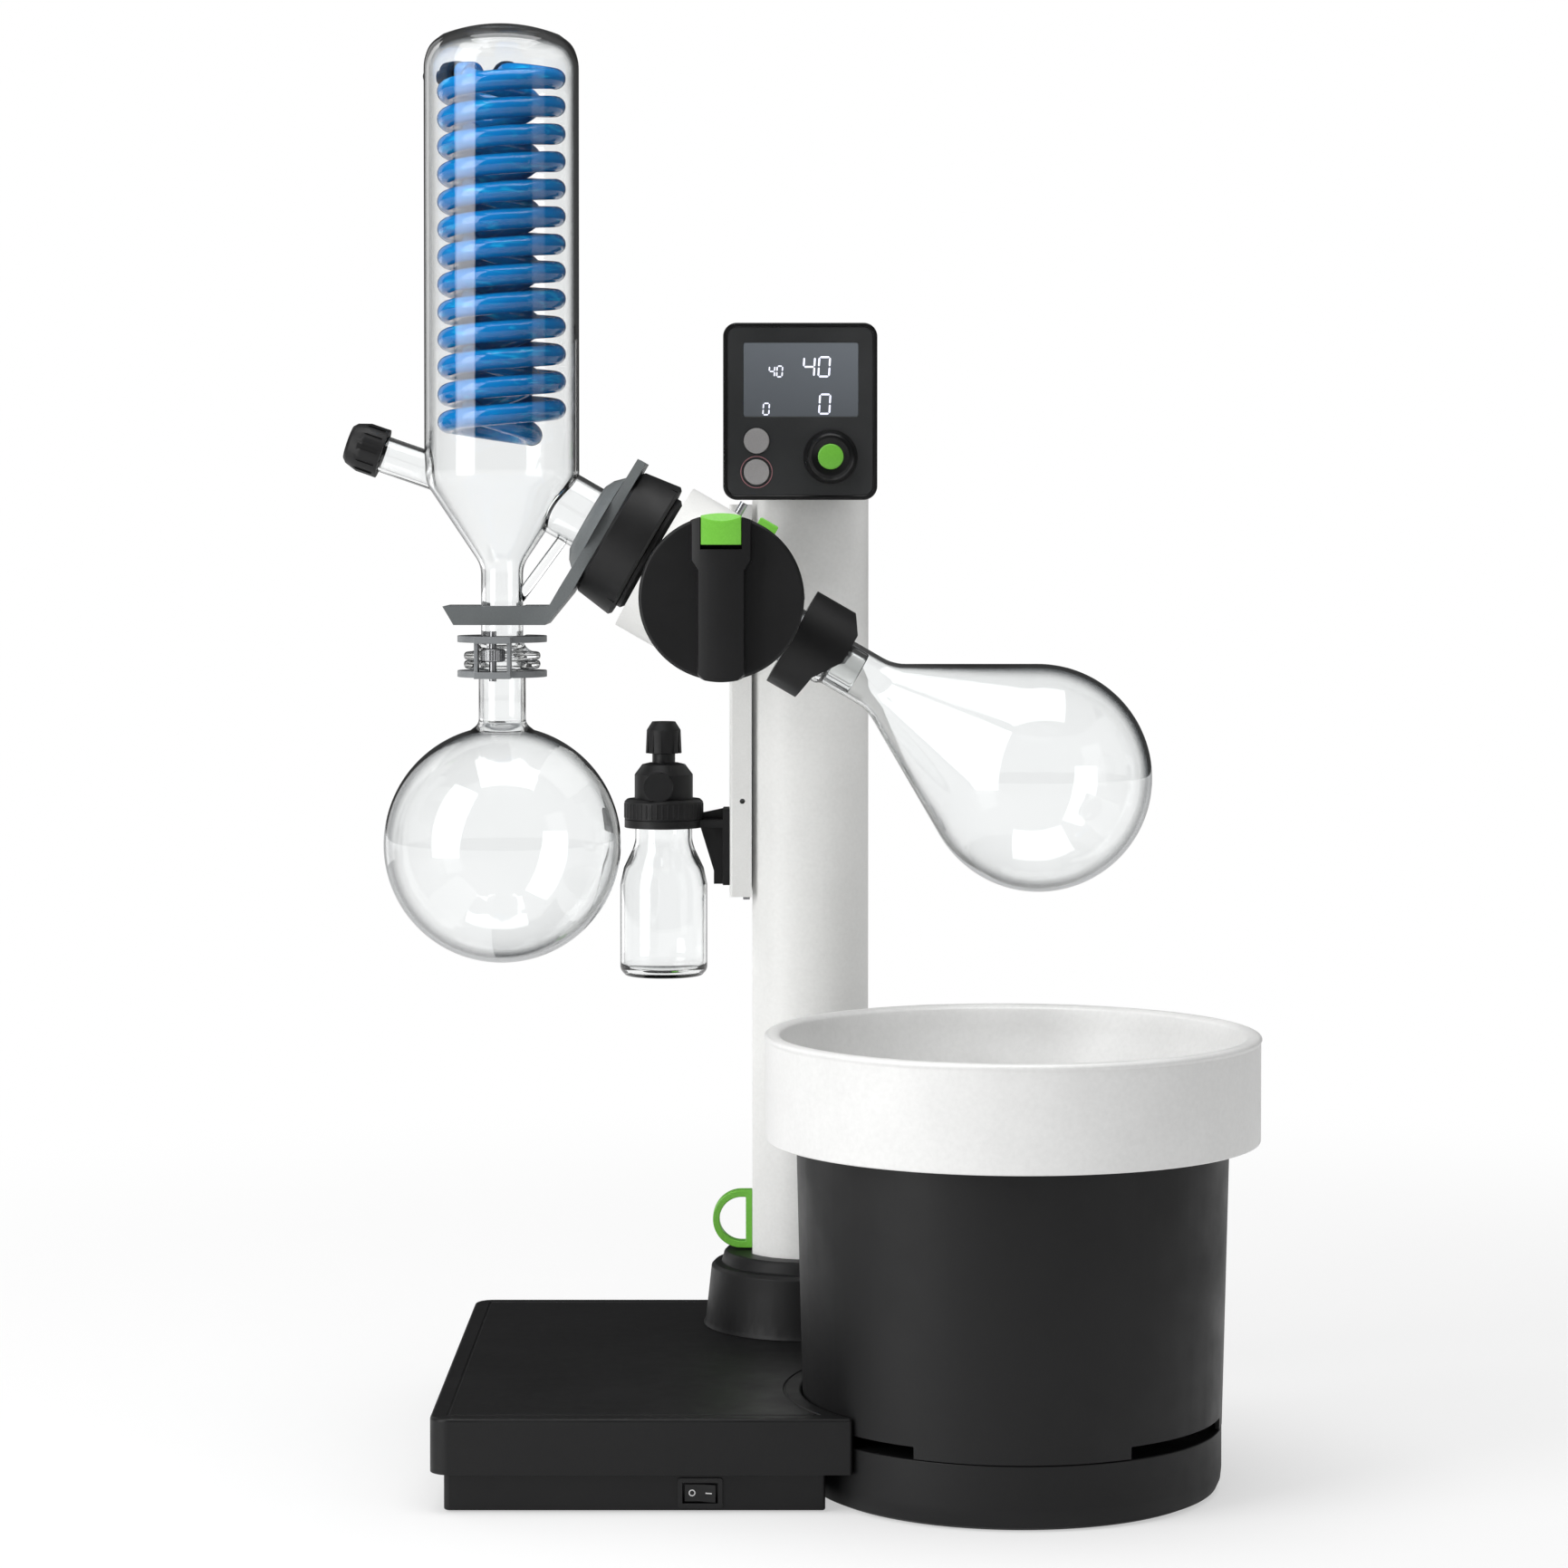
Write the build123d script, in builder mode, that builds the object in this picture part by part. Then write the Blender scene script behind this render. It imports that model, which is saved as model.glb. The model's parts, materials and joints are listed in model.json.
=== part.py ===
from build123d import *
from math import atan2, cos, radians, sin, sqrt, tan
import os

# Rotary evaporator with a vertical coil condenser and a heating bath, in millimetres.
# X runs to the right, Y away from the operator and Z up.
# The origin is on the bench, under the middle of the bath.

# Fits
CLEAR = 0.3
RUNNING = 0.05
SEAT = 0.02

# Base unit
BASE_LEFT = -316.0
BASE_RIGHT = -36.0
BASE_FRONT = -77.0
BASE_BACK = 260.0
BASE_TOP = 52.0
BASE_WALL = 2.5
BASE_CORNER = 11.0
BASE_EDGE = 2.0
BAY_CUSP = 2.0
BAY_GAP = 0.8
TRIM_INSET = 9.0
TRIM_WIDTH = 1.2
TRIM_DEPTH = 0.6
PLINTH_TOP = 21.7
PLINTH_INSET = 7.4
PLINTH_WALL = 3.0
FOOT_HEIGHT = 1.0
FOOT_RADIUS = 9.0
CHASSIS_THICK = 3.0
SCREW_RADIUS = 2.0
BOSS_RADIUS = 5.0
LINK_ANGLE = 162.0
LINK_WIDTH = 60.0
LINK_HEIGHT = 12.0
LINK_LOW = 4.0

# Power switch and mains inlet
SWITCH_X = -171.0
SWITCH_Z = 10.6
SWITCH_WIDTH = 22.0
SWITCH_HEIGHT = 14.0
SWITCH_BEZEL = 1.0
SWITCH_DEPTH = 12.0
INLET_X = -250.0
INLET_WIDTH = 27.0
INLET_HEIGHT = 19.0
INLET_DEPTH = 18.0

# Column and collar
COLUMN_X = -112.4
COLUMN_Y = 190.0
COLUMN_RADIUS = 36.6
COLUMN_FLAT = -145.0
COLUMN_WALL = 3.0
COLUMN_TOP = 636.0
COLUMN_CAP = 4.0
COLLAR_FOOT = 60.5
COLLAR_SHOULDER = 57.1
COLLAR_LIP = 49.5
COLLAR_RISE = 36.6
COLLAR_LIP_RISE = 44.0
LOOP_LOW = 97.0
LOOP_HIGH = 131.5
LOOP_LEFT = -168.7
LOOP_BAR = 4.0
LOOP_DEPTH = 9.0

# Control panel
PANEL_X = -116.7
PANEL_Z = 595.4
PANEL_WIDTH = 89.7
PANEL_HEIGHT = 102.9
PANEL_FACE_Y = 127.0
PANEL_DEPTH = 23.0
PANEL_CORNER = 8.0
PANEL_RIM = 2.5
PANEL_WALL = 2.0
PANEL_FACE_THICK = 2.0
SCREEN_WIDTH = 67.0
SCREEN_HEIGHT = 43.1
SCREEN_OFFSET = (0.4, 18.4)
BUTTON_RADIUS = 7.4
BUTTON_X = -25.4
BUTTON_ROWS = (-17.2, -35.3)
BUTTON_PROUD = 1.2
KNOB_OFFSET = (17.6, -26.5)
KNOB_RADIUS = 15.0
KNOB_PROUD = 13.0
KNOB_CAP_RADIUS = 7.4
PUSH_TRAVEL = 0.8

# Tilted drive head
HEAD_X = -159.6
HEAD_Z = 490.2
SPIN_TILT = 30.0
HOUSING_RADIUS = 43.2
HOUSING_UPPER_END = -43.5
HOUSING_SHOULDER = 9.0
NOSE_END = 40.0
NOSE_RADIUS = 21.0
HUB_FRONT = -46.0
CASING_BACK = 48.0
BEARING_BORE = 16.0
BEARING_OUTER = 24.0
BEARING_WIDTH = 9.0
UPPER_BEARING = -38.0
LOWER_BEARING = 6.0
DUCT_RADIUS = 11.0
DUCT_WALL = 1.8
PULLEY_START = -20.0
PULLEY_WIDTH = 12.0
SPINDLE_PULLEY_RADIUS = 26.0
MOTOR_PULLEY_RADIUS = 10.0
PULLEY_FLANGE = 2.0
BELT_THICK = 1.6
MOTOR_OFFSET = 78.0
MOTOR_RADIUS = 19.0
MOTOR_LENGTH = 36.0
ARM_BACK = 124.0
ARM_WALL = 3.5

# Grip hub, release trigger and spindle lock
GRIP_RADIUS = 44.5
GRIP_THICK = 14.0
BAR_HALF = 13.2
BAR_HEAD_HALF = 16.6
BAR_PROUD = 12.0
BAR_LOW = 46.2
BAR_CROWN = 5.4
BEVEL_HEIGHT = 5.6
TRIGGER_WIDTH = 21.8
TRIGGER_LOW = 28.5
TRIGGER_HIGH = 45.4
TRIGGER_TRAVEL = 2.2
LOCK_S = 2.0
LOCK_LENGTH = 11.4
LOCK_WIDTH = 8.0
LOCK_PROUD = 5.0
LOCK_TRAVEL = 2.0
PIN_S = -15.4

# Flask clip and evaporating flask
CLIP_START = 43.9
CLIP_LENGTH = 17.8
CLIP_RADIUS = 28.4
CLIP_HOOD_REACH = 74.6
FLASK_S = 200.3
FLASK_RADIUS = 62.75
FLASK_WALL = 2.0
FLASK_CONE = 30.0
NECK_RADIUS = 14.5
NECK_BEAD = 16.2
NECK_MOUTH = 62.0

# Union nut between the head and the condenser
NUT_START = -72.0
NUT_END = -48.5
NUT_RADIUS_FAR = 37.4
NUT_RADIUS_NEAR = 40.2
NUT_WALL = 6.0
COLLAR_START = -60.0
COLLAR_RADIUS = 32.6
RING_RADIUS = 33.8
RING_WIDTH = 2.8

# Condenser
CONDENSER_X = -281.2
JACKET_RADIUS = 42.5
JACKET_WALL = 2.6
JACKET_TOP = 803.9
JACKET_SHOULDER = 790.0
JACKET_CONE_TOP = 553.5
JACKET_CONE_BOTTOM = 507.0
JACKET_NECK = 11.5
ARM_RADIUS = 18.25
PORT_TILT = 19.2
PORT_RADIUS = 10.1
PORT_Z = 545.6
PORT_CAP_START = 69.2
PORT_CAP_LENGTH = 20.0
PORT_CAP_RADIUS = 13.8
NIPPLE_Z = 781.0
NIPPLE_ANGLES = (130.0, 90.0)
NIPPLE_RADIUS = 5.5
NIPPLE_REACH = 50.0
HOSE_CAP_RADIUS = 8.5
HOSE_CAP_LENGTH = 12.0
BARB_RADIUS = 4.0
BARB_LENGTH = 14.0

# Cooling coils
COIL_TUBE = 5.7
COIL_PITCH = 15.08
COIL_HALF_TURNS = 25
COIL_RADIUS = 29.6
COIL_BOTTOM = 585.4
INNER_COIL_RADIUS = 16.6
INNER_COIL_PITCH = 30.3
INNER_COIL_HALF_TURNS = 13
INNER_COIL_BOTTOM = 578.5

# Ball joint, its clamp and the receiving flask
JOINT_Z = 455.0
JOINT_RADIUS = 21.0
JOINT_THICK = 4.5
BALL_RADIUS = 16.0
FORK_RADIUS = 24.6
FORK_THICK = 3.6
WHEEL_RADIUS = 6.4
RECEIVER_Z = 353.5
RECEIVER_RADIUS = 65.25
RECEIVER_NECK = 12.9

# Condenser bracket
TRAY_LOW = 474.8
TRAY_HIGH = 485.0
TRAY_LEFT = -312.0
BRACKET_WIDTH = 52.0
BRACKET_THICK = 7.0

# Carriage behind the head
STRIP_LEFT = -158.4
STRIP_LOW = 309.0
STRIP_HIGH = 541.5
STRIP_FRONT = 166.0
STRIP_BACK = 214.0
STRIP_WALL = 2.0
RAIL_HEAD_WIDTH = 14.0
RAIL_HEAD_THICK = 4.0
RAIL_WEB_WIDTH = 6.0
SHOE_LENGTH = 28.0
SHOE_LOW = 314.0
SHOE_PITCH = 40.0

# Safety bottle
BOTTLE_X = -197.6
BOTTLE_Y = 175.0
BOTTLE_RADIUS = 25.9
BOTTLE_LOW = 262.0
BOTTLE_SHOULDER = 316.0
BOTTLE_NECK = 16.9
BOTTLE_NECK_Z = 341.0
BOTTLE_WALL = 2.0
CAP_LOW = 350.0
CAP_HIGH = 366.8
CAP_RADIUS = 23.3
VALVE_HIGH = 388.3
VALVE_RADIUS = 17.3
VENT_STEM_RADIUS = 6.8
VENT_KNOB_LOW = 394.0
VENT_KNOB_HIGH = 412.7
VENT_KNOB_RADIUS = 10.7

# Heating bath
RIM_TOP = 249.7
RIM_RADIUS = 136.4
RIM_LIP = 137.2
RIM_INNER = 127.0
BAND_LOW = 191.5
BATH_WALL = 2.6
POT_RADIUS = 110.0
POT_FLOOR = 64.0
SHELL_TOP_RADIUS = 119.8
SHELL_LOW_RADIUS = 115.4
SHELL_LOW = 35.6
SHELL_WALL = 2.5
RIM_FOOT = 204.5
NOTCH_HEIGHT = 6.5
NOTCH_START = 30.0
NOTCH_END = 75.0
DOCK_TOP = 35.2
DOCK_RADIUS = 115.2
DOCK_FOOT_RADIUS = 108.0
DOCK_WALL = 3.0
COUPLER_RADIUS = 20.0
HEATER_RADIUS = 70.0
HEATER_TUBE = 4.0

# Places worked out from the sizes above
RIM_SLOPE = (RIM_TOP - 21 - RIM_FOOT) / (RIM_INNER - POT_RADIUS - 6.6)
SHELL_TOP = RIM_FOOT + RIM_SLOPE * (SHELL_TOP_RADIUS - POT_RADIUS - 6.6) - CLEAR / 2
SPIN = Vector(cos(radians(SPIN_TILT)), 0, -sin(radians(SPIN_TILT)))
HEAD = Vector(HEAD_X, 0, HEAD_Z)
SPIN_AXIS = Axis(HEAD, SPIN)
SPIN_SIDE = Plane(origin=HEAD, x_dir=SPIN, z_dir=(0, -1, 0))
CHASSIS_TOP = PLINTH_TOP + CHASSIS_THICK
BAY_RADIUS = SHELL_LOW_RADIUS + BAY_GAP
BASE_SIZE = (BASE_RIGHT - BASE_LEFT, BASE_BACK - BASE_FRONT)
BASE_MIDDLE = ((BASE_LEFT + BASE_RIGHT) / 2, (BASE_FRONT + BASE_BACK) / 2)
COLUMN_BORE = COLUMN_RADIUS - COLUMN_WALL
COLUMN_AXIS = Axis((COLUMN_X, COLUMN_Y, 0), (0, 0, 1))
CONDENSER_AXIS = Axis((CONDENSER_X, 0, 0), (0, 0, 1))
BOTTLE_AXIS = Axis((BOTTLE_X, BOTTLE_Y, 0), (0, 0, 1))
PANEL_BACK_Y = PANEL_FACE_Y + PANEL_DEPTH
INLET_Z = (PLINTH_TOP + BASE_TOP) / 2 + 0.5
SWITCH_FRONT = BASE_FRONT + PLINTH_INSET
RAIL_RIGHT = COLUMN_FLAT - 1.6
SCREW_PLACES = [(-296.0, -56.0), (-296.0, 238.0), (-140.0, -56.0), (-58.0, 238.0)]


def upright(x: float, y: float, turn: float = 0.0) -> Plane:
    """Plane through a vertical axis, turned about it: its points are (radius, height)."""
    along = (cos(radians(turn)), sin(radians(turn)), 0)
    return Plane(origin=(x, y, 0), x_dir=along, z_dir=(along[1], -along[0], 0))


def across(s: float, away: float = 0.0) -> Plane:
    """Plane square to the spin axis, s from the head's middle: local x points away, local y up."""
    return Plane(origin=HEAD + SPIN * s + Vector(0, away, 0), x_dir=(0, 1, 0), z_dir=SPIN)


def facing(y: float) -> Plane:
    """Plane that faces the operator at depth y: its points are (x, z)."""
    return Plane(origin=(0, y, 0), x_dir=(1, 0, 0), z_dir=(0, -1, 0))


def spun(outline, plane: Plane, axis: Axis, mode: Mode = Mode.ADD, arc: float = 360.0) -> None:
    """Revolve a closed outline about an axis in its plane."""
    with BuildSketch(plane) as profile:
        with BuildLine():
            Polyline(*outline, close=True)
        make_face()
    revolve(profile.sketch, axis=axis, revolution_arc=arc, mode=mode)


def blown(neck, middle: float, radius: float, plane: Plane, axis: Axis, mode: Mode = Mode.ADD) -> None:
    """Revolve a flask: neck points that end on the bulb, then the bulb's arc to its far pole."""
    swing = atan2(neck[-1][1], neck[-1][0] - middle) / 2
    between = (middle + radius * cos(swing), radius * sin(swing))
    with BuildSketch(plane) as profile:
        with BuildLine():
            Polyline(*neck)
            ThreePointArc(neck[-1], between, (middle + radius, 0))
            Line((middle + radius, 0), neck[0])
        make_face()
    revolve(profile.sketch, axis=axis, mode=mode)


def dome_arc(edge: float, low: float, top: float) -> list:
    """Arc of a dome centred on its axis, from its edge up to its apex."""
    rise = top - low
    radius = (edge**2 + rise**2) / (2 * rise)
    return [(edge, low), (edge / 2, top - radius + sqrt(radius**2 - edge**2 / 4)), (0, top)]


def base_plan(inset: float) -> Sketch:
    """Footprint of the base: a rounded rectangle with a round bay for the bath."""
    with BuildSketch() as plan:
        with Locations(BASE_MIDDLE):
            RectangleRounded(
                BASE_SIZE[0] - 2 * inset, BASE_SIZE[1] - 2 * inset, max(BASE_CORNER - inset, 2.0)
            )
        Circle(BAY_RADIUS + inset, mode=Mode.SUBTRACT)
        cusps = plan.vertices().filter_by(
            lambda v: abs(sqrt(v.X**2 + v.Y**2) - BAY_RADIUS - inset) < 0.01
        )
        fillet(cusps, BAY_CUSP)
    return plan.sketch


def column_section(grow: float) -> Sketch:
    """Section of the column: a circle with a flat on its left for the carriage."""
    with BuildSketch() as section:
        with Locations((COLUMN_X, COLUMN_Y)):
            Circle(COLUMN_RADIUS + grow)
        right = COLUMN_X + COLUMN_RADIUS + grow
        with Locations(((COLUMN_FLAT - grow + right) / 2, COLUMN_Y)):
            Rectangle(right - COLUMN_FLAT + grow, 3 * COLUMN_RADIUS, mode=Mode.INTERSECT)
    return section.sketch


# Base cover: a moulded lid with a trim groove, screw bosses, the bay and the column hole
with BuildPart() as base_cover:
    with BuildSketch(Plane.XY.offset(PLINTH_TOP)):
        add(base_plan(0))
    extrude(amount=BASE_TOP - PLINTH_TOP)
    fillet(base_cover.faces().sort_by(Axis.Z)[-1].edges(), BASE_EDGE)
    with BuildSketch(Plane.XY.offset(PLINTH_TOP)):
        add(base_plan(BASE_WALL))
    extrude(amount=BASE_TOP - BASE_WALL - PLINTH_TOP, mode=Mode.SUBTRACT)
    with BuildSketch(Plane.XY.offset(BASE_TOP)):
        add(base_plan(TRIM_INSET))
        add(base_plan(TRIM_INSET + TRIM_WIDTH), mode=Mode.SUBTRACT)
    extrude(amount=-TRIM_DEPTH, mode=Mode.SUBTRACT)
    with BuildSketch(Plane.XY.offset(CHASSIS_TOP)):
        with Locations(*SCREW_PLACES):
            Circle(BOSS_RADIUS)
            Circle(SCREW_RADIUS, mode=Mode.SUBTRACT)
    extrude(amount=BASE_TOP - BASE_WALL - CHASSIS_TOP)
    with BuildSketch(Plane.XY.offset(BASE_TOP - 2 * BASE_WALL)):
        with Locations((COLUMN_X, COLUMN_Y)):
            Circle(COLUMN_RADIUS + 1.0)
    extrude(amount=4 * BASE_WALL, mode=Mode.SUBTRACT)
    with BuildSketch(facing(BASE_BACK + 1)):
        with Locations((INLET_X, INLET_Z)):
            Rectangle(INLET_WIDTH, INLET_HEIGHT)
    extrude(amount=BASE_WALL + 2, mode=Mode.SUBTRACT)
base_cover.part.label = "base_cover"

# Plinth: the recessed tray that the cover sits over, with screw posts and a tongue to the bath's dock
with BuildPart() as base_plinth:
    with BuildSketch(Plane.XY.offset(FOOT_HEIGHT)):
        add(base_plan(PLINTH_INSET))
    extrude(amount=PLINTH_TOP - FOOT_HEIGHT)
    fillet(base_plinth.faces().sort_by(Axis.Z)[0].edges(), BASE_EDGE / 2)
    with BuildSketch(Plane.XY.offset(FOOT_HEIGHT + PLINTH_WALL)):
        add(base_plan(PLINTH_INSET + PLINTH_WALL))
    extrude(amount=PLINTH_TOP, mode=Mode.SUBTRACT)
    with BuildSketch(facing(SWITCH_FRONT - 1)):
        with Locations((SWITCH_X, SWITCH_Z)):
            Rectangle(SWITCH_WIDTH, SWITCH_HEIGHT)
    extrude(amount=-SWITCH_DEPTH - 2, mode=Mode.SUBTRACT)
    with BuildSketch(Plane.XY.offset(FOOT_HEIGHT)):
        with Locations(*SCREW_PLACES):
            Circle(BOSS_RADIUS + 1.5)
    extrude(amount=PLINTH_TOP - FOOT_HEIGHT)
    with BuildSketch(Plane.XY):
        with Locations(*SCREW_PLACES):
            Circle(BOSS_RADIUS - 0.5)
    extrude(amount=PLINTH_TOP - 4, mode=Mode.SUBTRACT)
    with BuildSketch(Plane.XY):
        with Locations(*SCREW_PLACES):
            Circle(SCREW_RADIUS)
    extrude(amount=PLINTH_TOP, mode=Mode.SUBTRACT)
    with BuildSketch(Plane.XY.offset(LINK_LOW)):
        with PolarLocations(DOCK_RADIUS + 6, 1, LINK_ANGLE):
            Rectangle(24, LINK_WIDTH)
        Circle(DOCK_RADIUS + SEAT, mode=Mode.SUBTRACT)
    extrude(amount=LINK_HEIGHT)
base_plinth.part.label = "base_plinth"

# Chassis plate: carries the column, the power board and the cover's bosses
with BuildPart() as chassis_plate:
    with BuildSketch(Plane.XY.offset(PLINTH_TOP)):
        add(base_plan(BASE_WALL + CLEAR))
    extrude(amount=CHASSIS_THICK)
    with BuildSketch(Plane.XY.offset(PLINTH_TOP)):
        with Locations(*SCREW_PLACES):
            Circle(SCREW_RADIUS)
    extrude(amount=CHASSIS_THICK, mode=Mode.SUBTRACT)
chassis_plate.part.label = "chassis_plate"

# Rubber feet under the plinth's corners
FOOT_PLACES = [(-282.0, -44.0), (-282.0, 224.0), (-150.0, -44.0), (-72.0, 224.0)]
with BuildPart() as base_feet:
    with BuildSketch(Plane.XY):
        with Locations(*FOOT_PLACES):
            Circle(FOOT_RADIUS)
    extrude(amount=FOOT_HEIGHT)
    fillet(base_feet.edges().group_by(Axis.Z)[0], FOOT_HEIGHT / 4)
base_feet.part.label = "base_feet"

# Power board on the chassis, with its transformer and capacitors
BOARD_X = -236.0
BOARD_Y = 150.0
with BuildPart() as power_board:
    with BuildSketch(Plane.XY.offset(CHASSIS_TOP)):
        with Locations((BOARD_X, BOARD_Y)):
            with GridLocations(84, 104, 2, 2):
                Circle(3)
    extrude(amount=2)
    with BuildSketch(Plane.XY.offset(CHASSIS_TOP + 2)):
        with Locations((BOARD_X, BOARD_Y)):
            Rectangle(96, 116)
    extrude(amount=1.6)
    with BuildSketch(Plane.XY.offset(CHASSIS_TOP + 3.6)):
        with Locations((BOARD_X - 20, BOARD_Y + 20)):
            Rectangle(40, 34)
        with Locations((BOARD_X + 20, BOARD_Y + 30), (BOARD_X + 20, BOARD_Y + 12)):
            Circle(7)
    extrude(amount=17)
power_board.part.label = "power_board"

# Mains inlet in the cover's back wall, with three blades
with BuildPart() as power_inlet:
    with BuildSketch(facing(BASE_BACK + 1.5)):
        with Locations((INLET_X, INLET_Z)):
            RectangleRounded(INLET_WIDTH + 3, INLET_HEIGHT + 3, 2)
    extrude(amount=1.5)
    with BuildSketch(facing(BASE_BACK)):
        with Locations((INLET_X, INLET_Z)):
            Rectangle(INLET_WIDTH - 2 * CLEAR, INLET_HEIGHT - 2 * CLEAR)
    extrude(amount=INLET_DEPTH)
    with BuildSketch(facing(BASE_BACK + 1.5)):
        with Locations((INLET_X, INLET_Z)):
            Rectangle(INLET_WIDTH - 4, INLET_HEIGHT - 4)
    extrude(amount=INLET_DEPTH - 1, mode=Mode.SUBTRACT)
    with BuildSketch(facing(BASE_BACK - INLET_DEPTH + 9)):
        with Locations((INLET_X - 7, INLET_Z - 1.5), (INLET_X + 7, INLET_Z - 1.5), (INLET_X, INLET_Z + 2.5)):
            Rectangle(2, 4)
    extrude(amount=8)
power_inlet.part.label = "power_inlet"

# Switch bezel: a thin frame round the rocker, with the switch body behind it
with BuildPart() as switch_bezel:
    with BuildSketch(facing(SWITCH_FRONT)):
        with Locations((SWITCH_X, SWITCH_Z)):
            RectangleRounded(SWITCH_WIDTH + 2 * SWITCH_BEZEL, SWITCH_HEIGHT + 2 * SWITCH_BEZEL, 1.5)
    extrude(amount=1.0)
    with BuildSketch(facing(SWITCH_FRONT)):
        with Locations((SWITCH_X, SWITCH_Z)):
            Rectangle(SWITCH_WIDTH - 2 * CLEAR, SWITCH_HEIGHT - 2 * CLEAR)
    extrude(amount=-SWITCH_DEPTH)
    with BuildSketch(facing(SWITCH_FRONT - 1)):
        with Locations((SWITCH_X, SWITCH_Z)):
            Rectangle(SWITCH_WIDTH - 3.0, SWITCH_HEIGHT - 3.0)
    extrude(amount=-SWITCH_DEPTH + 1, mode=Mode.SUBTRACT)
switch_bezel.part.label = "switch_bezel"

# Rocker: its two faces meet in a shallow valley, and it tips about a vertical pin
ROCKER_HALF = SWITCH_WIDTH / 2 - 2.6
ROCKER_FRONT = SWITCH_FRONT - 2.4
ROCKER_PIVOT_Y = SWITCH_FRONT + 1.0
with BuildPart() as power_rocker:
    with BuildSketch(Plane.XY.offset(SWITCH_Z - SWITCH_HEIGHT / 2 + 2.2)) as rocker_plan:
        with BuildLine():
            Polyline(
                (SWITCH_X - ROCKER_HALF, SWITCH_FRONT - 0.2),
                (SWITCH_X, SWITCH_FRONT - 0.2),
                (SWITCH_X + ROCKER_HALF, ROCKER_FRONT),
                (SWITCH_X + ROCKER_HALF - 1.4, SWITCH_FRONT + 3.4),
                (SWITCH_X + 3, ROCKER_PIVOT_Y + 6.5),
                (SWITCH_X - 3, ROCKER_PIVOT_Y + 6.5),
                (SWITCH_X - ROCKER_HALF + 0.4, SWITCH_FRONT + 3.4),
                close=True,
            )
        make_face()
    extrude(amount=SWITCH_HEIGHT - 4.4)
power_rocker.part.label = "power_rocker"

# Column: a D-section extrusion bolted to the chassis
with BuildPart() as column_tube:
    with BuildSketch(Plane.XY.offset(CHASSIS_TOP)):
        add(column_section(0))
        add(column_section(-COLUMN_WALL), mode=Mode.SUBTRACT)
    extrude(amount=COLUMN_TOP - CHASSIS_TOP)
column_tube.part.label = "column_tube"

with BuildPart() as column_cap:
    with BuildSketch(Plane.XY.offset(COLUMN_TOP)):
        add(column_section(0))
    extrude(amount=COLUMN_CAP)
    fillet(column_cap.faces().sort_by(Axis.Z)[-1].edges(), COLUMN_CAP / 2)
    with BuildSketch(Plane.XY.offset(COLUMN_TOP)):
        add(column_section(-COLUMN_WALL - CLEAR))
    extrude(amount=-8)
column_cap.part.label = "column_cap"

# Collar where the column meets the base
with BuildPart() as column_collar:
    spun(
        [
            (COLUMN_RADIUS - 6, BASE_TOP),
            (COLLAR_FOOT + 1.5, BASE_TOP),
            (COLLAR_FOOT, BASE_TOP + 3),
            (COLLAR_SHOULDER, BASE_TOP + COLLAR_RISE - 2),
            (COLLAR_SHOULDER - 2, BASE_TOP + COLLAR_RISE),
            (COLLAR_LIP + 1.5, BASE_TOP + COLLAR_RISE + 0.5),
            (COLLAR_LIP, BASE_TOP + COLLAR_LIP_RISE - 1.5),
            (COLLAR_LIP - 1.5, BASE_TOP + COLLAR_LIP_RISE),
            (COLUMN_RADIUS - 6, BASE_TOP + COLLAR_LIP_RISE),
        ],
        upright(COLUMN_X, COLUMN_Y),
        COLUMN_AXIS,
    )
    with BuildSketch(Plane.XY.offset(BASE_TOP)):
        add(column_section(CLEAR))
    extrude(amount=COLLAR_LIP_RISE, mode=Mode.SUBTRACT)
column_collar.part.label = "column_collar"

# Hose loop: a D-shaped guide on the column's flat, just above the collar
LOOP_RADIUS = (LOOP_HIGH - LOOP_LOW) / 2
LOOP_MIDDLE = (LOOP_HIGH + LOOP_LOW) / 2
LOOP_CENTRE = LOOP_LEFT + LOOP_RADIUS
with BuildPart() as hose_loop:
    for shrink, mode in ((0, Mode.ADD), (LOOP_BAR, Mode.SUBTRACT)):
        reach = LOOP_RADIUS - shrink
        with BuildSketch(facing(COLUMN_Y - LOOP_DEPTH / 2)):
            with BuildLine():
                ThreePointArc(
                    (LOOP_CENTRE, LOOP_MIDDLE - reach),
                    (LOOP_CENTRE - reach, LOOP_MIDDLE),
                    (LOOP_CENTRE, LOOP_MIDDLE + reach),
                )
                Polyline(
                    (LOOP_CENTRE, LOOP_MIDDLE + reach),
                    (COLUMN_FLAT - shrink, LOOP_MIDDLE + reach),
                    (COLUMN_FLAT - shrink, LOOP_MIDDLE - reach),
                    (LOOP_CENTRE, LOOP_MIDDLE - reach),
                )
            make_face()
        extrude(amount=-LOOP_DEPTH, mode=mode)
hose_loop.part.label = "hose_loop"

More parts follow.
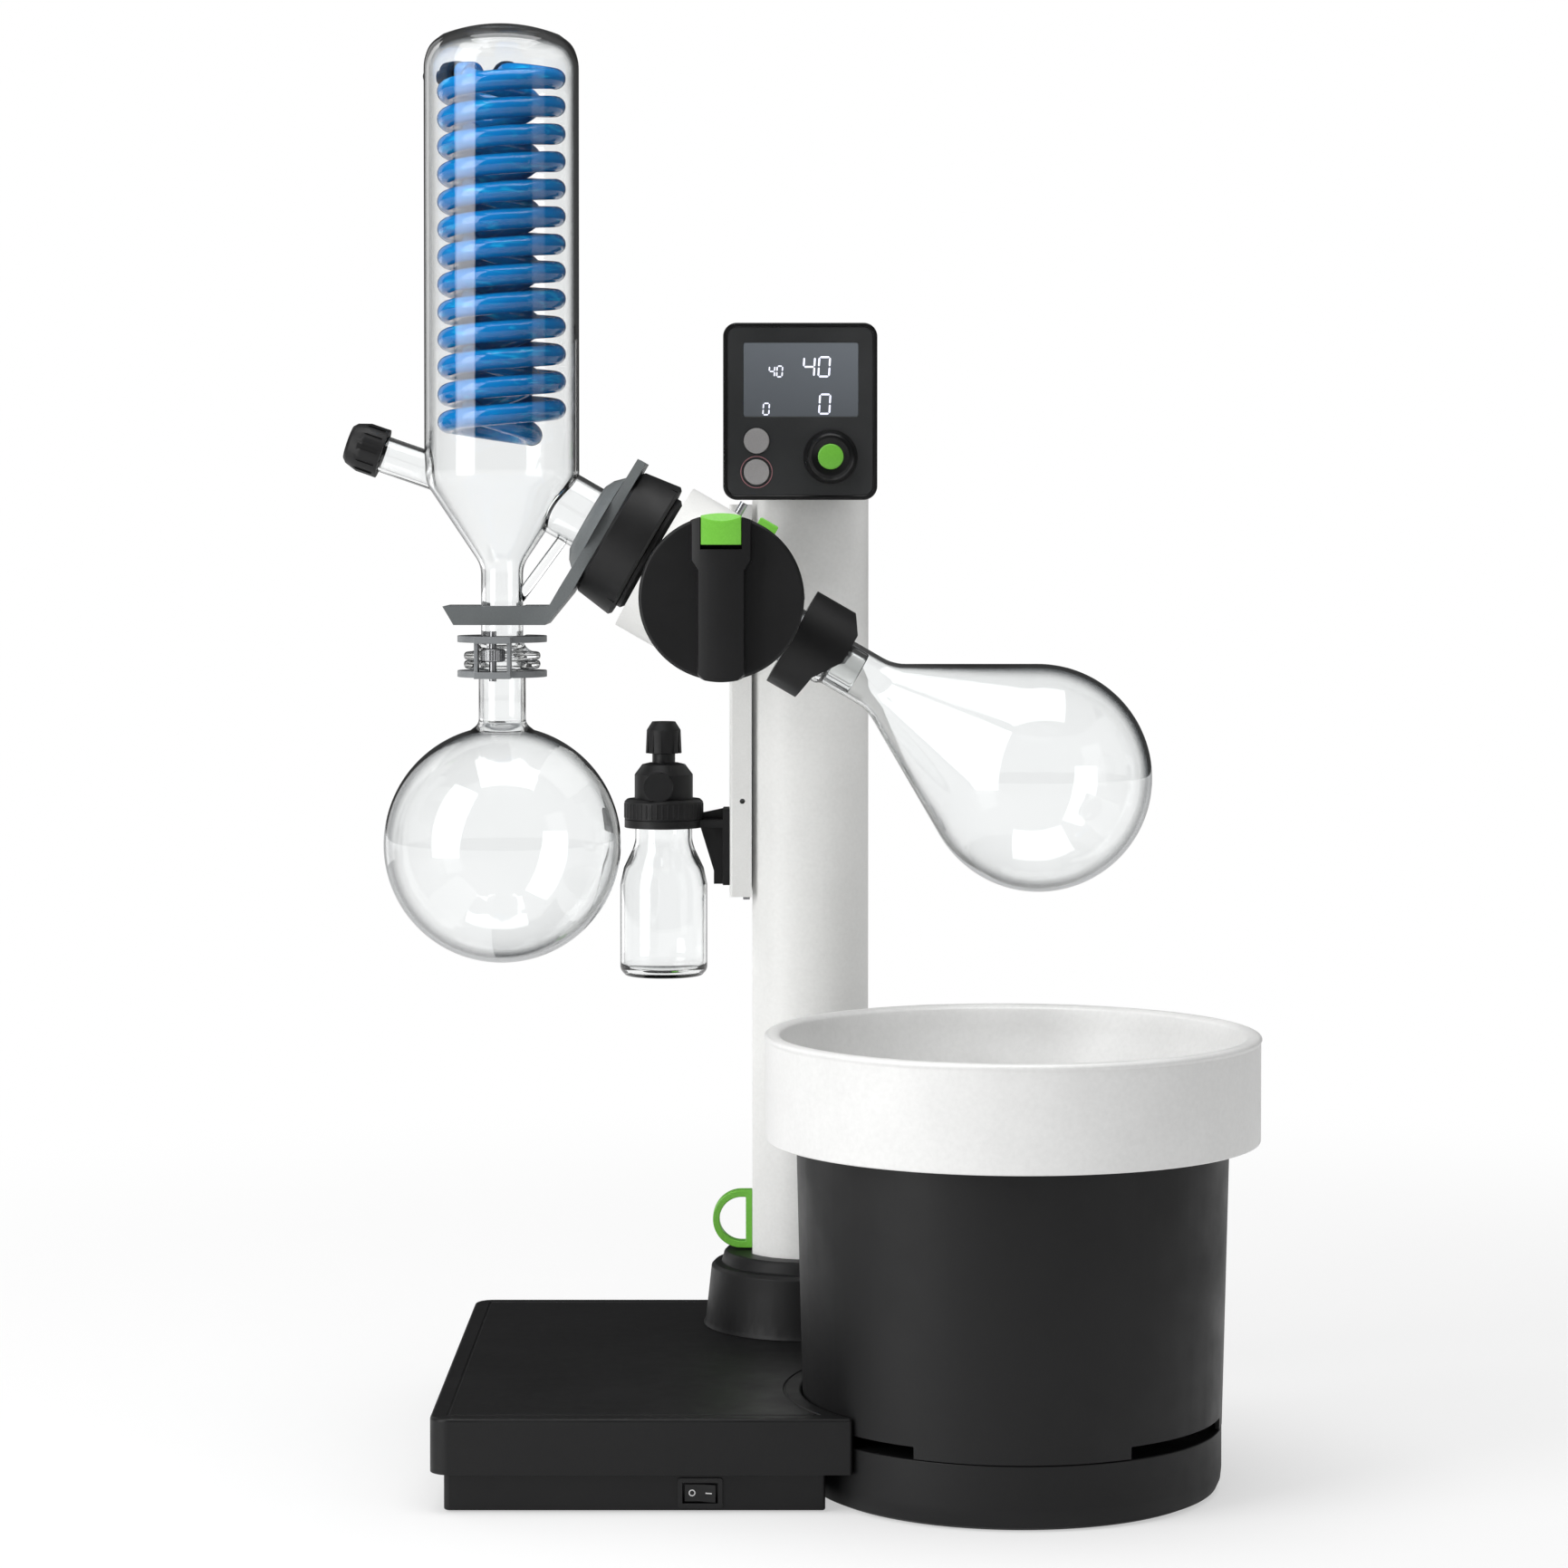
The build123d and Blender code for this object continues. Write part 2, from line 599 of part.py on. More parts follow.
# Guide shoes: two blocks on the column's flat that the carriage rail runs through
with BuildPart() as guide_shoes:
    with BuildSketch(Plane.XY.offset(SHOE_LOW)) as shoe_plan:
        with Locations(((COLUMN_FLAT + STRIP_LEFT + STRIP_WALL + 1.0) / 2, COLUMN_Y)):
            Rectangle(COLUMN_FLAT - STRIP_LEFT - STRIP_WALL - 1.0, 2 * RAIL_HEAD_WIDTH)
        with Locations((RAIL_RIGHT - RAIL_HEAD_THICK / 2, COLUMN_Y)):
            Rectangle(RAIL_HEAD_THICK + 2 * CLEAR, RAIL_HEAD_WIDTH + 2 * CLEAR, mode=Mode.SUBTRACT)
        with Locations((RAIL_RIGHT - RAIL_HEAD_THICK - 5, COLUMN_Y)):
            Rectangle(10 + CLEAR, RAIL_WEB_WIDTH + 2 * CLEAR, mode=Mode.SUBTRACT)
    extrude(amount=SHOE_LENGTH)
    with BuildSketch(Plane.XY.offset(SHOE_LOW + SHOE_PITCH)):
        add(shoe_plan.sketch.moved(Location((0, 0, -SHOE_LOW))))
    extrude(amount=SHOE_LENGTH)
guide_shoes.part.label = "guide_shoes"

# Control panel: a rounded back shell, the face plate, the screen, two buttons and a push knob
with BuildPart() as panel_housing:
    with BuildSketch(facing(PANEL_BACK_Y)):
        with Locations((PANEL_X, PANEL_Z)):
            RectangleRounded(PANEL_WIDTH, PANEL_HEIGHT, PANEL_CORNER)
    extrude(amount=PANEL_DEPTH)
    fillet(panel_housing.faces().sort_by(Axis.Y)[-1].edges(), 4)
    fillet(panel_housing.faces().sort_by(Axis.Y)[0].edges(), 1.0)
    with BuildSketch(facing(PANEL_BACK_Y - PANEL_WALL)):
        with Locations((PANEL_X, PANEL_Z)):
            RectangleRounded(
                PANEL_WIDTH - 2 * PANEL_RIM, PANEL_HEIGHT - 2 * PANEL_RIM, PANEL_CORNER - PANEL_RIM
            )
    extrude(amount=PANEL_DEPTH, mode=Mode.SUBTRACT)
panel_housing.part.label = "panel_housing"

SCREEN_X = PANEL_X + SCREEN_OFFSET[0]
SCREEN_Z = PANEL_Z + SCREEN_OFFSET[1]
KNOB_X = PANEL_X + KNOB_OFFSET[0]
KNOB_Z = PANEL_Z + KNOB_OFFSET[1]
FACE_FRONT = PANEL_FACE_Y + 0.4
with BuildPart() as panel_face:
    with BuildSketch(facing(FACE_FRONT)):
        with Locations((PANEL_X, PANEL_Z)):
            RectangleRounded(
                PANEL_WIDTH - 2 * (PANEL_RIM + 0.1),
                PANEL_HEIGHT - 2 * (PANEL_RIM + 0.1),
                PANEL_CORNER - PANEL_RIM,
            )
        with Locations((SCREEN_X, SCREEN_Z)):
            RectangleRounded(SCREEN_WIDTH, SCREEN_HEIGHT, 1.5, mode=Mode.SUBTRACT)
        with Locations(*[(PANEL_X + BUTTON_X, PANEL_Z + row) for row in BUTTON_ROWS]):
            Circle(BUTTON_RADIUS + CLEAR, mode=Mode.SUBTRACT)
        with Locations((KNOB_X, KNOB_Z)):
            Circle(4.0, mode=Mode.SUBTRACT)
    extrude(amount=-PANEL_FACE_THICK)
panel_face.part.label = "panel_face"

with BuildPart() as display_window:
    with BuildSketch(facing(FACE_FRONT + 0.2)):
        with Locations((SCREEN_X, SCREEN_Z)):
            RectangleRounded(SCREEN_WIDTH - 0.2, SCREEN_HEIGHT - 0.2, 1.4)
    extrude(amount=-1.6)
display_window.part.label = "display_window"

# Control board behind the face, with the display module and the two switch posts
BOARD_FRONT_Y = FACE_FRONT + 8.0
POST_FRONT_Y = FACE_FRONT + PANEL_FACE_THICK + 2.4
with BuildPart() as control_board:
    with BuildSketch(facing(BOARD_FRONT_Y)):
        with Locations((PANEL_X, PANEL_Z)):
            RectangleRounded(
                PANEL_WIDTH - 2 * PANEL_RIM - 1, PANEL_HEIGHT - 2 * PANEL_RIM - 1, PANEL_CORNER - PANEL_RIM
            )
    extrude(amount=-1.6)
    with BuildSketch(facing(BOARD_FRONT_Y)):
        with Locations((SCREEN_X, SCREEN_Z)):
            Rectangle(SCREEN_WIDTH + 4, SCREEN_HEIGHT + 4)
        with Locations(*[(PANEL_X + BUTTON_X, PANEL_Z + row) for row in BUTTON_ROWS]):
            Rectangle(6, 6)
    extrude(amount=BOARD_FRONT_Y - POST_FRONT_Y)
    with BuildSketch(facing(BOARD_FRONT_Y)):
        with Locations((KNOB_X, KNOB_Z)):
            Rectangle(12, 12)
            Circle(3.1 + RUNNING, mode=Mode.SUBTRACT)
    extrude(amount=5)
control_board.part.label = "control_board"


def make_button(row: float) -> Part:
    """One round push button with a wider collar that keeps it behind the face plate."""
    front = FACE_FRONT - BUTTON_PROUD
    back = POST_FRONT_Y - PUSH_TRAVEL - 0.1
    middle = (PANEL_X + BUTTON_X, PANEL_Z + row)
    with BuildPart() as button:
        with BuildSketch(facing(front)):
            with Locations(middle):
                Circle(BUTTON_RADIUS)
        extrude(amount=front - back)
        fillet(button.faces().sort_by(Axis.Y)[0].edges(), 0.4)
        with BuildSketch(facing(FACE_FRONT + PANEL_FACE_THICK + 0.2)):
            with Locations(middle):
                Circle(BUTTON_RADIUS + 1.2)
        extrude(amount=FACE_FRONT + PANEL_FACE_THICK + 0.2 - back)
    return button.part


set_button = make_button(BUTTON_ROWS[0])
set_button.label = "set_button"
stop_button = make_button(BUTTON_ROWS[1])
stop_button.label = "stop_button"

# Encoder shaft, its knob and the knob's coloured cap
KNOB_AXIS = Axis((KNOB_X, 0, KNOB_Z), (0, -1, 0))
KNOB_SIDE = Plane(origin=(KNOB_X, 0, KNOB_Z), x_dir=(0, -1, 0), z_dir=(1, 0, 0))
KNOB_BACK = -FACE_FRONT + PUSH_TRAVEL + 0.6
KNOB_FRONT = -FACE_FRONT + KNOB_PROUD
with BuildPart() as encoder_shaft:
    spun(
        [
            (-BOARD_FRONT_Y + PUSH_TRAVEL + 0.2, 0),
            (-BOARD_FRONT_Y + PUSH_TRAVEL + 0.2, 3.1),
            (KNOB_FRONT - 4, 3.1),
            (KNOB_FRONT - 4, 0),
        ],
        KNOB_SIDE,
        KNOB_AXIS,
    )
encoder_shaft.part.label = "encoder_shaft"

with BuildPart() as knob:
    spun(
        [
            (KNOB_BACK, 3.1 + SEAT),
            (KNOB_BACK, KNOB_RADIUS + 0.8),
            (KNOB_BACK + 2.0, KNOB_RADIUS + 0.4),
            (KNOB_FRONT - 2.5, KNOB_RADIUS - 1.2),
            (KNOB_FRONT - 0.8, KNOB_RADIUS - 2.4),
            (KNOB_FRONT - 0.3, KNOB_RADIUS - 4.0),
            (KNOB_FRONT - 1.2, KNOB_CAP_RADIUS + 0.1),
            (KNOB_FRONT - 2.2, KNOB_CAP_RADIUS + 0.1),
            (KNOB_FRONT - 2.2, 3.1 + SEAT),
        ],
        KNOB_SIDE,
        KNOB_AXIS,
    )
knob.part.label = "knob"

with BuildPart() as knob_cap:
    spun(
        [
            (KNOB_FRONT - 2.1, 0),
            (KNOB_FRONT - 2.1, KNOB_CAP_RADIUS),
            (KNOB_FRONT - 0.9, KNOB_CAP_RADIUS),
            (KNOB_FRONT - 0.4, KNOB_CAP_RADIUS - 1.0),
            (KNOB_FRONT, 0),
        ],
        KNOB_SIDE,
        KNOB_AXIS,
    )
knob_cap.part.label = "knob_cap"

# Bracket between the panel's back and the column
with BuildPart() as panel_bracket:
    with BuildSketch(facing(COLUMN_Y - COLUMN_RADIUS / 2)):
        with Locations((COLUMN_X, COLUMN_TOP - 34)):
            RectangleRounded(40, 56, 4)
    extrude(amount=COLUMN_Y - COLUMN_RADIUS / 2 - PANEL_BACK_Y)
    with BuildSketch(Plane.XY.offset(COLUMN_TOP - 70)):
        add(column_section(0))
    extrude(amount=80, mode=Mode.SUBTRACT)
panel_bracket.part.label = "panel_bracket"

# Drive head casing: the tilted tube and the crossing barrel, bored for the spindle, and
# the front half with the nose, which parts from them at the lower bearing
BORE_RADIUS = BEARING_OUTER + SEAT
BELT_BAY_START = PULLEY_START - 2
BELT_BAY_END = PULLEY_START + PULLEY_WIDTH + 2
BELT_BAY_RADIUS = SPINDLE_PULLEY_RADIUS + PULLEY_FLANGE + 3
BELT_TAIL_RADIUS = MOTOR_PULLEY_RADIUS + PULLEY_FLANGE + 3
with BuildPart() as head_casing:
    spun(
        [
            (HOUSING_UPPER_END, 0),
            (HOUSING_UPPER_END, HOUSING_RADIUS),
            (HOUSING_SHOULDER, HOUSING_RADIUS),
            (20, 39.5),
            (30, 33.0),
            (36, 27.0),
            (NOSE_END, NOSE_RADIUS),
            (NOSE_END, 0),
        ],
        SPIN_SIDE,
        SPIN_AXIS,
    )
    with BuildSketch(facing(CASING_BACK)):
        with Locations((HEAD_X, HEAD_Z)):
            Circle(HOUSING_RADIUS + 0.3)
    extrude(amount=CASING_BACK - HUB_FRONT)
    spun(
        [
            (UPPER_BEARING, 0),
            (UPPER_BEARING, BORE_RADIUS),
            (BELT_BAY_START, BORE_RADIUS),
            (BELT_BAY_START, BELT_BAY_RADIUS),
            (BELT_BAY_END, BELT_BAY_RADIUS),
            (BELT_BAY_END, BORE_RADIUS),
            (LOWER_BEARING + BEARING_WIDTH, BORE_RADIUS),
            (LOWER_BEARING + BEARING_WIDTH, BEARING_BORE + 0.8),
            (NOSE_END + 5, BEARING_BORE + 0.8),
            (NOSE_END + 5, 0),
        ],
        SPIN_SIDE,
        SPIN_AXIS,
        Mode.SUBTRACT,
    )
    with BuildSketch(across(HOUSING_UPPER_END)):
        Circle(BEARING_BORE + 0.8)
    extrude(amount=UPPER_BEARING - HOUSING_UPPER_END, mode=Mode.SUBTRACT)
    with BuildSketch(across(BELT_BAY_START)):
        with BuildLine():
            Polyline(
                (0, -BELT_BAY_RADIUS),
                (CASING_BACK, -BELT_BAY_RADIUS + 8),
                (CASING_BACK, BELT_BAY_RADIUS - 8),
                (0, BELT_BAY_RADIUS),
                close=True,
            )
        make_face()
    extrude(amount=BELT_BAY_END - BELT_BAY_START, mode=Mode.SUBTRACT)
    with BuildSketch(across(LOCK_S - LOCK_LENGTH / 2 - CLEAR)):
        with Locations((0, HOUSING_RADIUS - 2)):
            Rectangle(LOCK_WIDTH + 2 * CLEAR, 12)
    extrude(amount=LOCK_LENGTH + 2 * CLEAR, mode=Mode.SUBTRACT)
    with BuildSketch(across(LOWER_BEARING + BEARING_WIDTH)):
        Rectangle(2 * (CASING_BACK - HUB_FRONT), 4 * HOUSING_RADIUS)
    extrude(amount=SEAT, mode=Mode.SUBTRACT)
head_casing.part.label = "head_casing"

# Drive arm: the barrel behind the casing and the block that bolts to the carriage
BLOCK_LEFT = -194.0
BLOCK_HALF = 24.0
MOTOR_START = PULLEY_START + PULLEY_WIDTH + 5.0
PLATE_THICK = 2.5
PLATE_HALF = sqrt((HOUSING_RADIUS - ARM_WALL + 1) ** 2 - (MOTOR_START - PLATE_THICK) ** 2)
PLATE_SHIFT = (ARM_BACK - 7 - MOTOR_OFFSET - MOTOR_RADIUS) / 2
with BuildPart() as drive_arm:
    with BuildSketch(facing(ARM_BACK)):
        with Locations((HEAD_X, HEAD_Z)):
            Circle(HOUSING_RADIUS + 0.3)
    extrude(amount=ARM_BACK - CASING_BACK)
    fillet(drive_arm.faces().sort_by(Axis.Y)[-1].edges(), 6)
    with BuildSketch(facing(STRIP_BACK - 4)):
        with Locations(((BLOCK_LEFT + STRIP_LEFT) / 2, HEAD_Z)):
            RectangleRounded(STRIP_LEFT - BLOCK_LEFT, 2 * BLOCK_HALF, 6)
    extrude(amount=STRIP_BACK - 4 - ARM_BACK + 8)
    with BuildSketch(facing(ARM_BACK - 8)):
        with Locations((HEAD_X, HEAD_Z)):
            Circle(HOUSING_RADIUS - ARM_WALL)
    extrude(amount=ARM_BACK - 8 - CASING_BACK, mode=Mode.SUBTRACT)
    with BuildSketch(across(MOTOR_START - PLATE_THICK, MOTOR_OFFSET)):
        with Locations((PLATE_SHIFT, 0)):
            Rectangle(ARM_BACK - 7 - MOTOR_OFFSET + MOTOR_RADIUS, 2 * PLATE_HALF)
        Circle(6 + CLEAR, mode=Mode.SUBTRACT)
    extrude(amount=PLATE_THICK)
drive_arm.part.label = "drive_arm"


# Ball bearings: rings with a shallow groove in each face for their shields
BEARING_LAND = (BEARING_OUTER - BEARING_BORE - RUNNING) / 4
with BuildPart() as bearings:
    for start in (UPPER_BEARING, LOWER_BEARING):
        end = start + BEARING_WIDTH
        spun(
            [
                (start, BEARING_BORE + RUNNING),
                (start, BEARING_BORE + RUNNING + BEARING_LAND),
                (start + 0.8, BEARING_BORE + RUNNING + BEARING_LAND),
                (start + 0.8, BEARING_OUTER - BEARING_LAND),
                (start, BEARING_OUTER - BEARING_LAND),
                (start, BEARING_OUTER),
                (end, BEARING_OUTER),
                (end, BEARING_OUTER - BEARING_LAND),
                (end - 0.8, BEARING_OUTER - BEARING_LAND),
                (end - 0.8, BEARING_BORE + RUNNING + BEARING_LAND),
                (end, BEARING_BORE + RUNNING + BEARING_LAND),
                (end, BEARING_BORE + RUNNING),
            ],
            SPIN_SIDE,
            SPIN_AXIS,
        )
bearings.part.label = "bearings"

# Spindle: the hollow shaft that carries the glass duct, with a shoulder for the clip
SPINDLE_BORE = DUCT_RADIUS + SEAT
SPINDLE_START = HOUSING_UPPER_END + 1.0
SPINDLE_END = CLIP_START + CLIP_LENGTH - 8
with BuildPart() as spindle:
    spun(
        [
            (SPINDLE_START, SPINDLE_BORE),
            (SPINDLE_START, BEARING_BORE),
            (CLIP_START, BEARING_BORE),
            (CLIP_START, BEARING_BORE + 4),
            (SPINDLE_END, BEARING_BORE + 4),
            (SPINDLE_END, SPINDLE_BORE),
        ],
        SPIN_SIDE,
        SPIN_AXIS,
    )
spindle.part.label = "spindle"


def pulley_outline(radius: float, bore: float) -> list:
    """Half section of a flanged belt pulley in (along the spin axis, radius) points."""
    start = PULLEY_START
    end = PULLEY_START + PULLEY_WIDTH
    return [
        (start, bore),
        (start, radius + PULLEY_FLANGE),
        (start + 1.2, radius + PULLEY_FLANGE),
        (start + 1.2, radius),
        (end - 1.2, radius),
        (end - 1.2, radius + PULLEY_FLANGE),
        (end, radius + PULLEY_FLANGE),
        (end, bore),
    ]


MOTOR_CENTRE = HEAD + Vector(0, MOTOR_OFFSET, 0)
MOTOR_AXIS = Axis(MOTOR_CENTRE, SPIN)
MOTOR_SIDE = Plane(origin=MOTOR_CENTRE, x_dir=SPIN, z_dir=(0, -1, 0))
MOTOR_SHAFT = 3.0
with BuildPart() as spindle_pulley:
    spun(pulley_outline(SPINDLE_PULLEY_RADIUS, BEARING_BORE + SEAT), SPIN_SIDE, SPIN_AXIS)
spindle_pulley.part.label = "spindle_pulley"

# The motor's pulley and shaft turn together
with BuildPart() as motor_pulley:
    spun(pulley_outline(MOTOR_PULLEY_RADIUS, 0), MOTOR_SIDE, MOTOR_AXIS)
    with BuildSketch(across(PULLEY_START - 1, MOTOR_OFFSET)):
        Circle(MOTOR_SHAFT)
    extrude(amount=MOTOR_START - 2.3 - PULLEY_START + 1)
motor_pulley.part.label = "motor_pulley"

# Belt round both pulleys: the outline of two circles and their outer tangents
BELT_SLOPE = (SPINDLE_PULLEY_RADIUS - MOTOR_PULLEY_RADIUS) / MOTOR_OFFSET


def belt_outline(grow: float) -> Sketch:
    """Area inside the belt's line, grown outwards by a distance."""
    big = SPINDLE_PULLEY_RADIUS + CLEAR + grow
    small = MOTOR_PULLEY_RADIUS + CLEAR + grow
    lean = sqrt(1 - BELT_SLOPE**2)
    with BuildSketch(across(PULLEY_START + 1.5)) as outline:
        Circle(big)
        with Locations((MOTOR_OFFSET, 0)):
            Circle(small)
        with BuildLine():
            Polyline(
                (big * BELT_SLOPE, -big * lean),
                (MOTOR_OFFSET + small * BELT_SLOPE, -small * lean),
                (MOTOR_OFFSET + small * BELT_SLOPE, small * lean),
                (big * BELT_SLOPE, big * lean),
                close=True,
            )
        make_face()
    return outline.sketch


with BuildPart() as drive_belt:
    extrude(belt_outline(BELT_THICK), amount=PULLEY_WIDTH - 3, dir=SPIN)
    extrude(belt_outline(0), amount=PULLEY_WIDTH - 3, dir=SPIN, mode=Mode.SUBTRACT)
drive_belt.part.label = "drive_belt"

# Motor, beside the spindle inside the arm, bolted to the arm's inner plate
with BuildPart() as motor:
    spun(
        [
            (MOTOR_START, 0),
            (MOTOR_START, MOTOR_RADIUS - 1),
            (MOTOR_START + 1, MOTOR_RADIUS),
            (MOTOR_START + MOTOR_LENGTH - 1, MOTOR_RADIUS),
            (MOTOR_START + MOTOR_LENGTH, MOTOR_RADIUS - 1),
            (MOTOR_START + MOTOR_LENGTH, 0),
        ],
        MOTOR_SIDE,
        MOTOR_AXIS,
    )
    with BuildSketch(across(MOTOR_START, MOTOR_OFFSET)):
        Circle(6)
    extrude(amount=-2)
motor.part.label = "motor"

# Grip hub: the round front of the head with a vertical bar to lift it by
BAR_FRONT = HUB_FRONT - GRIP_THICK
TRIGGER_FRONT = BAR_FRONT + 0.8 - CLEAR - BAR_PROUD


def crown(front: float) -> Sketch:
    """What lies outside the bar's rounded face, whose middle is at depth front, seen from above."""
    with BuildSketch(Plane.XY.offset(HEAD_Z - 2 * GRIP_RADIUS)) as outside:
        with BuildLine():
            ThreePointArc(
                (HEAD_X - 20, front + BAR_CROWN), (HEAD_X, front), (HEAD_X + 20, front + BAR_CROWN)
            )
            Polyline(
                (HEAD_X + 20, front + BAR_CROWN),
                (HEAD_X + 20, front - 5),
                (HEAD_X - 20, front - 5),
                (HEAD_X - 20, front + BAR_CROWN),
            )
        make_face()
    return outside.sketch


with BuildPart() as grip_hub:
    with BuildSketch(facing(HUB_FRONT)):
        with Locations((HEAD_X, HEAD_Z)):
            Circle(GRIP_RADIUS)
    extrude(amount=GRIP_THICK)
    fillet(grip_hub.faces().sort_by(Axis.Y)[0].edges(), 2.0)
    with BuildSketch(facing(BAR_FRONT + 1)):
        with BuildLine():
            Polyline(
                (HEAD_X + 5 - BAR_HALF, HEAD_Z - BAR_LOW),
                (HEAD_X + BAR_HALF - 5, HEAD_Z - BAR_LOW),
                (HEAD_X + BAR_HALF, HEAD_Z + 5 - BAR_LOW),
                (HEAD_X + BAR_HALF, HEAD_Z + TRIGGER_LOW - 14),
                (HEAD_X + BAR_HEAD_HALF, HEAD_Z + TRIGGER_LOW - 8.5),
                (HEAD_X + BAR_HEAD_HALF, HEAD_Z + TRIGGER_HIGH - 0.8),
                (HEAD_X - BAR_HEAD_HALF, HEAD_Z + TRIGGER_HIGH - 0.8),
                (HEAD_X - BAR_HEAD_HALF, HEAD_Z + TRIGGER_LOW - 8.5),
                (HEAD_X - BAR_HALF, HEAD_Z + TRIGGER_LOW - 14),
                (HEAD_X - BAR_HALF, HEAD_Z + 5 - BAR_LOW),
                close=True,
            )
        make_face()
    extrude(amount=BAR_PROUD + 1, taper=6)
    extrude(crown(BAR_FRONT - BAR_PROUD), amount=4 * GRIP_RADIUS, mode=Mode.SUBTRACT)
    with BuildSketch(facing(BAR_FRONT + 1.6)):
        with Locations((HEAD_X, HEAD_Z)):
            Circle(2 * GRIP_RADIUS)
            Circle(GRIP_RADIUS + 0.3, mode=Mode.SUBTRACT)
    extrude(amount=BAR_PROUD + 3, mode=Mode.SUBTRACT)
    with BuildSketch(facing(BAR_FRONT + 2)):
        with Locations((HEAD_X, HEAD_Z + (TRIGGER_LOW + TRIGGER_HIGH) / 2 - TRIGGER_TRAVEL / 2 + 3)):
            Rectangle(TRIGGER_WIDTH + 2 * CLEAR, TRIGGER_HIGH - TRIGGER_LOW + TRIGGER_TRAVEL + 6.6)
    extrude(amount=BAR_PROUD + 3, mode=Mode.SUBTRACT)
grip_hub.part.label = "grip_hub"

# Release trigger: pulled down inside the bar to free the carriage
with BuildPart() as lift_release:
    with BuildSketch(facing(BAR_FRONT + 2 - CLEAR)):
        with Locations((HEAD_X, HEAD_Z + (TRIGGER_LOW + TRIGGER_HIGH) / 2)):
            Rectangle(TRIGGER_WIDTH, TRIGGER_HIGH - TRIGGER_LOW)
        with Locations((HEAD_X, HEAD_Z)):
            Circle(TRIGGER_HIGH, mode=Mode.INTERSECT)
    extrude(amount=BAR_PROUD + 1.2)
    extrude(crown(TRIGGER_FRONT), amount=4 * GRIP_RADIUS, mode=Mode.SUBTRACT)
    with BuildSketch(Plane.YZ.offset(HEAD_X - TRIGGER_WIDTH)):
        with BuildLine():
            Polyline(
                (TRIGGER_FRONT - 2, HEAD_Z + TRIGGER_HIGH - BEVEL_HEIGHT - 2),
                (TRIGGER_FRONT + 3.4, HEAD_Z + TRIGGER_HIGH + 0.8),
                (TRIGGER_FRONT - 2, HEAD_Z + TRIGGER_HIGH + 0.8),
                close=True,
            )
        make_face()
    extrude(amount=2 * TRIGGER_WIDTH, mode=Mode.SUBTRACT)
lift_release.part.label = "lift_release"

# Spindle lock tab, on top of the casing
with BuildPart() as spindle_lock:
    with BuildSketch(across(LOCK_S - LOCK_LENGTH / 2)):
        with Locations((0, HOUSING_RADIUS + (LOCK_PROUD - 4.5) / 2)):
            Rectangle(LOCK_WIDTH, LOCK_PROUD + 4.5)
    extrude(amount=LOCK_LENGTH)
    fillet(spindle_lock.faces().sort_by(Axis(HEAD, (0.5, 0, 0.866)))[-1].edges(), 1.2)
spindle_lock.part.label = "spindle_lock"

# Small stop pin that stands on the casing
with BuildPart() as casing_pin:
    with BuildSketch(
        Plane(
            origin=HEAD + SPIN * PIN_S,
            x_dir=SPIN,
            z_dir=(sin(radians(SPIN_TILT)), 0, cos(radians(SPIN_TILT))),
        ).offset(HOUSING_RADIUS)
    ):
        Circle(2.3)
    extrude(amount=7)
casing_pin.part.label = "casing_pin"

# Flask clip: a ring on the spindle nose with a hood over the flask's neck
with BuildPart() as flask_clip:
    with BuildSketch(SPIN_SIDE.offset(CLIP_RADIUS + 3)):
        with BuildLine():
            Polyline(
                (CLIP_START, -CLIP_RADIUS - 3),
                (CLIP_START, CLIP_RADIUS + 3),
                (CLIP_HOOD_REACH - 8.6, CLIP_RADIUS + 3),
                (CLIP_HOOD_REACH, 18.5),
                (CLIP_HOOD_REACH - 0.3, 1.5),
                (CLIP_START + CLIP_LENGTH + 2.5, -14),
                (CLIP_START + CLIP_LENGTH, -CLIP_RADIUS - 3),
                close=True,
            )
        make_face()
    extrude(amount=-2 * CLIP_RADIUS - 6)
    with BuildSketch(across(CLIP_START - 5)):
        Circle(CLIP_RADIUS)
    extrude(amount=CLIP_HOOD_REACH - CLIP_START + 10, mode=Mode.INTERSECT)
    spun(
        [
            (CLIP_START - 1, 0),
            (CLIP_START - 1, BEARING_BORE + 4 + SEAT),
            (SPINDLE_END + CLEAR, BEARING_BORE + 4 + SEAT),
            (SPINDLE_END + CLEAR, NECK_BEAD + CLEAR),
            (NECK_MOUTH + 8 + CLEAR, NECK_BEAD + CLEAR),
            (NECK_MOUTH + 8 + CLEAR, NECK_RADIUS + CLEAR),
            (CLIP_HOOD_REACH + 1, NECK_RADIUS + CLEAR),
            (CLIP_HOOD_REACH + 1, 0),
        ],
        SPIN_SIDE,
        SPIN_AXIS,
        Mode.SUBTRACT,
    )
flask_clip.part.label = "flask_clip"

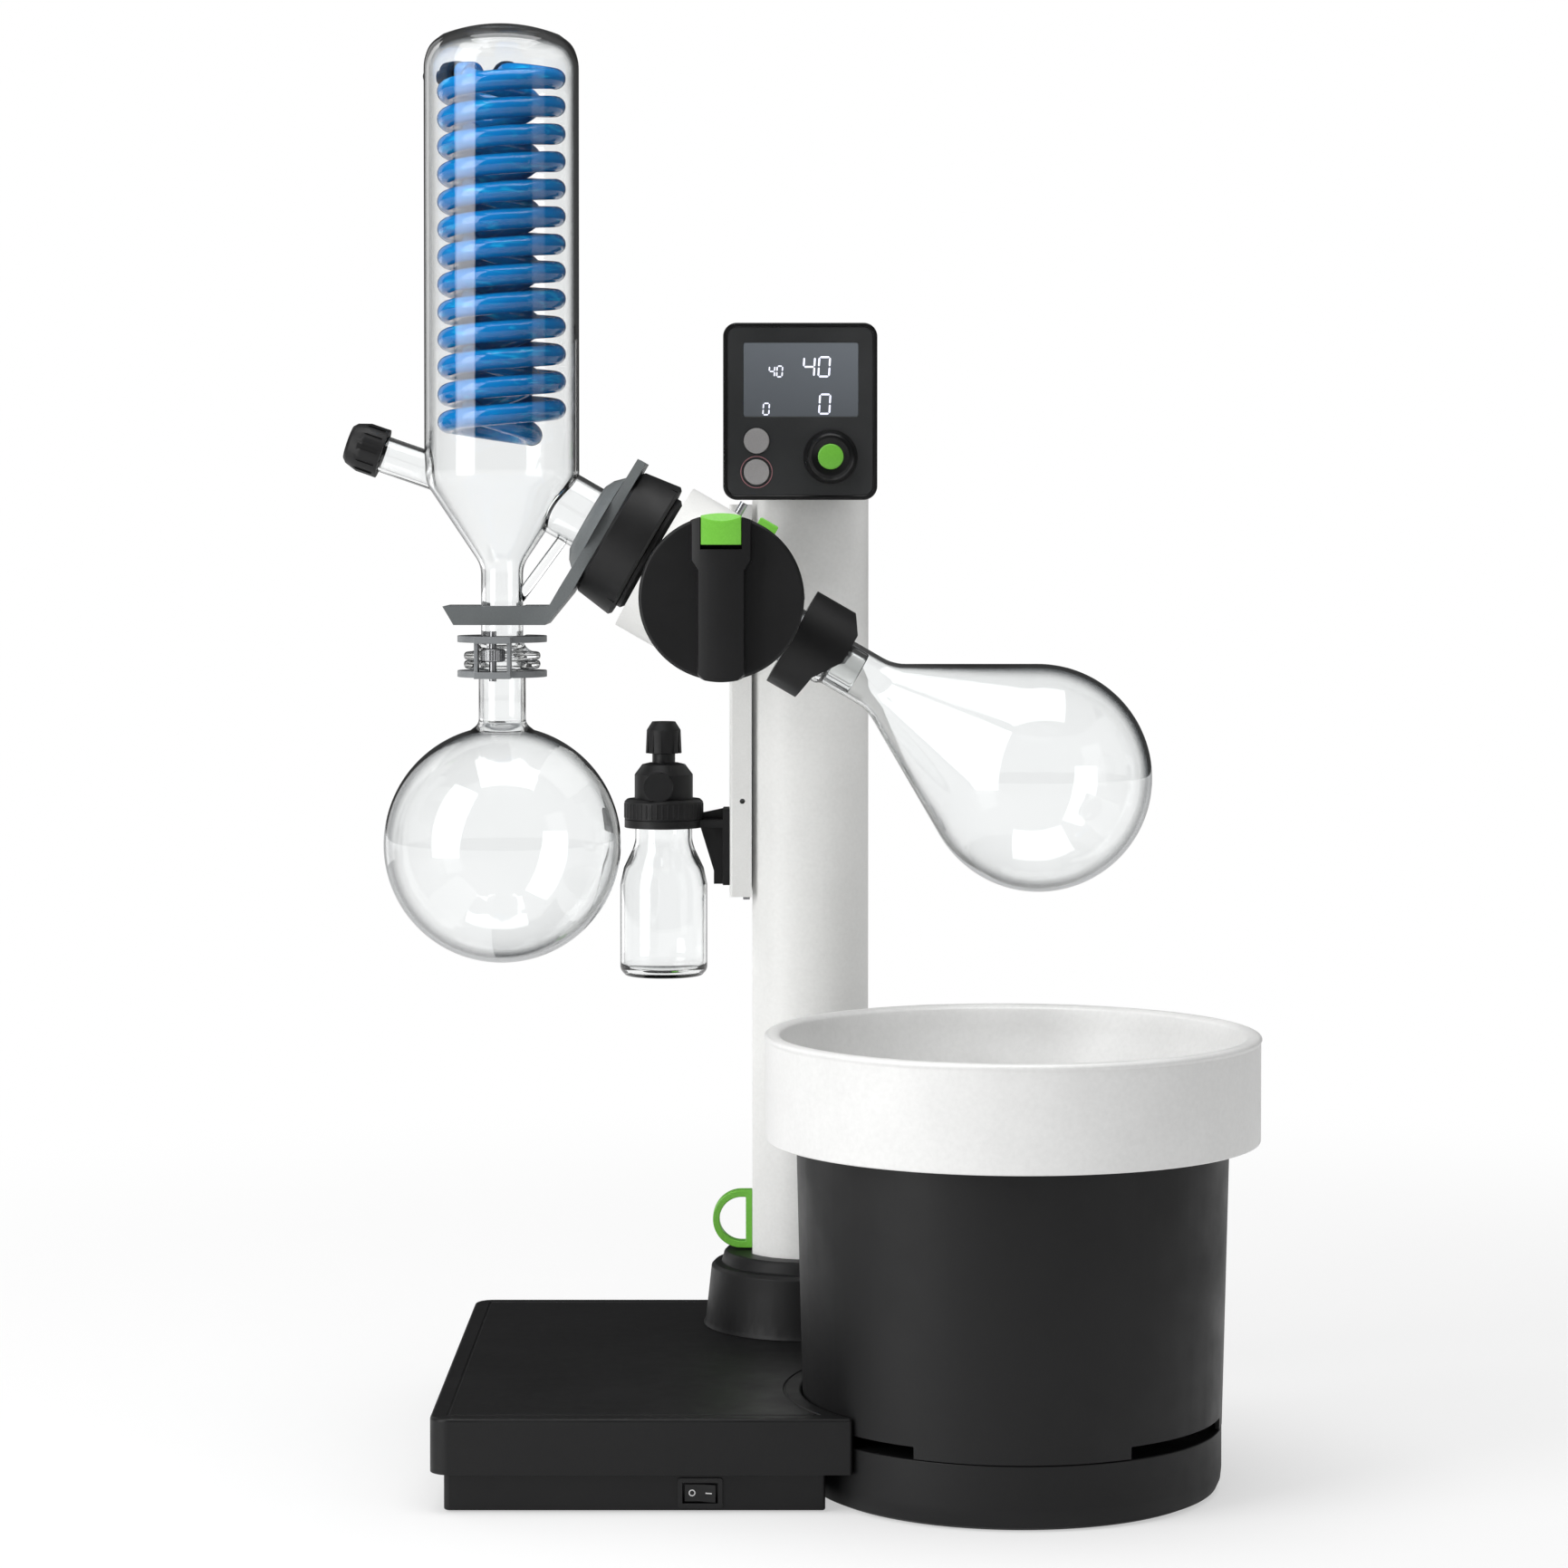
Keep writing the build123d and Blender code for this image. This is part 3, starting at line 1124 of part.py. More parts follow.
# Evaporating flask: a pear bulb whose cone runs tangent to the ball
APEX = FLASK_S - FLASK_RADIUS / sin(radians(FLASK_CONE))
INNER_RADIUS = FLASK_RADIUS - FLASK_WALL
INNER_APEX = FLASK_S - INNER_RADIUS / sin(radians(FLASK_CONE))
NECK_BORE = NECK_RADIUS - FLASK_WALL
with BuildPart() as evaporating_flask:
    blown(
        [
            (NECK_MOUTH, 0),
            (NECK_MOUTH, NECK_BEAD),
            (NECK_MOUTH + 6, NECK_BEAD),
            (NECK_MOUTH + 8, NECK_RADIUS),
            (APEX + NECK_RADIUS / tan(radians(FLASK_CONE)), NECK_RADIUS),
            (FLASK_S - FLASK_RADIUS * sin(radians(FLASK_CONE)), FLASK_RADIUS * cos(radians(FLASK_CONE))),
        ],
        FLASK_S,
        FLASK_RADIUS,
        SPIN_SIDE,
        SPIN_AXIS,
    )
    blown(
        [
            (NECK_MOUTH, 0),
            (NECK_MOUTH, NECK_BORE),
            (INNER_APEX + NECK_BORE / tan(radians(FLASK_CONE)), NECK_BORE),
            (FLASK_S - INNER_RADIUS * sin(radians(FLASK_CONE)), INNER_RADIUS * cos(radians(FLASK_CONE))),
        ],
        FLASK_S,
        INNER_RADIUS,
        SPIN_SIDE,
        SPIN_AXIS,
        Mode.SUBTRACT,
    )
evaporating_flask.part.label = "evaporating_flask"

# Glass vapour duct through the spindle, with a ground cone in the flask's neck
DUCT_START = COLLAR_START + 3.0
DUCT_END = NECK_MOUTH + 24.0
with BuildPart() as vapour_duct:
    spun(
        [
            (DUCT_START, DUCT_RADIUS - DUCT_WALL),
            (DUCT_START, DUCT_RADIUS),
            (SPINDLE_END + 1, DUCT_RADIUS),
            (SPINDLE_END + 3, NECK_BORE - CLEAR),
            (DUCT_END - 2, NECK_BORE - CLEAR),
            (DUCT_END, NECK_BORE - 2 * CLEAR),
            (DUCT_END, DUCT_RADIUS - DUCT_WALL),
        ],
        SPIN_SIDE,
        SPIN_AXIS,
    )
vapour_duct.part.label = "vapour_duct"

# Threaded collar on the casing, the lip seal inside it, and the nut that clamps the condenser
with BuildPart() as union_collar:
    spun(
        [
            (COLLAR_START, COLLAR_RADIUS - 5.4),
            (COLLAR_START, COLLAR_RADIUS),
            (NUT_END + CLEAR, COLLAR_RADIUS),
            (NUT_END + CLEAR, RING_RADIUS),
            (NUT_END + CLEAR + RING_WIDTH - 0.6, RING_RADIUS),
            (HOUSING_UPPER_END, RING_RADIUS - 3),
            (HOUSING_UPPER_END, COLLAR_RADIUS - 5.4),
        ],
        SPIN_SIDE,
        SPIN_AXIS,
    )
union_collar.part.label = "union_collar"

with BuildPart() as duct_seal:
    spun(
        [
            (COLLAR_START + 0.1, DUCT_RADIUS + RUNNING + 2),
            (COLLAR_START + 0.1, COLLAR_RADIUS - 5.4 - SEAT),
            (COLLAR_START + 8, COLLAR_RADIUS - 5.4 - SEAT),
            (COLLAR_START + 8, DUCT_RADIUS + RUNNING),
            (COLLAR_START + 5, DUCT_RADIUS + RUNNING),
        ],
        SPIN_SIDE,
        SPIN_AXIS,
    )
duct_seal.part.label = "duct_seal"

with BuildPart() as union_nut:
    spun(
        [
            (NUT_START, ARM_RADIUS + 1.0),
            (NUT_START, NUT_RADIUS_FAR - 1.5),
            (NUT_START + 1.5, NUT_RADIUS_FAR),
            (NUT_END - 1.5, NUT_RADIUS_NEAR),
            (NUT_END, NUT_RADIUS_NEAR - 1.5),
            (NUT_END, COLLAR_RADIUS + CLEAR),
            (NUT_START + NUT_WALL, COLLAR_RADIUS + CLEAR),
            (NUT_START + NUT_WALL, ARM_RADIUS + 1.0),
        ],
        SPIN_SIDE,
        SPIN_AXIS,
    )
    for turn in range(3):
        with BuildSketch(across(NUT_START + 1.5)):
            with PolarLocations(NUT_RADIUS_NEAR + 0.6, 1, 90 + 23 + turn * 120):
                Rectangle(2.4, 1.2)
        extrude(amount=NUT_END - NUT_START, mode=Mode.SUBTRACT)
union_nut.part.label = "union_nut"

# Condenser jacket: one glass body with its side arm, port, nipples and drain tube
JACKET_BORE = JACKET_RADIUS - JACKET_WALL
PORT_DIR = Vector(-cos(radians(PORT_TILT)), 0, sin(radians(PORT_TILT)))
PORT_ROOT = Vector(CONDENSER_X, 0, PORT_Z)
PORT_END = PORT_CAP_START + PORT_CAP_LENGTH - 6
ARM_FLANGE = 31.0
ARM_END = COLLAR_START - CLEAR
NIPPLE_PLANES = [
    Plane(
        origin=(CONDENSER_X, 0, NIPPLE_Z),
        x_dir=(0, 0, 1),
        z_dir=(cos(radians(angle)), sin(radians(angle)), 0),
    )
    for angle in NIPPLE_ANGLES
]
DOWN = Vector(-sin(radians(SPIN_TILT)), 0, -cos(radians(SPIN_TILT)))
DRAIN_TOP = HEAD + SPIN * (NUT_START - 20) + DOWN * (ARM_RADIUS - 1)
DRAIN_FOOT = Vector(CONDENSER_X + JACKET_NECK - 2, 0, TRAY_HIGH + 4)
with BuildPart() as condenser_jacket:
    with BuildSketch(upright(CONDENSER_X, 0)) as jacket_outline:
        with BuildLine():
            Polyline((0, JOINT_Z + 0.1), (JOINT_RADIUS, JOINT_Z + 0.1))
            Polyline(
                (JOINT_RADIUS, JOINT_Z + 0.1),
                (JOINT_RADIUS, JOINT_Z + JOINT_THICK),
                (BALL_RADIUS, JOINT_Z + JOINT_THICK),
                (JACKET_NECK, JOINT_Z + JOINT_THICK + 5),
                (JACKET_NECK, JACKET_CONE_BOTTOM),
                (JACKET_RADIUS, JACKET_CONE_TOP),
                (JACKET_RADIUS, JACKET_SHOULDER - 6),
            )
            ThreePointArc(
                (JACKET_RADIUS, JACKET_SHOULDER - 6),
                (JACKET_RADIUS - 3.2, JACKET_SHOULDER + 2.6),
                (JACKET_RADIUS - 10, JACKET_SHOULDER + 7.6),
            )
            ThreePointArc(*dome_arc(JACKET_RADIUS - 10, JACKET_SHOULDER + 7.6, JACKET_TOP))
            Line((0, JACKET_TOP), (0, JOINT_Z + 0.1))
        make_face()
    revolve(axis=CONDENSER_AXIS)
    spun(
        [
            (-120, 0),
            (-120, ARM_RADIUS),
            (ARM_END - 5.4, ARM_RADIUS),
            (ARM_END - 5.4, ARM_FLANGE),
            (ARM_END, ARM_FLANGE),
            (ARM_END, 0),
        ],
        SPIN_SIDE,
        SPIN_AXIS,
    )
    with BuildSketch(Plane(origin=PORT_ROOT, x_dir=(0, 1, 0), z_dir=PORT_DIR).offset(JACKET_BORE - 6)):
        Circle(PORT_RADIUS)
    extrude(amount=PORT_END - JACKET_BORE + 6)
    for nipple_plane in NIPPLE_PLANES:
        with BuildSketch(nipple_plane.offset(JACKET_BORE - 1)):
            Circle(NIPPLE_RADIUS)
        extrude(amount=NIPPLE_REACH - JACKET_BORE + 1)
    with BuildSketch(Plane(origin=DRAIN_FOOT, z_dir=DRAIN_TOP - DRAIN_FOOT)):
        Circle(3)
    extrude(amount=(DRAIN_TOP - DRAIN_FOOT).length)
    with BuildSketch(upright(CONDENSER_X, 0)):
        with BuildLine():
            Polyline(
                (0, JOINT_Z),
                (JACKET_NECK - 2, JOINT_Z),
                (JACKET_NECK - 2, JACKET_CONE_BOTTOM + 1),
                (JACKET_BORE, JACKET_CONE_TOP + 1),
                (JACKET_BORE, JACKET_SHOULDER - 7),
            )
            ThreePointArc(
                (JACKET_BORE, JACKET_SHOULDER - 7),
                (JACKET_BORE - 3.2, JACKET_SHOULDER + 0.4),
                (JACKET_BORE - 9, JACKET_SHOULDER + 4.6),
            )
            ThreePointArc(*dome_arc(JACKET_BORE - 9, JACKET_SHOULDER + 4.6, JACKET_TOP - JACKET_WALL))
            Line((0, JACKET_TOP - JACKET_WALL), (0, JOINT_Z))
        make_face()
    revolve(axis=CONDENSER_AXIS, mode=Mode.SUBTRACT)
    with BuildSketch(across(-125)):
        Circle(ARM_RADIUS - 2)
    extrude(amount=ARM_END + 125, mode=Mode.SUBTRACT)
    with BuildSketch(Plane(origin=PORT_ROOT, x_dir=(0, 1, 0), z_dir=PORT_DIR).offset(JACKET_BORE - 8)):
        Circle(PORT_RADIUS - 2)
    extrude(amount=PORT_END - JACKET_BORE + 8, mode=Mode.SUBTRACT)
    for nipple_plane in NIPPLE_PLANES:
        with BuildSketch(nipple_plane.offset(JACKET_BORE - 3)):
            Circle(NIPPLE_RADIUS - 1.5)
        extrude(amount=NIPPLE_REACH - JACKET_BORE + 3, mode=Mode.SUBTRACT)
condenser_jacket.part.label = "condenser_jacket"

# Screw cap on the condenser's side port, with ribs round its skirt
PORT_AXIS = Axis(PORT_ROOT, PORT_DIR)
PORT_SIDE = Plane(origin=PORT_ROOT, x_dir=PORT_DIR, z_dir=(0, -1, 0))
with BuildPart() as port_cap:
    spun(
        [
            (PORT_CAP_START, PORT_RADIUS + 0.2),
            (PORT_CAP_START, PORT_CAP_RADIUS),
            (PORT_CAP_START + 11, PORT_CAP_RADIUS),
            (PORT_CAP_START + PORT_CAP_LENGTH - 2, PORT_CAP_RADIUS - 2.4),
            (PORT_CAP_START + PORT_CAP_LENGTH, PORT_CAP_RADIUS - 4.5),
            (PORT_CAP_START + PORT_CAP_LENGTH, 0),
            (PORT_END + CLEAR, 0),
            (PORT_END + CLEAR, PORT_RADIUS + 0.2),
        ],
        PORT_SIDE,
        PORT_AXIS,
    )
    with BuildSketch(Plane(origin=PORT_ROOT, x_dir=(0, 1, 0), z_dir=PORT_DIR).offset(PORT_CAP_START + 2)):
        with PolarLocations(PORT_CAP_RADIUS, 12):
            Rectangle(1.6, 2.6)
    extrude(amount=PORT_CAP_LENGTH, mode=Mode.SUBTRACT)
port_cap.part.label = "port_cap"


def coil_arcs(radius: float, pitch: float, halves: int, bottom: float, side: int, hand: int) -> list:
    """Half turns of a coil as (start, middle, end) points: hand is 1 for right, -1 for left."""
    reach = sqrt(radius**2 + (pitch / 4) ** 2)
    arcs = []
    for half in range(halves):
        low = bottom + half * pitch / 2
        start = (CONDENSER_X + side * radius, 0, low)
        middle = (CONDENSER_X, side * hand * reach, low + pitch / 4)
        end = (CONDENSER_X - side * radius, 0, low + pitch / 2)
        arcs.append((start, middle, end))
        side = -side
    return arcs


# Cooling coils: the outer one rises right-handed, the inner one left-handed from the same bend
OUTER_ARCS = coil_arcs(COIL_RADIUS, COIL_PITCH, COIL_HALF_TURNS, COIL_BOTTOM, -1, 1)
INNER_ARCS = coil_arcs(INNER_COIL_RADIUS, INNER_COIL_PITCH, INNER_COIL_HALF_TURNS, INNER_COIL_BOTTOM, 1, -1)
RISER_END = sqrt((JACKET_RADIUS - JACKET_WALL) ** 2 - COIL_TUBE**2) - 2 * CLEAR
RISER_ENDS = [
    (
        CONDENSER_X + RISER_END * cos(radians(angle)),
        RISER_END * sin(radians(angle)),
        NIPPLE_Z,
    )
    for angle in NIPPLE_ANGLES
]
BEND_MIDDLE = (
    CONDENSER_X + (INNER_COIL_RADIUS - COIL_RADIUS) / 2,
    (INNER_COIL_RADIUS + COIL_RADIUS) / 2,
    (COIL_BOTTOM + INNER_COIL_BOTTOM) / 2,
)
with BuildPart() as outer_coil:
    with BuildLine() as outer_path:
        ThreePointArc(INNER_ARCS[0][0], BEND_MIDDLE, OUTER_ARCS[0][0])
        for arc_points in OUTER_ARCS:
            ThreePointArc(*arc_points)
        Spline(
            OUTER_ARCS[-1][2],
            RISER_ENDS[1],
            tangents=[(0, 1, 0), NIPPLE_PLANES[1].z_dir],
        )
    with BuildSketch(Plane(origin=INNER_ARCS[0][0], x_dir=(1, 0, 0), z_dir=(0, 1, 0))):
        Circle(COIL_TUBE)
    sweep(path=outer_path.line)
outer_coil.part.label = "outer_coil"

with BuildPart() as inner_coil:
    with BuildLine() as inner_path:
        for arc_points in INNER_ARCS:
            ThreePointArc(*arc_points)
        Spline(
            INNER_ARCS[-1][2],
            RISER_ENDS[0],
            tangents=[(0, 1, 0), NIPPLE_PLANES[0].z_dir],
        )
    with BuildSketch(Plane(origin=INNER_ARCS[0][0], x_dir=(1, 0, 0), z_dir=(0, -1, 0))):
        Circle(COIL_TUBE)
    sweep(path=inner_path.line)
inner_coil.part.label = "inner_coil"

# Hose connectors: a screw cap with a straight nozzle on each nipple
with BuildPart() as hose_connectors:
    for nipple_plane in NIPPLE_PLANES:
        out = nipple_plane.z_dir
        side = Plane(origin=nipple_plane.origin, x_dir=out, z_dir=(0, 0, 1))
        spun(
            [
                (JACKET_RADIUS + 1.0, NIPPLE_RADIUS + 0.1),
                (JACKET_RADIUS + 1.0, HOSE_CAP_RADIUS),
                (JACKET_RADIUS + HOSE_CAP_LENGTH, HOSE_CAP_RADIUS),
                (JACKET_RADIUS + HOSE_CAP_LENGTH + 1, HOSE_CAP_RADIUS - 1),
                (JACKET_RADIUS + HOSE_CAP_LENGTH + 1, BARB_RADIUS),
                (JACKET_RADIUS + HOSE_CAP_LENGTH + 1 + BARB_LENGTH, BARB_RADIUS),
                (JACKET_RADIUS + HOSE_CAP_LENGTH + 1 + BARB_LENGTH, BARB_RADIUS - 1.6),
                (NIPPLE_REACH + 0.1, BARB_RADIUS - 1.6),
                (NIPPLE_REACH + 0.1, NIPPLE_RADIUS + 0.1),
            ],
            side,
            Axis(nipple_plane.origin, out),
        )
hose_connectors.part.label = "hose_connectors"

# Condenser bracket: a blade against the nut, its domed boss, and a leg down to the tray
BLADE_END = NUT_START - CLEAR
BLADE_START = BLADE_END - BRACKET_THICK
LEG_INNER = HEAD + SPIN * BLADE_START + DOWN * 40
LEG_OUTER = HEAD + SPIN * BLADE_END + DOWN * 40
TRAY_RIGHT = LEG_OUTER.X - (LEG_OUTER.Z - TRAY_LOW) * tan(radians(SPIN_TILT)) - 4
BLADE_TOP = 42.0
with BuildPart() as condenser_bracket:
    with BuildSketch(facing(BRACKET_WIDTH / 2)) as bracket_side:
        with BuildLine():
            top_inner = HEAD + SPIN * (BLADE_START + 2) - DOWN * BLADE_TOP
            top_outer = HEAD + SPIN * BLADE_END - DOWN * BLADE_TOP
            Polyline(
                (top_inner.X, top_inner.Z),
                (LEG_INNER.X, LEG_INNER.Z),
                (LEG_INNER.X - (LEG_INNER.Z - TRAY_HIGH) * tan(radians(SPIN_TILT)), TRAY_HIGH),
                (TRAY_LEFT, TRAY_HIGH),
                (TRAY_LEFT + 6, TRAY_LOW),
                (TRAY_RIGHT, TRAY_LOW),
                (LEG_OUTER.X, LEG_OUTER.Z),
                (top_outer.X, top_outer.Z),
                close=True,
            )
        make_face()
    extrude(amount=BRACKET_WIDTH)
    spun(
        [
            (BLADE_START + 1, 0),
            (BLADE_START + 1, 30),
            (BLADE_START - 4, 25),
            (BLADE_START - 6.6, 20),
            (BLADE_START - 6.6, 0),
        ],
        SPIN_SIDE,
        SPIN_AXIS,
    )
    with BuildSketch(across(BLADE_START - 10)):
        Circle(ARM_RADIUS + CLEAR)
    extrude(amount=30, mode=Mode.SUBTRACT)
    with BuildSketch(Plane.XY.offset(TRAY_LOW - 1)):
        with Locations((CONDENSER_X, 0)):
            Circle(JACKET_NECK + CLEAR)
        with Locations((CONDENSER_X, BRACKET_WIDTH / 4 + 1)):
            Rectangle(2 * (JACKET_NECK + CLEAR), BRACKET_WIDTH / 2 + 2)
    extrude(amount=TRAY_HIGH - TRAY_LOW + 2, mode=Mode.SUBTRACT)
condenser_bracket.part.label = "condenser_bracket"

# Receiving flask: a round bulb hung by its ball joint
RECEIVER_PLANE = Plane(origin=(CONDENSER_X, 0, 0), x_dir=(0, 0, -1), z_dir=(0, -1, 0))
RECEIVER_BORE = RECEIVER_NECK - FLASK_WALL
NECK_FLARE = 19.0
FLARE_DROP = sqrt(RECEIVER_RADIUS**2 - NECK_FLARE**2)
BORE_DROP = sqrt((RECEIVER_RADIUS - FLASK_WALL) ** 2 - RECEIVER_BORE**2)
with BuildPart() as receiving_flask:
    blown(
        [
            (-JOINT_Z + 0.1, 0),
            (-JOINT_Z + 0.1, JOINT_RADIUS),
            (-JOINT_Z + JOINT_THICK, JOINT_RADIUS),
            (-JOINT_Z + JOINT_THICK + 0.8, RECEIVER_NECK),
            (-RECEIVER_Z - FLARE_DROP - 6, RECEIVER_NECK),
            (-RECEIVER_Z - FLARE_DROP - 2, RECEIVER_NECK + 1.6),
            (-RECEIVER_Z - FLARE_DROP, NECK_FLARE),
        ],
        -RECEIVER_Z,
        RECEIVER_RADIUS,
        RECEIVER_PLANE,
        CONDENSER_AXIS,
    )
    blown(
        [
            (-JOINT_Z + 0.1, 0),
            (-JOINT_Z + 0.1, RECEIVER_BORE),
            (-RECEIVER_Z - BORE_DROP, RECEIVER_BORE),
        ],
        -RECEIVER_Z,
        RECEIVER_RADIUS - FLASK_WALL,
        RECEIVER_PLANE,
        CONDENSER_AXIS,
        Mode.SUBTRACT,
    )
receiving_flask.part.label = "receiving_flask"

# Joint clamp: two forks, joined in front by a small frame that holds a knurled screw
FORK_LEVELS = (JOINT_Z + JOINT_THICK + 5.4, JOINT_Z - JOINT_THICK - 0.8 - CLEAR - FORK_THICK)
CLAMP_SCREW_X = CONDENSER_X - 3.0
CLAMP_SCREW_Y = -JOINT_RADIUS - WHEEL_RADIUS - 3.0
CLAMP_HEIGHT = FORK_LEVELS[0] + FORK_THICK - FORK_LEVELS[1]
with BuildPart() as joint_clamp:
    for level, gap in zip(FORK_LEVELS, (JACKET_NECK, RECEIVER_NECK)):
        with BuildSketch(Plane.XY.offset(level)):
            with Locations((CONDENSER_X, 0)):
                Circle(FORK_RADIUS)
            with Locations((CLAMP_SCREW_X, CLAMP_SCREW_Y + WHEEL_RADIUS / 2)):
                Rectangle(2 * WHEEL_RADIUS + 7, 3 * WHEEL_RADIUS)
            with Locations((CONDENSER_X, 0)):
                Circle(gap + CLEAR, mode=Mode.SUBTRACT)
            with Locations((CONDENSER_X, FORK_RADIUS / 2 + 2)):
                Rectangle(2 * (gap + CLEAR), FORK_RADIUS + 4, mode=Mode.SUBTRACT)
            with Locations((CLAMP_SCREW_X, CLAMP_SCREW_Y)):
                Circle(2.0 + RUNNING, mode=Mode.SUBTRACT)
        extrude(amount=FORK_THICK)
    with BuildSketch(Plane.XY.offset(FORK_LEVELS[1])):
        for side in (-1, 1):
            with Locations((CLAMP_SCREW_X + side * (WHEEL_RADIUS + 2.5), CLAMP_SCREW_Y + 1)):
                Rectangle(2.0, 2 * WHEEL_RADIUS)
    extrude(amount=CLAMP_HEIGHT)
joint_clamp.part.label = "joint_clamp"

with BuildPart() as clamp_screw:
    spun(
        [
            (0, FORK_LEVELS[1] - 1.5),
            (2.0, FORK_LEVELS[1] - 1.5),
            (2.0, JOINT_Z),
            (WHEEL_RADIUS - 0.6, JOINT_Z),
            (WHEEL_RADIUS, JOINT_Z + 0.6),
            (WHEEL_RADIUS, JOINT_Z + 6.4),
            (WHEEL_RADIUS - 0.6, JOINT_Z + 7),
            (2.0, JOINT_Z + 7),
            (2.0, FORK_LEVELS[0] + FORK_THICK + 3),
            (0, FORK_LEVELS[0] + FORK_THICK + 3),
        ],
        upright(CLAMP_SCREW_X, CLAMP_SCREW_Y),
        Axis((CLAMP_SCREW_X, CLAMP_SCREW_Y, 0), (0, 0, 1)),
    )
clamp_screw.part.label = "clamp_screw"

# Carriage strip: the channel that hides the rail on the column's left side
with BuildPart() as carriage_cover:
    with BuildSketch(Plane.XY.offset(STRIP_LOW)) as strip_plan:
        with Locations(((STRIP_LEFT + COLUMN_FLAT - CLEAR) / 2, COLUMN_Y)):
            Rectangle(COLUMN_FLAT - CLEAR - STRIP_LEFT, STRIP_BACK - STRIP_FRONT)
        fillet(strip_plan.vertices().group_by(Axis.X)[0], 2)
        with Locations(((STRIP_LEFT + STRIP_WALL + COLUMN_FLAT + 1) / 2, COLUMN_Y)):
            Rectangle(
                COLUMN_FLAT + 1 - STRIP_LEFT - STRIP_WALL,
                STRIP_BACK - STRIP_FRONT - 2 * STRIP_WALL,
                mode=Mode.SUBTRACT,
            )
    extrude(amount=STRIP_HIGH - STRIP_LOW)
    with BuildSketch(facing(STRIP_FRONT - 1)):
        with Locations((STRIP_LEFT + 7.6, 365.8)):
            Circle(1.6)
    extrude(amount=-STRIP_WALL - 2, mode=Mode.SUBTRACT)
carriage_cover.part.label = "carriage_cover"

# Carriage rail: a T-section inside the strip that runs through the guide shoes
with BuildPart() as carriage_rail:
    with BuildSketch(Plane.XY.offset(STRIP_LOW - 3)):
        with Locations((RAIL_RIGHT - RAIL_HEAD_THICK / 2, COLUMN_Y)):
            Rectangle(RAIL_HEAD_THICK, RAIL_HEAD_WIDTH)
    extrude(amount=STRIP_HIGH - STRIP_LOW)
    with BuildSketch(Plane.XY.offset(STRIP_LOW + 1)):
        with Locations(((STRIP_LEFT + STRIP_WALL + RAIL_RIGHT - RAIL_HEAD_THICK) / 2, COLUMN_Y)):
            Rectangle(RAIL_RIGHT - RAIL_HEAD_THICK - STRIP_LEFT - STRIP_WALL, RAIL_WEB_WIDTH)
    extrude(amount=STRIP_HIGH - STRIP_LOW - 4)
carriage_rail.part.label = "carriage_rail"

# Safety bottle, its screw cap with the valve block, the vent stem and knob
with BuildPart() as safety_bottle:
    spun(
        [
            (0, BOTTLE_LOW),
            (BOTTLE_RADIUS - 3, BOTTLE_LOW),
            (BOTTLE_RADIUS, BOTTLE_LOW + 3),
            (BOTTLE_RADIUS, BOTTLE_SHOULDER),
            (BOTTLE_RADIUS - 1.2, BOTTLE_SHOULDER + 7),
            (BOTTLE_RADIUS - 4.5, BOTTLE_SHOULDER + 14),
            (BOTTLE_NECK + 1.0, BOTTLE_NECK_Z - 3),
            (BOTTLE_NECK, BOTTLE_NECK_Z),
            (BOTTLE_NECK, CAP_HIGH - 4),
            (0, CAP_HIGH - 4),
        ],
        upright(BOTTLE_X, BOTTLE_Y),
        BOTTLE_AXIS,
    )
    spun(
        [
            (0, BOTTLE_LOW + BOTTLE_WALL),
            (BOTTLE_RADIUS - 4, BOTTLE_LOW + BOTTLE_WALL),
            (BOTTLE_RADIUS - BOTTLE_WALL, BOTTLE_LOW + 4),
            (BOTTLE_RADIUS - BOTTLE_WALL, BOTTLE_SHOULDER),
            (BOTTLE_RADIUS - 3.2, BOTTLE_SHOULDER + 6.5),
            (BOTTLE_RADIUS - 6.4, BOTTLE_SHOULDER + 13),
            (BOTTLE_NECK - BOTTLE_WALL, BOTTLE_NECK_Z - 1),
            (BOTTLE_NECK - BOTTLE_WALL, CAP_HIGH - 3),
            (0, CAP_HIGH - 3),
        ],
        upright(BOTTLE_X, BOTTLE_Y),
        BOTTLE_AXIS,
        Mode.SUBTRACT,
    )
safety_bottle.part.label = "safety_bottle"

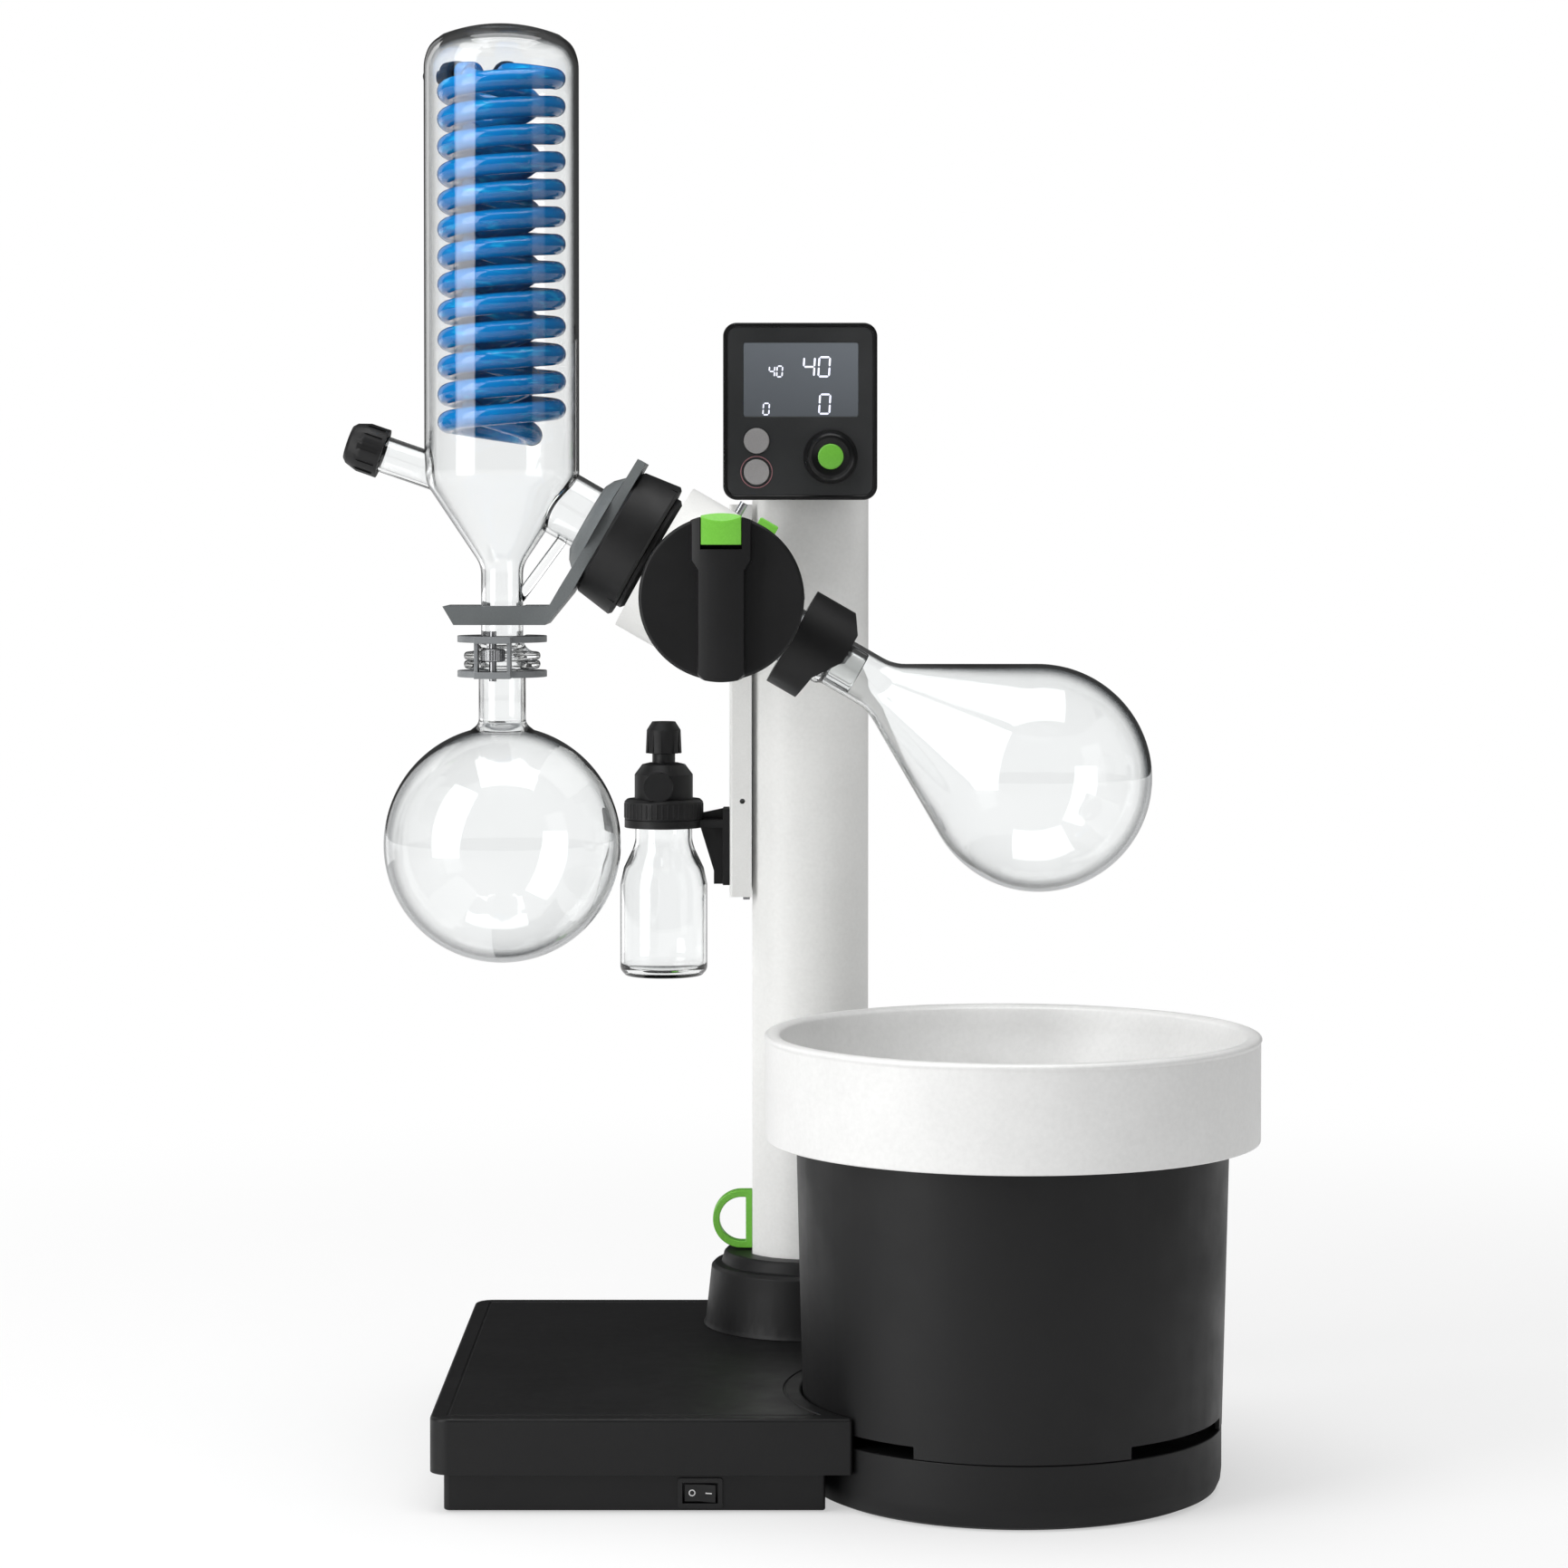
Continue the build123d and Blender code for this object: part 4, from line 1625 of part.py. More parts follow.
with BuildPart() as bottle_cap:
    spun(
        [
            (BOTTLE_NECK + 0.1, CAP_LOW + 5),
            (CAP_RADIUS, CAP_LOW + 5),
            (CAP_RADIUS, CAP_HIGH - 1.5),
            (CAP_RADIUS - 1.5, CAP_HIGH),
            (VALVE_RADIUS, CAP_HIGH),
            (VALVE_RADIUS, VALVE_HIGH - 7),
            (VALVE_RADIUS - 4.5, VALVE_HIGH - 1),
            (VENT_STEM_RADIUS + 2, VALVE_HIGH),
            (VENT_STEM_RADIUS, VALVE_HIGH),
            (VENT_STEM_RADIUS, VENT_KNOB_LOW - 0.5),
            (4.0, VENT_KNOB_LOW - 0.5),
            (4.0, VALVE_HIGH - 4),
            (0, VALVE_HIGH - 4),
            (0, CAP_HIGH - 3.9),
            (BOTTLE_NECK + 0.1, CAP_HIGH - 3.9),
        ],
        upright(BOTTLE_X, BOTTLE_Y),
        BOTTLE_AXIS,
    )
    with BuildSketch(facing(BOTTLE_Y - VALVE_RADIUS + 4)):
        with Locations((BOTTLE_X - 2.5, CAP_HIGH + 8)):
            Circle(8.6)
    extrude(amount=9)
    with BuildSketch(facing(BOTTLE_Y + VALVE_RADIUS - 4)):
        with Locations((BOTTLE_X, CAP_HIGH + 8)):
            Circle(BARB_RADIUS + 2.4)
    extrude(amount=-5.2)
    with BuildSketch(facing(BOTTLE_Y + VALVE_RADIUS - 4)):
        with Locations((BOTTLE_X, CAP_HIGH + 8)):
            Circle(BARB_RADIUS)
    extrude(amount=-BARB_LENGTH - 8)
bottle_cap.part.label = "bottle_cap"

with BuildPart() as vent_knob:
    spun(
        [
            (0, VALVE_HIGH - 3.6),
            (4.0 - RUNNING, VALVE_HIGH - 3.6),
            (4.0 - RUNNING, VENT_KNOB_LOW),
            (VENT_KNOB_RADIUS, VENT_KNOB_LOW),
            (VENT_KNOB_RADIUS - 0.6, VENT_KNOB_HIGH - 5),
            (VENT_KNOB_RADIUS - 3.8, VENT_KNOB_HIGH),
            (0, VENT_KNOB_HIGH),
        ],
        upright(BOTTLE_X, BOTTLE_Y),
        BOTTLE_AXIS,
    )
    with BuildSketch(Plane.XY.offset(VENT_KNOB_LOW - 1)):
        with Locations((BOTTLE_X, BOTTLE_Y)):
            with PolarLocations(VENT_KNOB_RADIUS, 12):
                Rectangle(1.4, 2.0)
    extrude(amount=VENT_KNOB_HIGH, mode=Mode.SUBTRACT)
vent_knob.part.label = "vent_knob"

# Bottle bracket: a ring under the cap, a gusset and a foot on the carriage strip
FOOT_LEFT = STRIP_LEFT - 9.5
with BuildPart() as bottle_bracket:
    with BuildSketch(Plane.XY.offset(CAP_LOW)):
        with Locations((BOTTLE_X, BOTTLE_Y)):
            Circle(CAP_RADIUS)
        with Locations(((BOTTLE_X + STRIP_LEFT) / 2, BOTTLE_Y + 4)):
            Rectangle(STRIP_LEFT - BOTTLE_X, 24)
        with Locations((BOTTLE_X, BOTTLE_Y)):
            Circle(BOTTLE_NECK + CLEAR, mode=Mode.SUBTRACT)
    extrude(amount=4.7)
    with BuildSketch(facing(BOTTLE_Y + 7)):
        with BuildLine():
            Polyline(
                (FOOT_LEFT - 8, CAP_LOW),
                (FOOT_LEFT, CAP_LOW - 26),
                (FOOT_LEFT, CAP_LOW - 34),
                (STRIP_LEFT, CAP_LOW - 34),
                (STRIP_LEFT, CAP_LOW + 11),
                (STRIP_LEFT - 3, CAP_LOW + 11),
                (FOOT_LEFT - 8, CAP_LOW + 8),
                close=True,
            )
        make_face()
    extrude(amount=6)
    with BuildSketch(facing(BOTTLE_Y + 16)):
        with Locations((STRIP_LEFT - 2, CAP_LOW - 11.5)):
            Rectangle(4, 45)
    extrude(amount=24)
    with BuildSketch(Plane.XY.offset(CAP_LOW + 5)):
        with Locations((BOTTLE_X, BOTTLE_Y)):
            Circle(CAP_RADIUS + CLEAR)
    extrude(amount=20, mode=Mode.SUBTRACT)
bottle_bracket.part.label = "bottle_bracket"

# Bath dock: the powered base that the bath stands on, with its coupler hub in the middle
with BuildPart() as bath_dock:
    spun(
        [
            (0, 0),
            (DOCK_FOOT_RADIUS, 0),
            (DOCK_FOOT_RADIUS + 4.6, 2),
            (DOCK_RADIUS - 0.6, 6.5),
            (DOCK_RADIUS, 12),
            (DOCK_RADIUS, DOCK_TOP),
            (COUPLER_RADIUS, DOCK_TOP),
            (COUPLER_RADIUS - 1, DOCK_TOP + 7),
            (COUPLER_RADIUS - 2, DOCK_TOP + 8),
            (0, DOCK_TOP + 8),
            (0, DOCK_TOP + 4),
            (COUPLER_RADIUS - 5, DOCK_TOP + 4),
            (COUPLER_RADIUS - 5, DOCK_TOP - DOCK_WALL),
            (DOCK_RADIUS - DOCK_WALL, DOCK_TOP - DOCK_WALL),
            (DOCK_RADIUS - DOCK_WALL, 12),
            (DOCK_FOOT_RADIUS - 1, DOCK_WALL),
            (0, DOCK_WALL),
        ],
        upright(0, 0),
        Axis.Z,
    )
bath_dock.part.label = "bath_dock"

# Bath shell: the tapered outer wall, its floor with the coupler's socket, and finger notches
SHELL_FLOOR = SHELL_LOW + NOTCH_HEIGHT + 1.0
SOCKET_TOP = DOCK_TOP + 8 + 2 * CLEAR
with BuildPart() as bath_shell:
    spun(
        [
            (SHELL_LOW_RADIUS, SHELL_LOW),
            (SHELL_TOP_RADIUS, SHELL_TOP),
            (SHELL_TOP_RADIUS - SHELL_WALL, SHELL_TOP - RIM_SLOPE * SHELL_WALL),
            (SHELL_LOW_RADIUS - SHELL_WALL, SHELL_FLOOR + SHELL_WALL),
            (COUPLER_RADIUS + 3, SHELL_FLOOR + SHELL_WALL),
            (COUPLER_RADIUS + 3, SOCKET_TOP + SHELL_WALL),
            (0, SOCKET_TOP + SHELL_WALL),
            (0, SOCKET_TOP),
            (COUPLER_RADIUS + CLEAR, SOCKET_TOP),
            (COUPLER_RADIUS + CLEAR, SHELL_LOW),
            (COUPLER_RADIUS + 3, SHELL_LOW),
            (COUPLER_RADIUS + 3, SHELL_FLOOR),
            (SHELL_LOW_RADIUS - SHELL_WALL, SHELL_FLOOR),
            (SHELL_LOW_RADIUS - SHELL_WALL, SHELL_LOW),
        ],
        upright(0, 0),
        Axis.Z,
    )
    for notch in (270 + NOTCH_START, 270 - NOTCH_END, 90 + NOTCH_START, 90 - NOTCH_END):
        spun(
            [
                (SHELL_LOW_RADIUS - 5, SHELL_LOW - 1),
                (SHELL_LOW_RADIUS + 5, SHELL_LOW - 1),
                (SHELL_LOW_RADIUS + 5, SHELL_LOW + NOTCH_HEIGHT),
                (SHELL_LOW_RADIUS - 5, SHELL_LOW + NOTCH_HEIGHT),
            ],
            upright(0, 0, notch),
            Axis.Z,
            Mode.SUBTRACT,
            NOTCH_END - NOTCH_START,
        )
bath_shell.part.label = "bath_shell"

# Bath vessel: the pot, its flared wall and the broad band round the rim
with BuildPart() as bath_vessel:
    spun(
        [
            (RIM_RADIUS, BAND_LOW),
            (RIM_RADIUS, RIM_TOP - 3.5),
            (RIM_LIP, RIM_TOP - 2.4),
            (RIM_LIP - 0.8, RIM_TOP - 0.8),
            (RIM_LIP - 3, RIM_TOP),
            (RIM_INNER + 4, RIM_TOP - 0.3),
            (RIM_INNER + 1.2, RIM_TOP - 1.8),
            (RIM_INNER, RIM_TOP - 5),
            (RIM_INNER - 2.6, RIM_TOP - 18),
            (POT_RADIUS + 4.5, 207),
            (POT_RADIUS, 192),
            (POT_RADIUS - 3, POT_FLOOR + 14),
            (POT_RADIUS - 7, POT_FLOOR + 4),
            (POT_RADIUS - 17, POT_FLOOR),
            (0, POT_FLOOR),
            (0, POT_FLOOR - BATH_WALL),
            (POT_RADIUS - 16, POT_FLOOR - BATH_WALL),
            (POT_RADIUS - 5, POT_FLOOR + 2),
            (POT_RADIUS - 0.4, POT_FLOOR + 13),
            (POT_RADIUS + BATH_WALL, 191),
            (POT_RADIUS + 6.6, RIM_FOOT),
            (RIM_INNER, RIM_TOP - 21),
            (RIM_RADIUS - 3, RIM_TOP - 12),
            (RIM_RADIUS - 3, BAND_LOW),
        ],
        upright(0, 0),
        Axis.Z,
    )
bath_vessel.part.label = "bath_vessel"

# Ring heater under the pot
with BuildPart() as ring_heater:
    with BuildSketch(upright(0, 0)):
        with Locations((HEATER_RADIUS, POT_FLOOR - BATH_WALL - HEATER_TUBE)):
            Circle(HEATER_TUBE)
    revolve(axis=Axis.Z)
ring_heater.part.label = "ring_heater"

PIECES = [
    base_cover.part,
    base_plinth.part,
    chassis_plate.part,
    base_feet.part,
    power_board.part,
    power_inlet.part,
    switch_bezel.part,
    power_rocker.part,
    column_tube.part,
    column_cap.part,
    column_collar.part,
    hose_loop.part,
    guide_shoes.part,
    panel_housing.part,
    panel_face.part,
    display_window.part,
    control_board.part,
    set_button,
    stop_button,
    encoder_shaft.part,
    knob.part,
    knob_cap.part,
    panel_bracket.part,
    head_casing.part,
    drive_arm.part,
    bearings.part,
    spindle.part,
    spindle_pulley.part,
    motor_pulley.part,
    drive_belt.part,
    motor.part,
    grip_hub.part,
    lift_release.part,
    spindle_lock.part,
    casing_pin.part,
    flask_clip.part,
    evaporating_flask.part,
    vapour_duct.part,
    union_collar.part,
    duct_seal.part,
    union_nut.part,
    condenser_jacket.part,
    port_cap.part,
    outer_coil.part,
    inner_coil.part,
    hose_connectors.part,
    condenser_bracket.part,
    receiving_flask.part,
    joint_clamp.part,
    clamp_screw.part,
    carriage_cover.part,
    carriage_rail.part,
    safety_bottle.part,
    bottle_cap.part,
    vent_knob.part,
    bottle_bracket.part,
    bath_dock.part,
    bath_shell.part,
    bath_vessel.part,
    ring_heater.part,
]

os.makedirs("parts", exist_ok=True)
for piece in PIECES:
    export_step(piece, f"parts/{piece.label}.step")
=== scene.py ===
"""Rotary evaporator with a coil condenser and a heating bath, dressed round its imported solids."""

import json
import logging
import math
from collections.abc import Sequence
from dataclasses import dataclass
from enum import Enum

import bmesh
import bpy
from mathutils import Matrix, Vector
from mathutils.bvhtree import BVHTree


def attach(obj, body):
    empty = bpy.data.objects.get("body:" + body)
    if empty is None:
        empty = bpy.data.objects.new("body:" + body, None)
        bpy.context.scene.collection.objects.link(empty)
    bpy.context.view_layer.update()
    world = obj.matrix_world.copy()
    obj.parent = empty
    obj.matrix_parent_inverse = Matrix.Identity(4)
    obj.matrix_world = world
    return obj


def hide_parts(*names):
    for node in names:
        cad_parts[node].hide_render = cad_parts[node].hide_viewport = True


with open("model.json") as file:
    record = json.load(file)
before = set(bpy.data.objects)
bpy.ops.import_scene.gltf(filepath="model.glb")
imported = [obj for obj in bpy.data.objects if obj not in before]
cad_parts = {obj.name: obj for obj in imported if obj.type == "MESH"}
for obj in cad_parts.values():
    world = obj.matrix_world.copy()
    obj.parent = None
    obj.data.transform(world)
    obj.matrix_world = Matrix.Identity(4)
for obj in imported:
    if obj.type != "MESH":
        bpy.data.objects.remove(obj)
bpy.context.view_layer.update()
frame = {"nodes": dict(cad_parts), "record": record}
LOG = logging.getLogger("evaporator")
MM = 0.001
# A solid's welded vertices lie this close, and its flat parts turn by less than this, in mm and degrees
WELD_GAP = 0.004
FLAT_TURN = 0.3
# Straight steps in half a turn of a wound tube
STEPS_IN_HALF_TURN = 24.0
NODE_SLOTS = {row["node"]: row["material_slot"] for row in frame["record"]["subparts"]}
NODE_BODIES = {
    node: body for body, nodes in frame["record"]["behaviour"]["bodies"].items() for node in nodes
}
Profile = list[tuple[float, float]]


def linear(code: str) -> tuple[float, float, float, float]:
    """Turn an sRGB hex value into linear light.

    Args:
        code: A hash and six hex digits.

    Returns:
        Linear red, green and blue, and an alpha of 1.
    """
    values = [int(code[at : at + 2], 16) / 255 for at in (1, 3, 5)]
    red, green, blue = (v / 12.92 if v <= 0.04045 else ((v + 0.055) / 1.055) ** 2.4 for v in values)
    return red, green, blue, 1.0


def add_node(
    tree: bpy.types.NodeTree,
    kind: str,
    settings: dict[str | int, object] | None = None,
    links: dict[str | int, bpy.types.NodeSocket] | None = None,
) -> bpy.types.Node:
    """Add one node with its settings and its links.

    Args:
        tree: The node tree that gets the node.
        kind: The node's type name.
        settings: Properties and input sockets of the node, with their values.
        links: Input sockets of the node, with the output sockets that feed them.

    Returns:
        The new node.
    """
    node = tree.nodes.new(kind)
    for key, value in (settings or {}).items():
        if isinstance(key, str) and hasattr(node, key):
            setattr(node, key, value)
        else:
            node.inputs[key].default_value = value
    for key, source in (links or {}).items():
        tree.links.new(source, node.inputs[key])
    return node


def blank_material(name: str) -> tuple[bpy.types.Material, bpy.types.NodeTree]:
    """Make a material with an empty node tree.

    Args:
        name: The material's name.

    Returns:
        The material and its node tree.
    """
    material = bpy.data.materials.new(name)
    material.use_nodes = True
    material.node_tree.nodes.clear()
    return material, material.node_tree


@dataclass(frozen=True)
class Recipe:
    """A finish's name and main colour, and the steps that every finish shares."""

    name: str
    tint: str

    def shader(self, tree: bpy.types.NodeTree, place: bpy.types.NodeSocket) -> bpy.types.NodeSocket:
        """Add the finish's own nodes.

        Args:
            tree: The material's node tree.
            place: The place on the piece, in metres.

        Returns:
            The shader's output.
        """
        raise NotImplementedError

    def build(self) -> bpy.types.Material:
        """Make the material's node tree and return the material."""
        material, tree = blank_material(self.name)
        place = add_node(tree, "ShaderNodeTexCoord").outputs["Object"]
        add_node(tree, "ShaderNodeOutputMaterial", links={"Surface": self.shader(tree, place)})
        return material


@dataclass(frozen=True)
class Surface(Recipe):
    """Opaque finish: fine grain in the relief, soft mottling in the colour, wiped patches in the gloss.

    Sizes are in millimetres: grain is the distance between grains, relief their height and patch the
    width of a wiped patch. stretch squeezes the grain along an axis, as turning or drawing does.
    """

    deep: str
    roughness: float
    grain: float
    relief: float
    ior: float = 1.5
    metallic: float = 0.0
    coat: float = 0.0
    patch: float = 40.0
    stretch: tuple[float, float, float] = (1.0, 1.0, 1.0)
    spread: float = 0.06
    shine: float = 0.5

    def shader(self, tree: bpy.types.NodeTree, place: bpy.types.NodeSocket) -> bpy.types.NodeSocket:
        """Add the finish's own nodes and return the shader's output."""
        drawn = add_node(tree, "ShaderNodeMapping", {"Scale": self.stretch}, {"Vector": place}).outputs[0]
        grain = add_node(
            tree,
            "ShaderNodeTexNoise",
            {"Scale": 1 / (self.grain * MM), "Detail": 3.0, "Roughness": 0.6},
            {"Vector": drawn},
        ).outputs["Fac"]
        patch = add_node(
            tree,
            "ShaderNodeTexNoise",
            {"Scale": 1 / (self.patch * MM), "Detail": 4.0, "Roughness": 0.55},
            {"Vector": place},
        ).outputs["Fac"]
        mixed = add_node(
            tree, "ShaderNodeMath", {"operation": "ADD"}, {0: patch, 1: grain}
        ).outputs[0]
        share = add_node(
            tree, "ShaderNodeMapRange", {"From Min": 0.75, "From Max": 1.25}, {"Value": mixed}
        ).outputs[0]
        colour = add_node(
            tree,
            "ShaderNodeMix",
            {"data_type": "RGBA", 6: linear(self.deep), 7: linear(self.tint)},
            {0: share},
        ).outputs[2]
        rough = add_node(
            tree,
            "ShaderNodeMapRange",
            {
                "From Min": 0.35,
                "From Max": 0.65,
                "To Min": self.roughness - self.spread,
                "To Max": self.roughness + self.spread,
            },
            {"Value": patch},
        ).outputs[0]
        bump = add_node(
            tree, "ShaderNodeBump", {"Strength": 0.7, "Distance": self.relief * MM}, {"Height": grain}
        ).outputs[0]
        shader = add_node(
            tree,
            "ShaderNodeBsdfPrincipled",
            {
                "Metallic": self.metallic,
                "IOR": self.ior,
                "Specular IOR Level": self.shine,
                "Coat Weight": self.coat,
                "Coat Roughness": 0.12,
            },
            {"Base Color": colour, "Roughness": rough, "Normal": bump},
        )
        return shader.outputs[0]


@dataclass(frozen=True)
class Glass(Recipe):
    """Clear blown glass: the tint deepens where the wall is seen edge on, as its long path there does."""

    edge: str
    roughness: float = 0.0
    ior: float = 1.47
    onset: float = 0.62
    full: float = 0.84
    gloss: float = 0.35

    def shader(self, tree: bpy.types.NodeTree, place: bpy.types.NodeSocket) -> bpy.types.NodeSocket:
        """Add the finish's own nodes and return the shader's output."""
        facing = add_node(tree, "ShaderNodeLayerWeight", {"Blend": 0.5}).outputs["Facing"]
        share = add_node(
            tree,
            "ShaderNodeMapRange",
            {"interpolation_type": "SMOOTHSTEP", "From Min": self.onset, "From Max": self.full},
            {"Value": facing},
        ).outputs[0]
        colour = add_node(
            tree,
            "ShaderNodeMix",
            {"data_type": "RGBA", 6: linear(self.tint), 7: linear(self.edge)},
            {0: share},
        ).outputs[2]
        waves = add_node(
            tree, "ShaderNodeTexNoise", {"Scale": 1 / (28 * MM), "Detail": 1.0}, {"Vector": place}
        ).outputs["Fac"]
        bump = add_node(
            tree, "ShaderNodeBump", {"Strength": 0.25, "Distance": 0.3 * MM}, {"Height": waves}
        ).outputs[0]
        shader = add_node(
            tree,
            "ShaderNodeBsdfPrincipled",
            {
                "Roughness": self.roughness,
                "IOR": self.ior,
                "Transmission Weight": 1.0,
                "Specular IOR Level": self.gloss,
            },
            {"Base Color": colour, "Normal": bump},
        ).outputs[0]
        through = add_node(tree, "ShaderNodeBsdfTransparent", {"Color": (0.9, 0.9, 0.9, 1.0)}).outputs[0]
        lamp = add_node(tree, "ShaderNodeLightPath").outputs["Is Shadow Ray"]
        both = add_node(tree, "ShaderNodeMixShader", links={0: lamp, 1: shader, 2: through})
        return both.outputs[0]


@dataclass(frozen=True)
class Coolant(Recipe):
    """Blue coolant in a glass tube: milky, with painted shade at its edges and lighter streaks from
    noise.
    """

    streak: str
    edge: str

    def shader(self, tree: bpy.types.NodeTree, place: bpy.types.NodeSocket) -> bpy.types.NodeSocket:
        """Add the finish's own nodes and return the shader's output."""
        drawn = add_node(
            tree, "ShaderNodeMapping", {"Scale": (0.3, 0.3, 1.6)}, {"Vector": place}
        ).outputs[0]
        # Lighter streaks, scattered at random by a noise drawn out into flat bands
        streak_noise = add_node(
            tree,
            "ShaderNodeTexNoise",
            {"Scale": 1 / (6 * MM), "Detail": 4.0, "Distortion": 1.2},
            {"Vector": drawn},
        ).outputs["Fac"]
        streak_share = add_node(
            tree, "ShaderNodeMapRange", {"From Min": 0.56, "From Max": 0.72}, {"Value": streak_noise}
        ).outputs[0]
        body = add_node(
            tree,
            "ShaderNodeMix",
            {"data_type": "RGBA", 6: linear(self.tint), 7: linear(self.streak)},
            {0: streak_share},
        ).outputs[2]
        # Painted shade: the colour goes over to the edge colour where the tube is seen edge on
        facing = add_node(tree, "ShaderNodeLayerWeight", {"Blend": 0.5}).outputs["Facing"]
        share = add_node(
            tree, "ShaderNodeMapRange", {"From Min": 0.45, "From Max": 0.95}, {"Value": facing}
        ).outputs[0]
        colour = add_node(
            tree,
            "ShaderNodeMix",
            {"data_type": "RGBA", 7: linear(self.edge)},
            {0: share, 6: body},
        ).outputs[2]
        shader = add_node(
            tree,
            "ShaderNodeBsdfPrincipled",
            {
                "Roughness": 0.12,
                "IOR": 1.36,
                "Specular IOR Level": 0.25,
                "Subsurface Weight": 0.35,
                "Subsurface Radius": (0.2, 0.7, 1.0),
                "Subsurface Scale": 6 * MM,
            },
            {"Base Color": colour},
        )
        return shader.outputs[0]


@dataclass(frozen=True)
class Lit(Recipe):
    """Backlit display finish: its colour fades across the glass, and glows a little by itself."""

    deep: str
    glow: float
    roughness: float
    start: float
    end: float

    def shader(self, tree: bpy.types.NodeTree, place: bpy.types.NodeSocket) -> bpy.types.NodeSocket:
        """Add the finish's own nodes and return the shader's output."""
        axes = add_node(tree, "ShaderNodeSeparateXYZ", links={0: place})
        fade = add_node(
            tree,
            "ShaderNodeMapRange",
            {"From Min": self.start * MM, "From Max": self.end * MM},
            {"Value": axes.outputs["Z"]},
        ).outputs[0]
        grain = add_node(
            tree, "ShaderNodeTexNoise", {"Scale": 1 / (0.5 * MM), "Detail": 2.0}, {"Vector": place}
        ).outputs["Fac"]
        share = add_node(
            tree,
            "ShaderNodeMath",
            {"operation": "MULTIPLY_ADD", "use_clamp": True, 1: 0.12},
            {0: grain, 2: fade},
        ).outputs[0]
        colour = add_node(
            tree,
            "ShaderNodeMix",
            {"data_type": "RGBA", 6: linear(self.deep), 7: linear(self.tint)},
            {0: share},
        ).outputs[2]
        shader = add_node(
            tree,
            "ShaderNodeBsdfPrincipled",
            {"Roughness": self.roughness, "IOR": 1.5, "Emission Strength": self.glow},
            {"Base Color": colour, "Emission Color": colour},
        )
        return shader.outputs[0]


@dataclass(frozen=True)
class Board(Recipe):
    """Printed circuit board: green mask over copper tracks in a square grid."""

    track: str
    grid: float

    def shader(self, tree: bpy.types.NodeTree, place: bpy.types.NodeSocket) -> bpy.types.NodeSocket:
        """Add the finish's own nodes and return the shader's output."""
        cells = add_node(
            tree,
            "ShaderNodeTexVoronoi",
            {"feature": "DISTANCE_TO_EDGE", "Scale": 1 / (self.grid * MM), "Randomness": 0.35},
            {"Vector": place},
        ).outputs["Distance"]
        line = add_node(
            tree, "ShaderNodeMapRange", {"From Min": 0.06, "From Max": 0.1}, {"Value": cells}
        ).outputs[0]
        colour = add_node(
            tree,
            "ShaderNodeMix",
            {"data_type": "RGBA", 6: linear(self.track), 7: linear(self.tint)},
            {0: line},
        ).outputs[2]
        coated = {"Roughness": 0.35, "Coat Weight": 0.4}
        shader = add_node(tree, "ShaderNodeBsdfPrincipled", coated, {"Base Color": colour})
        return shader.outputs[0]


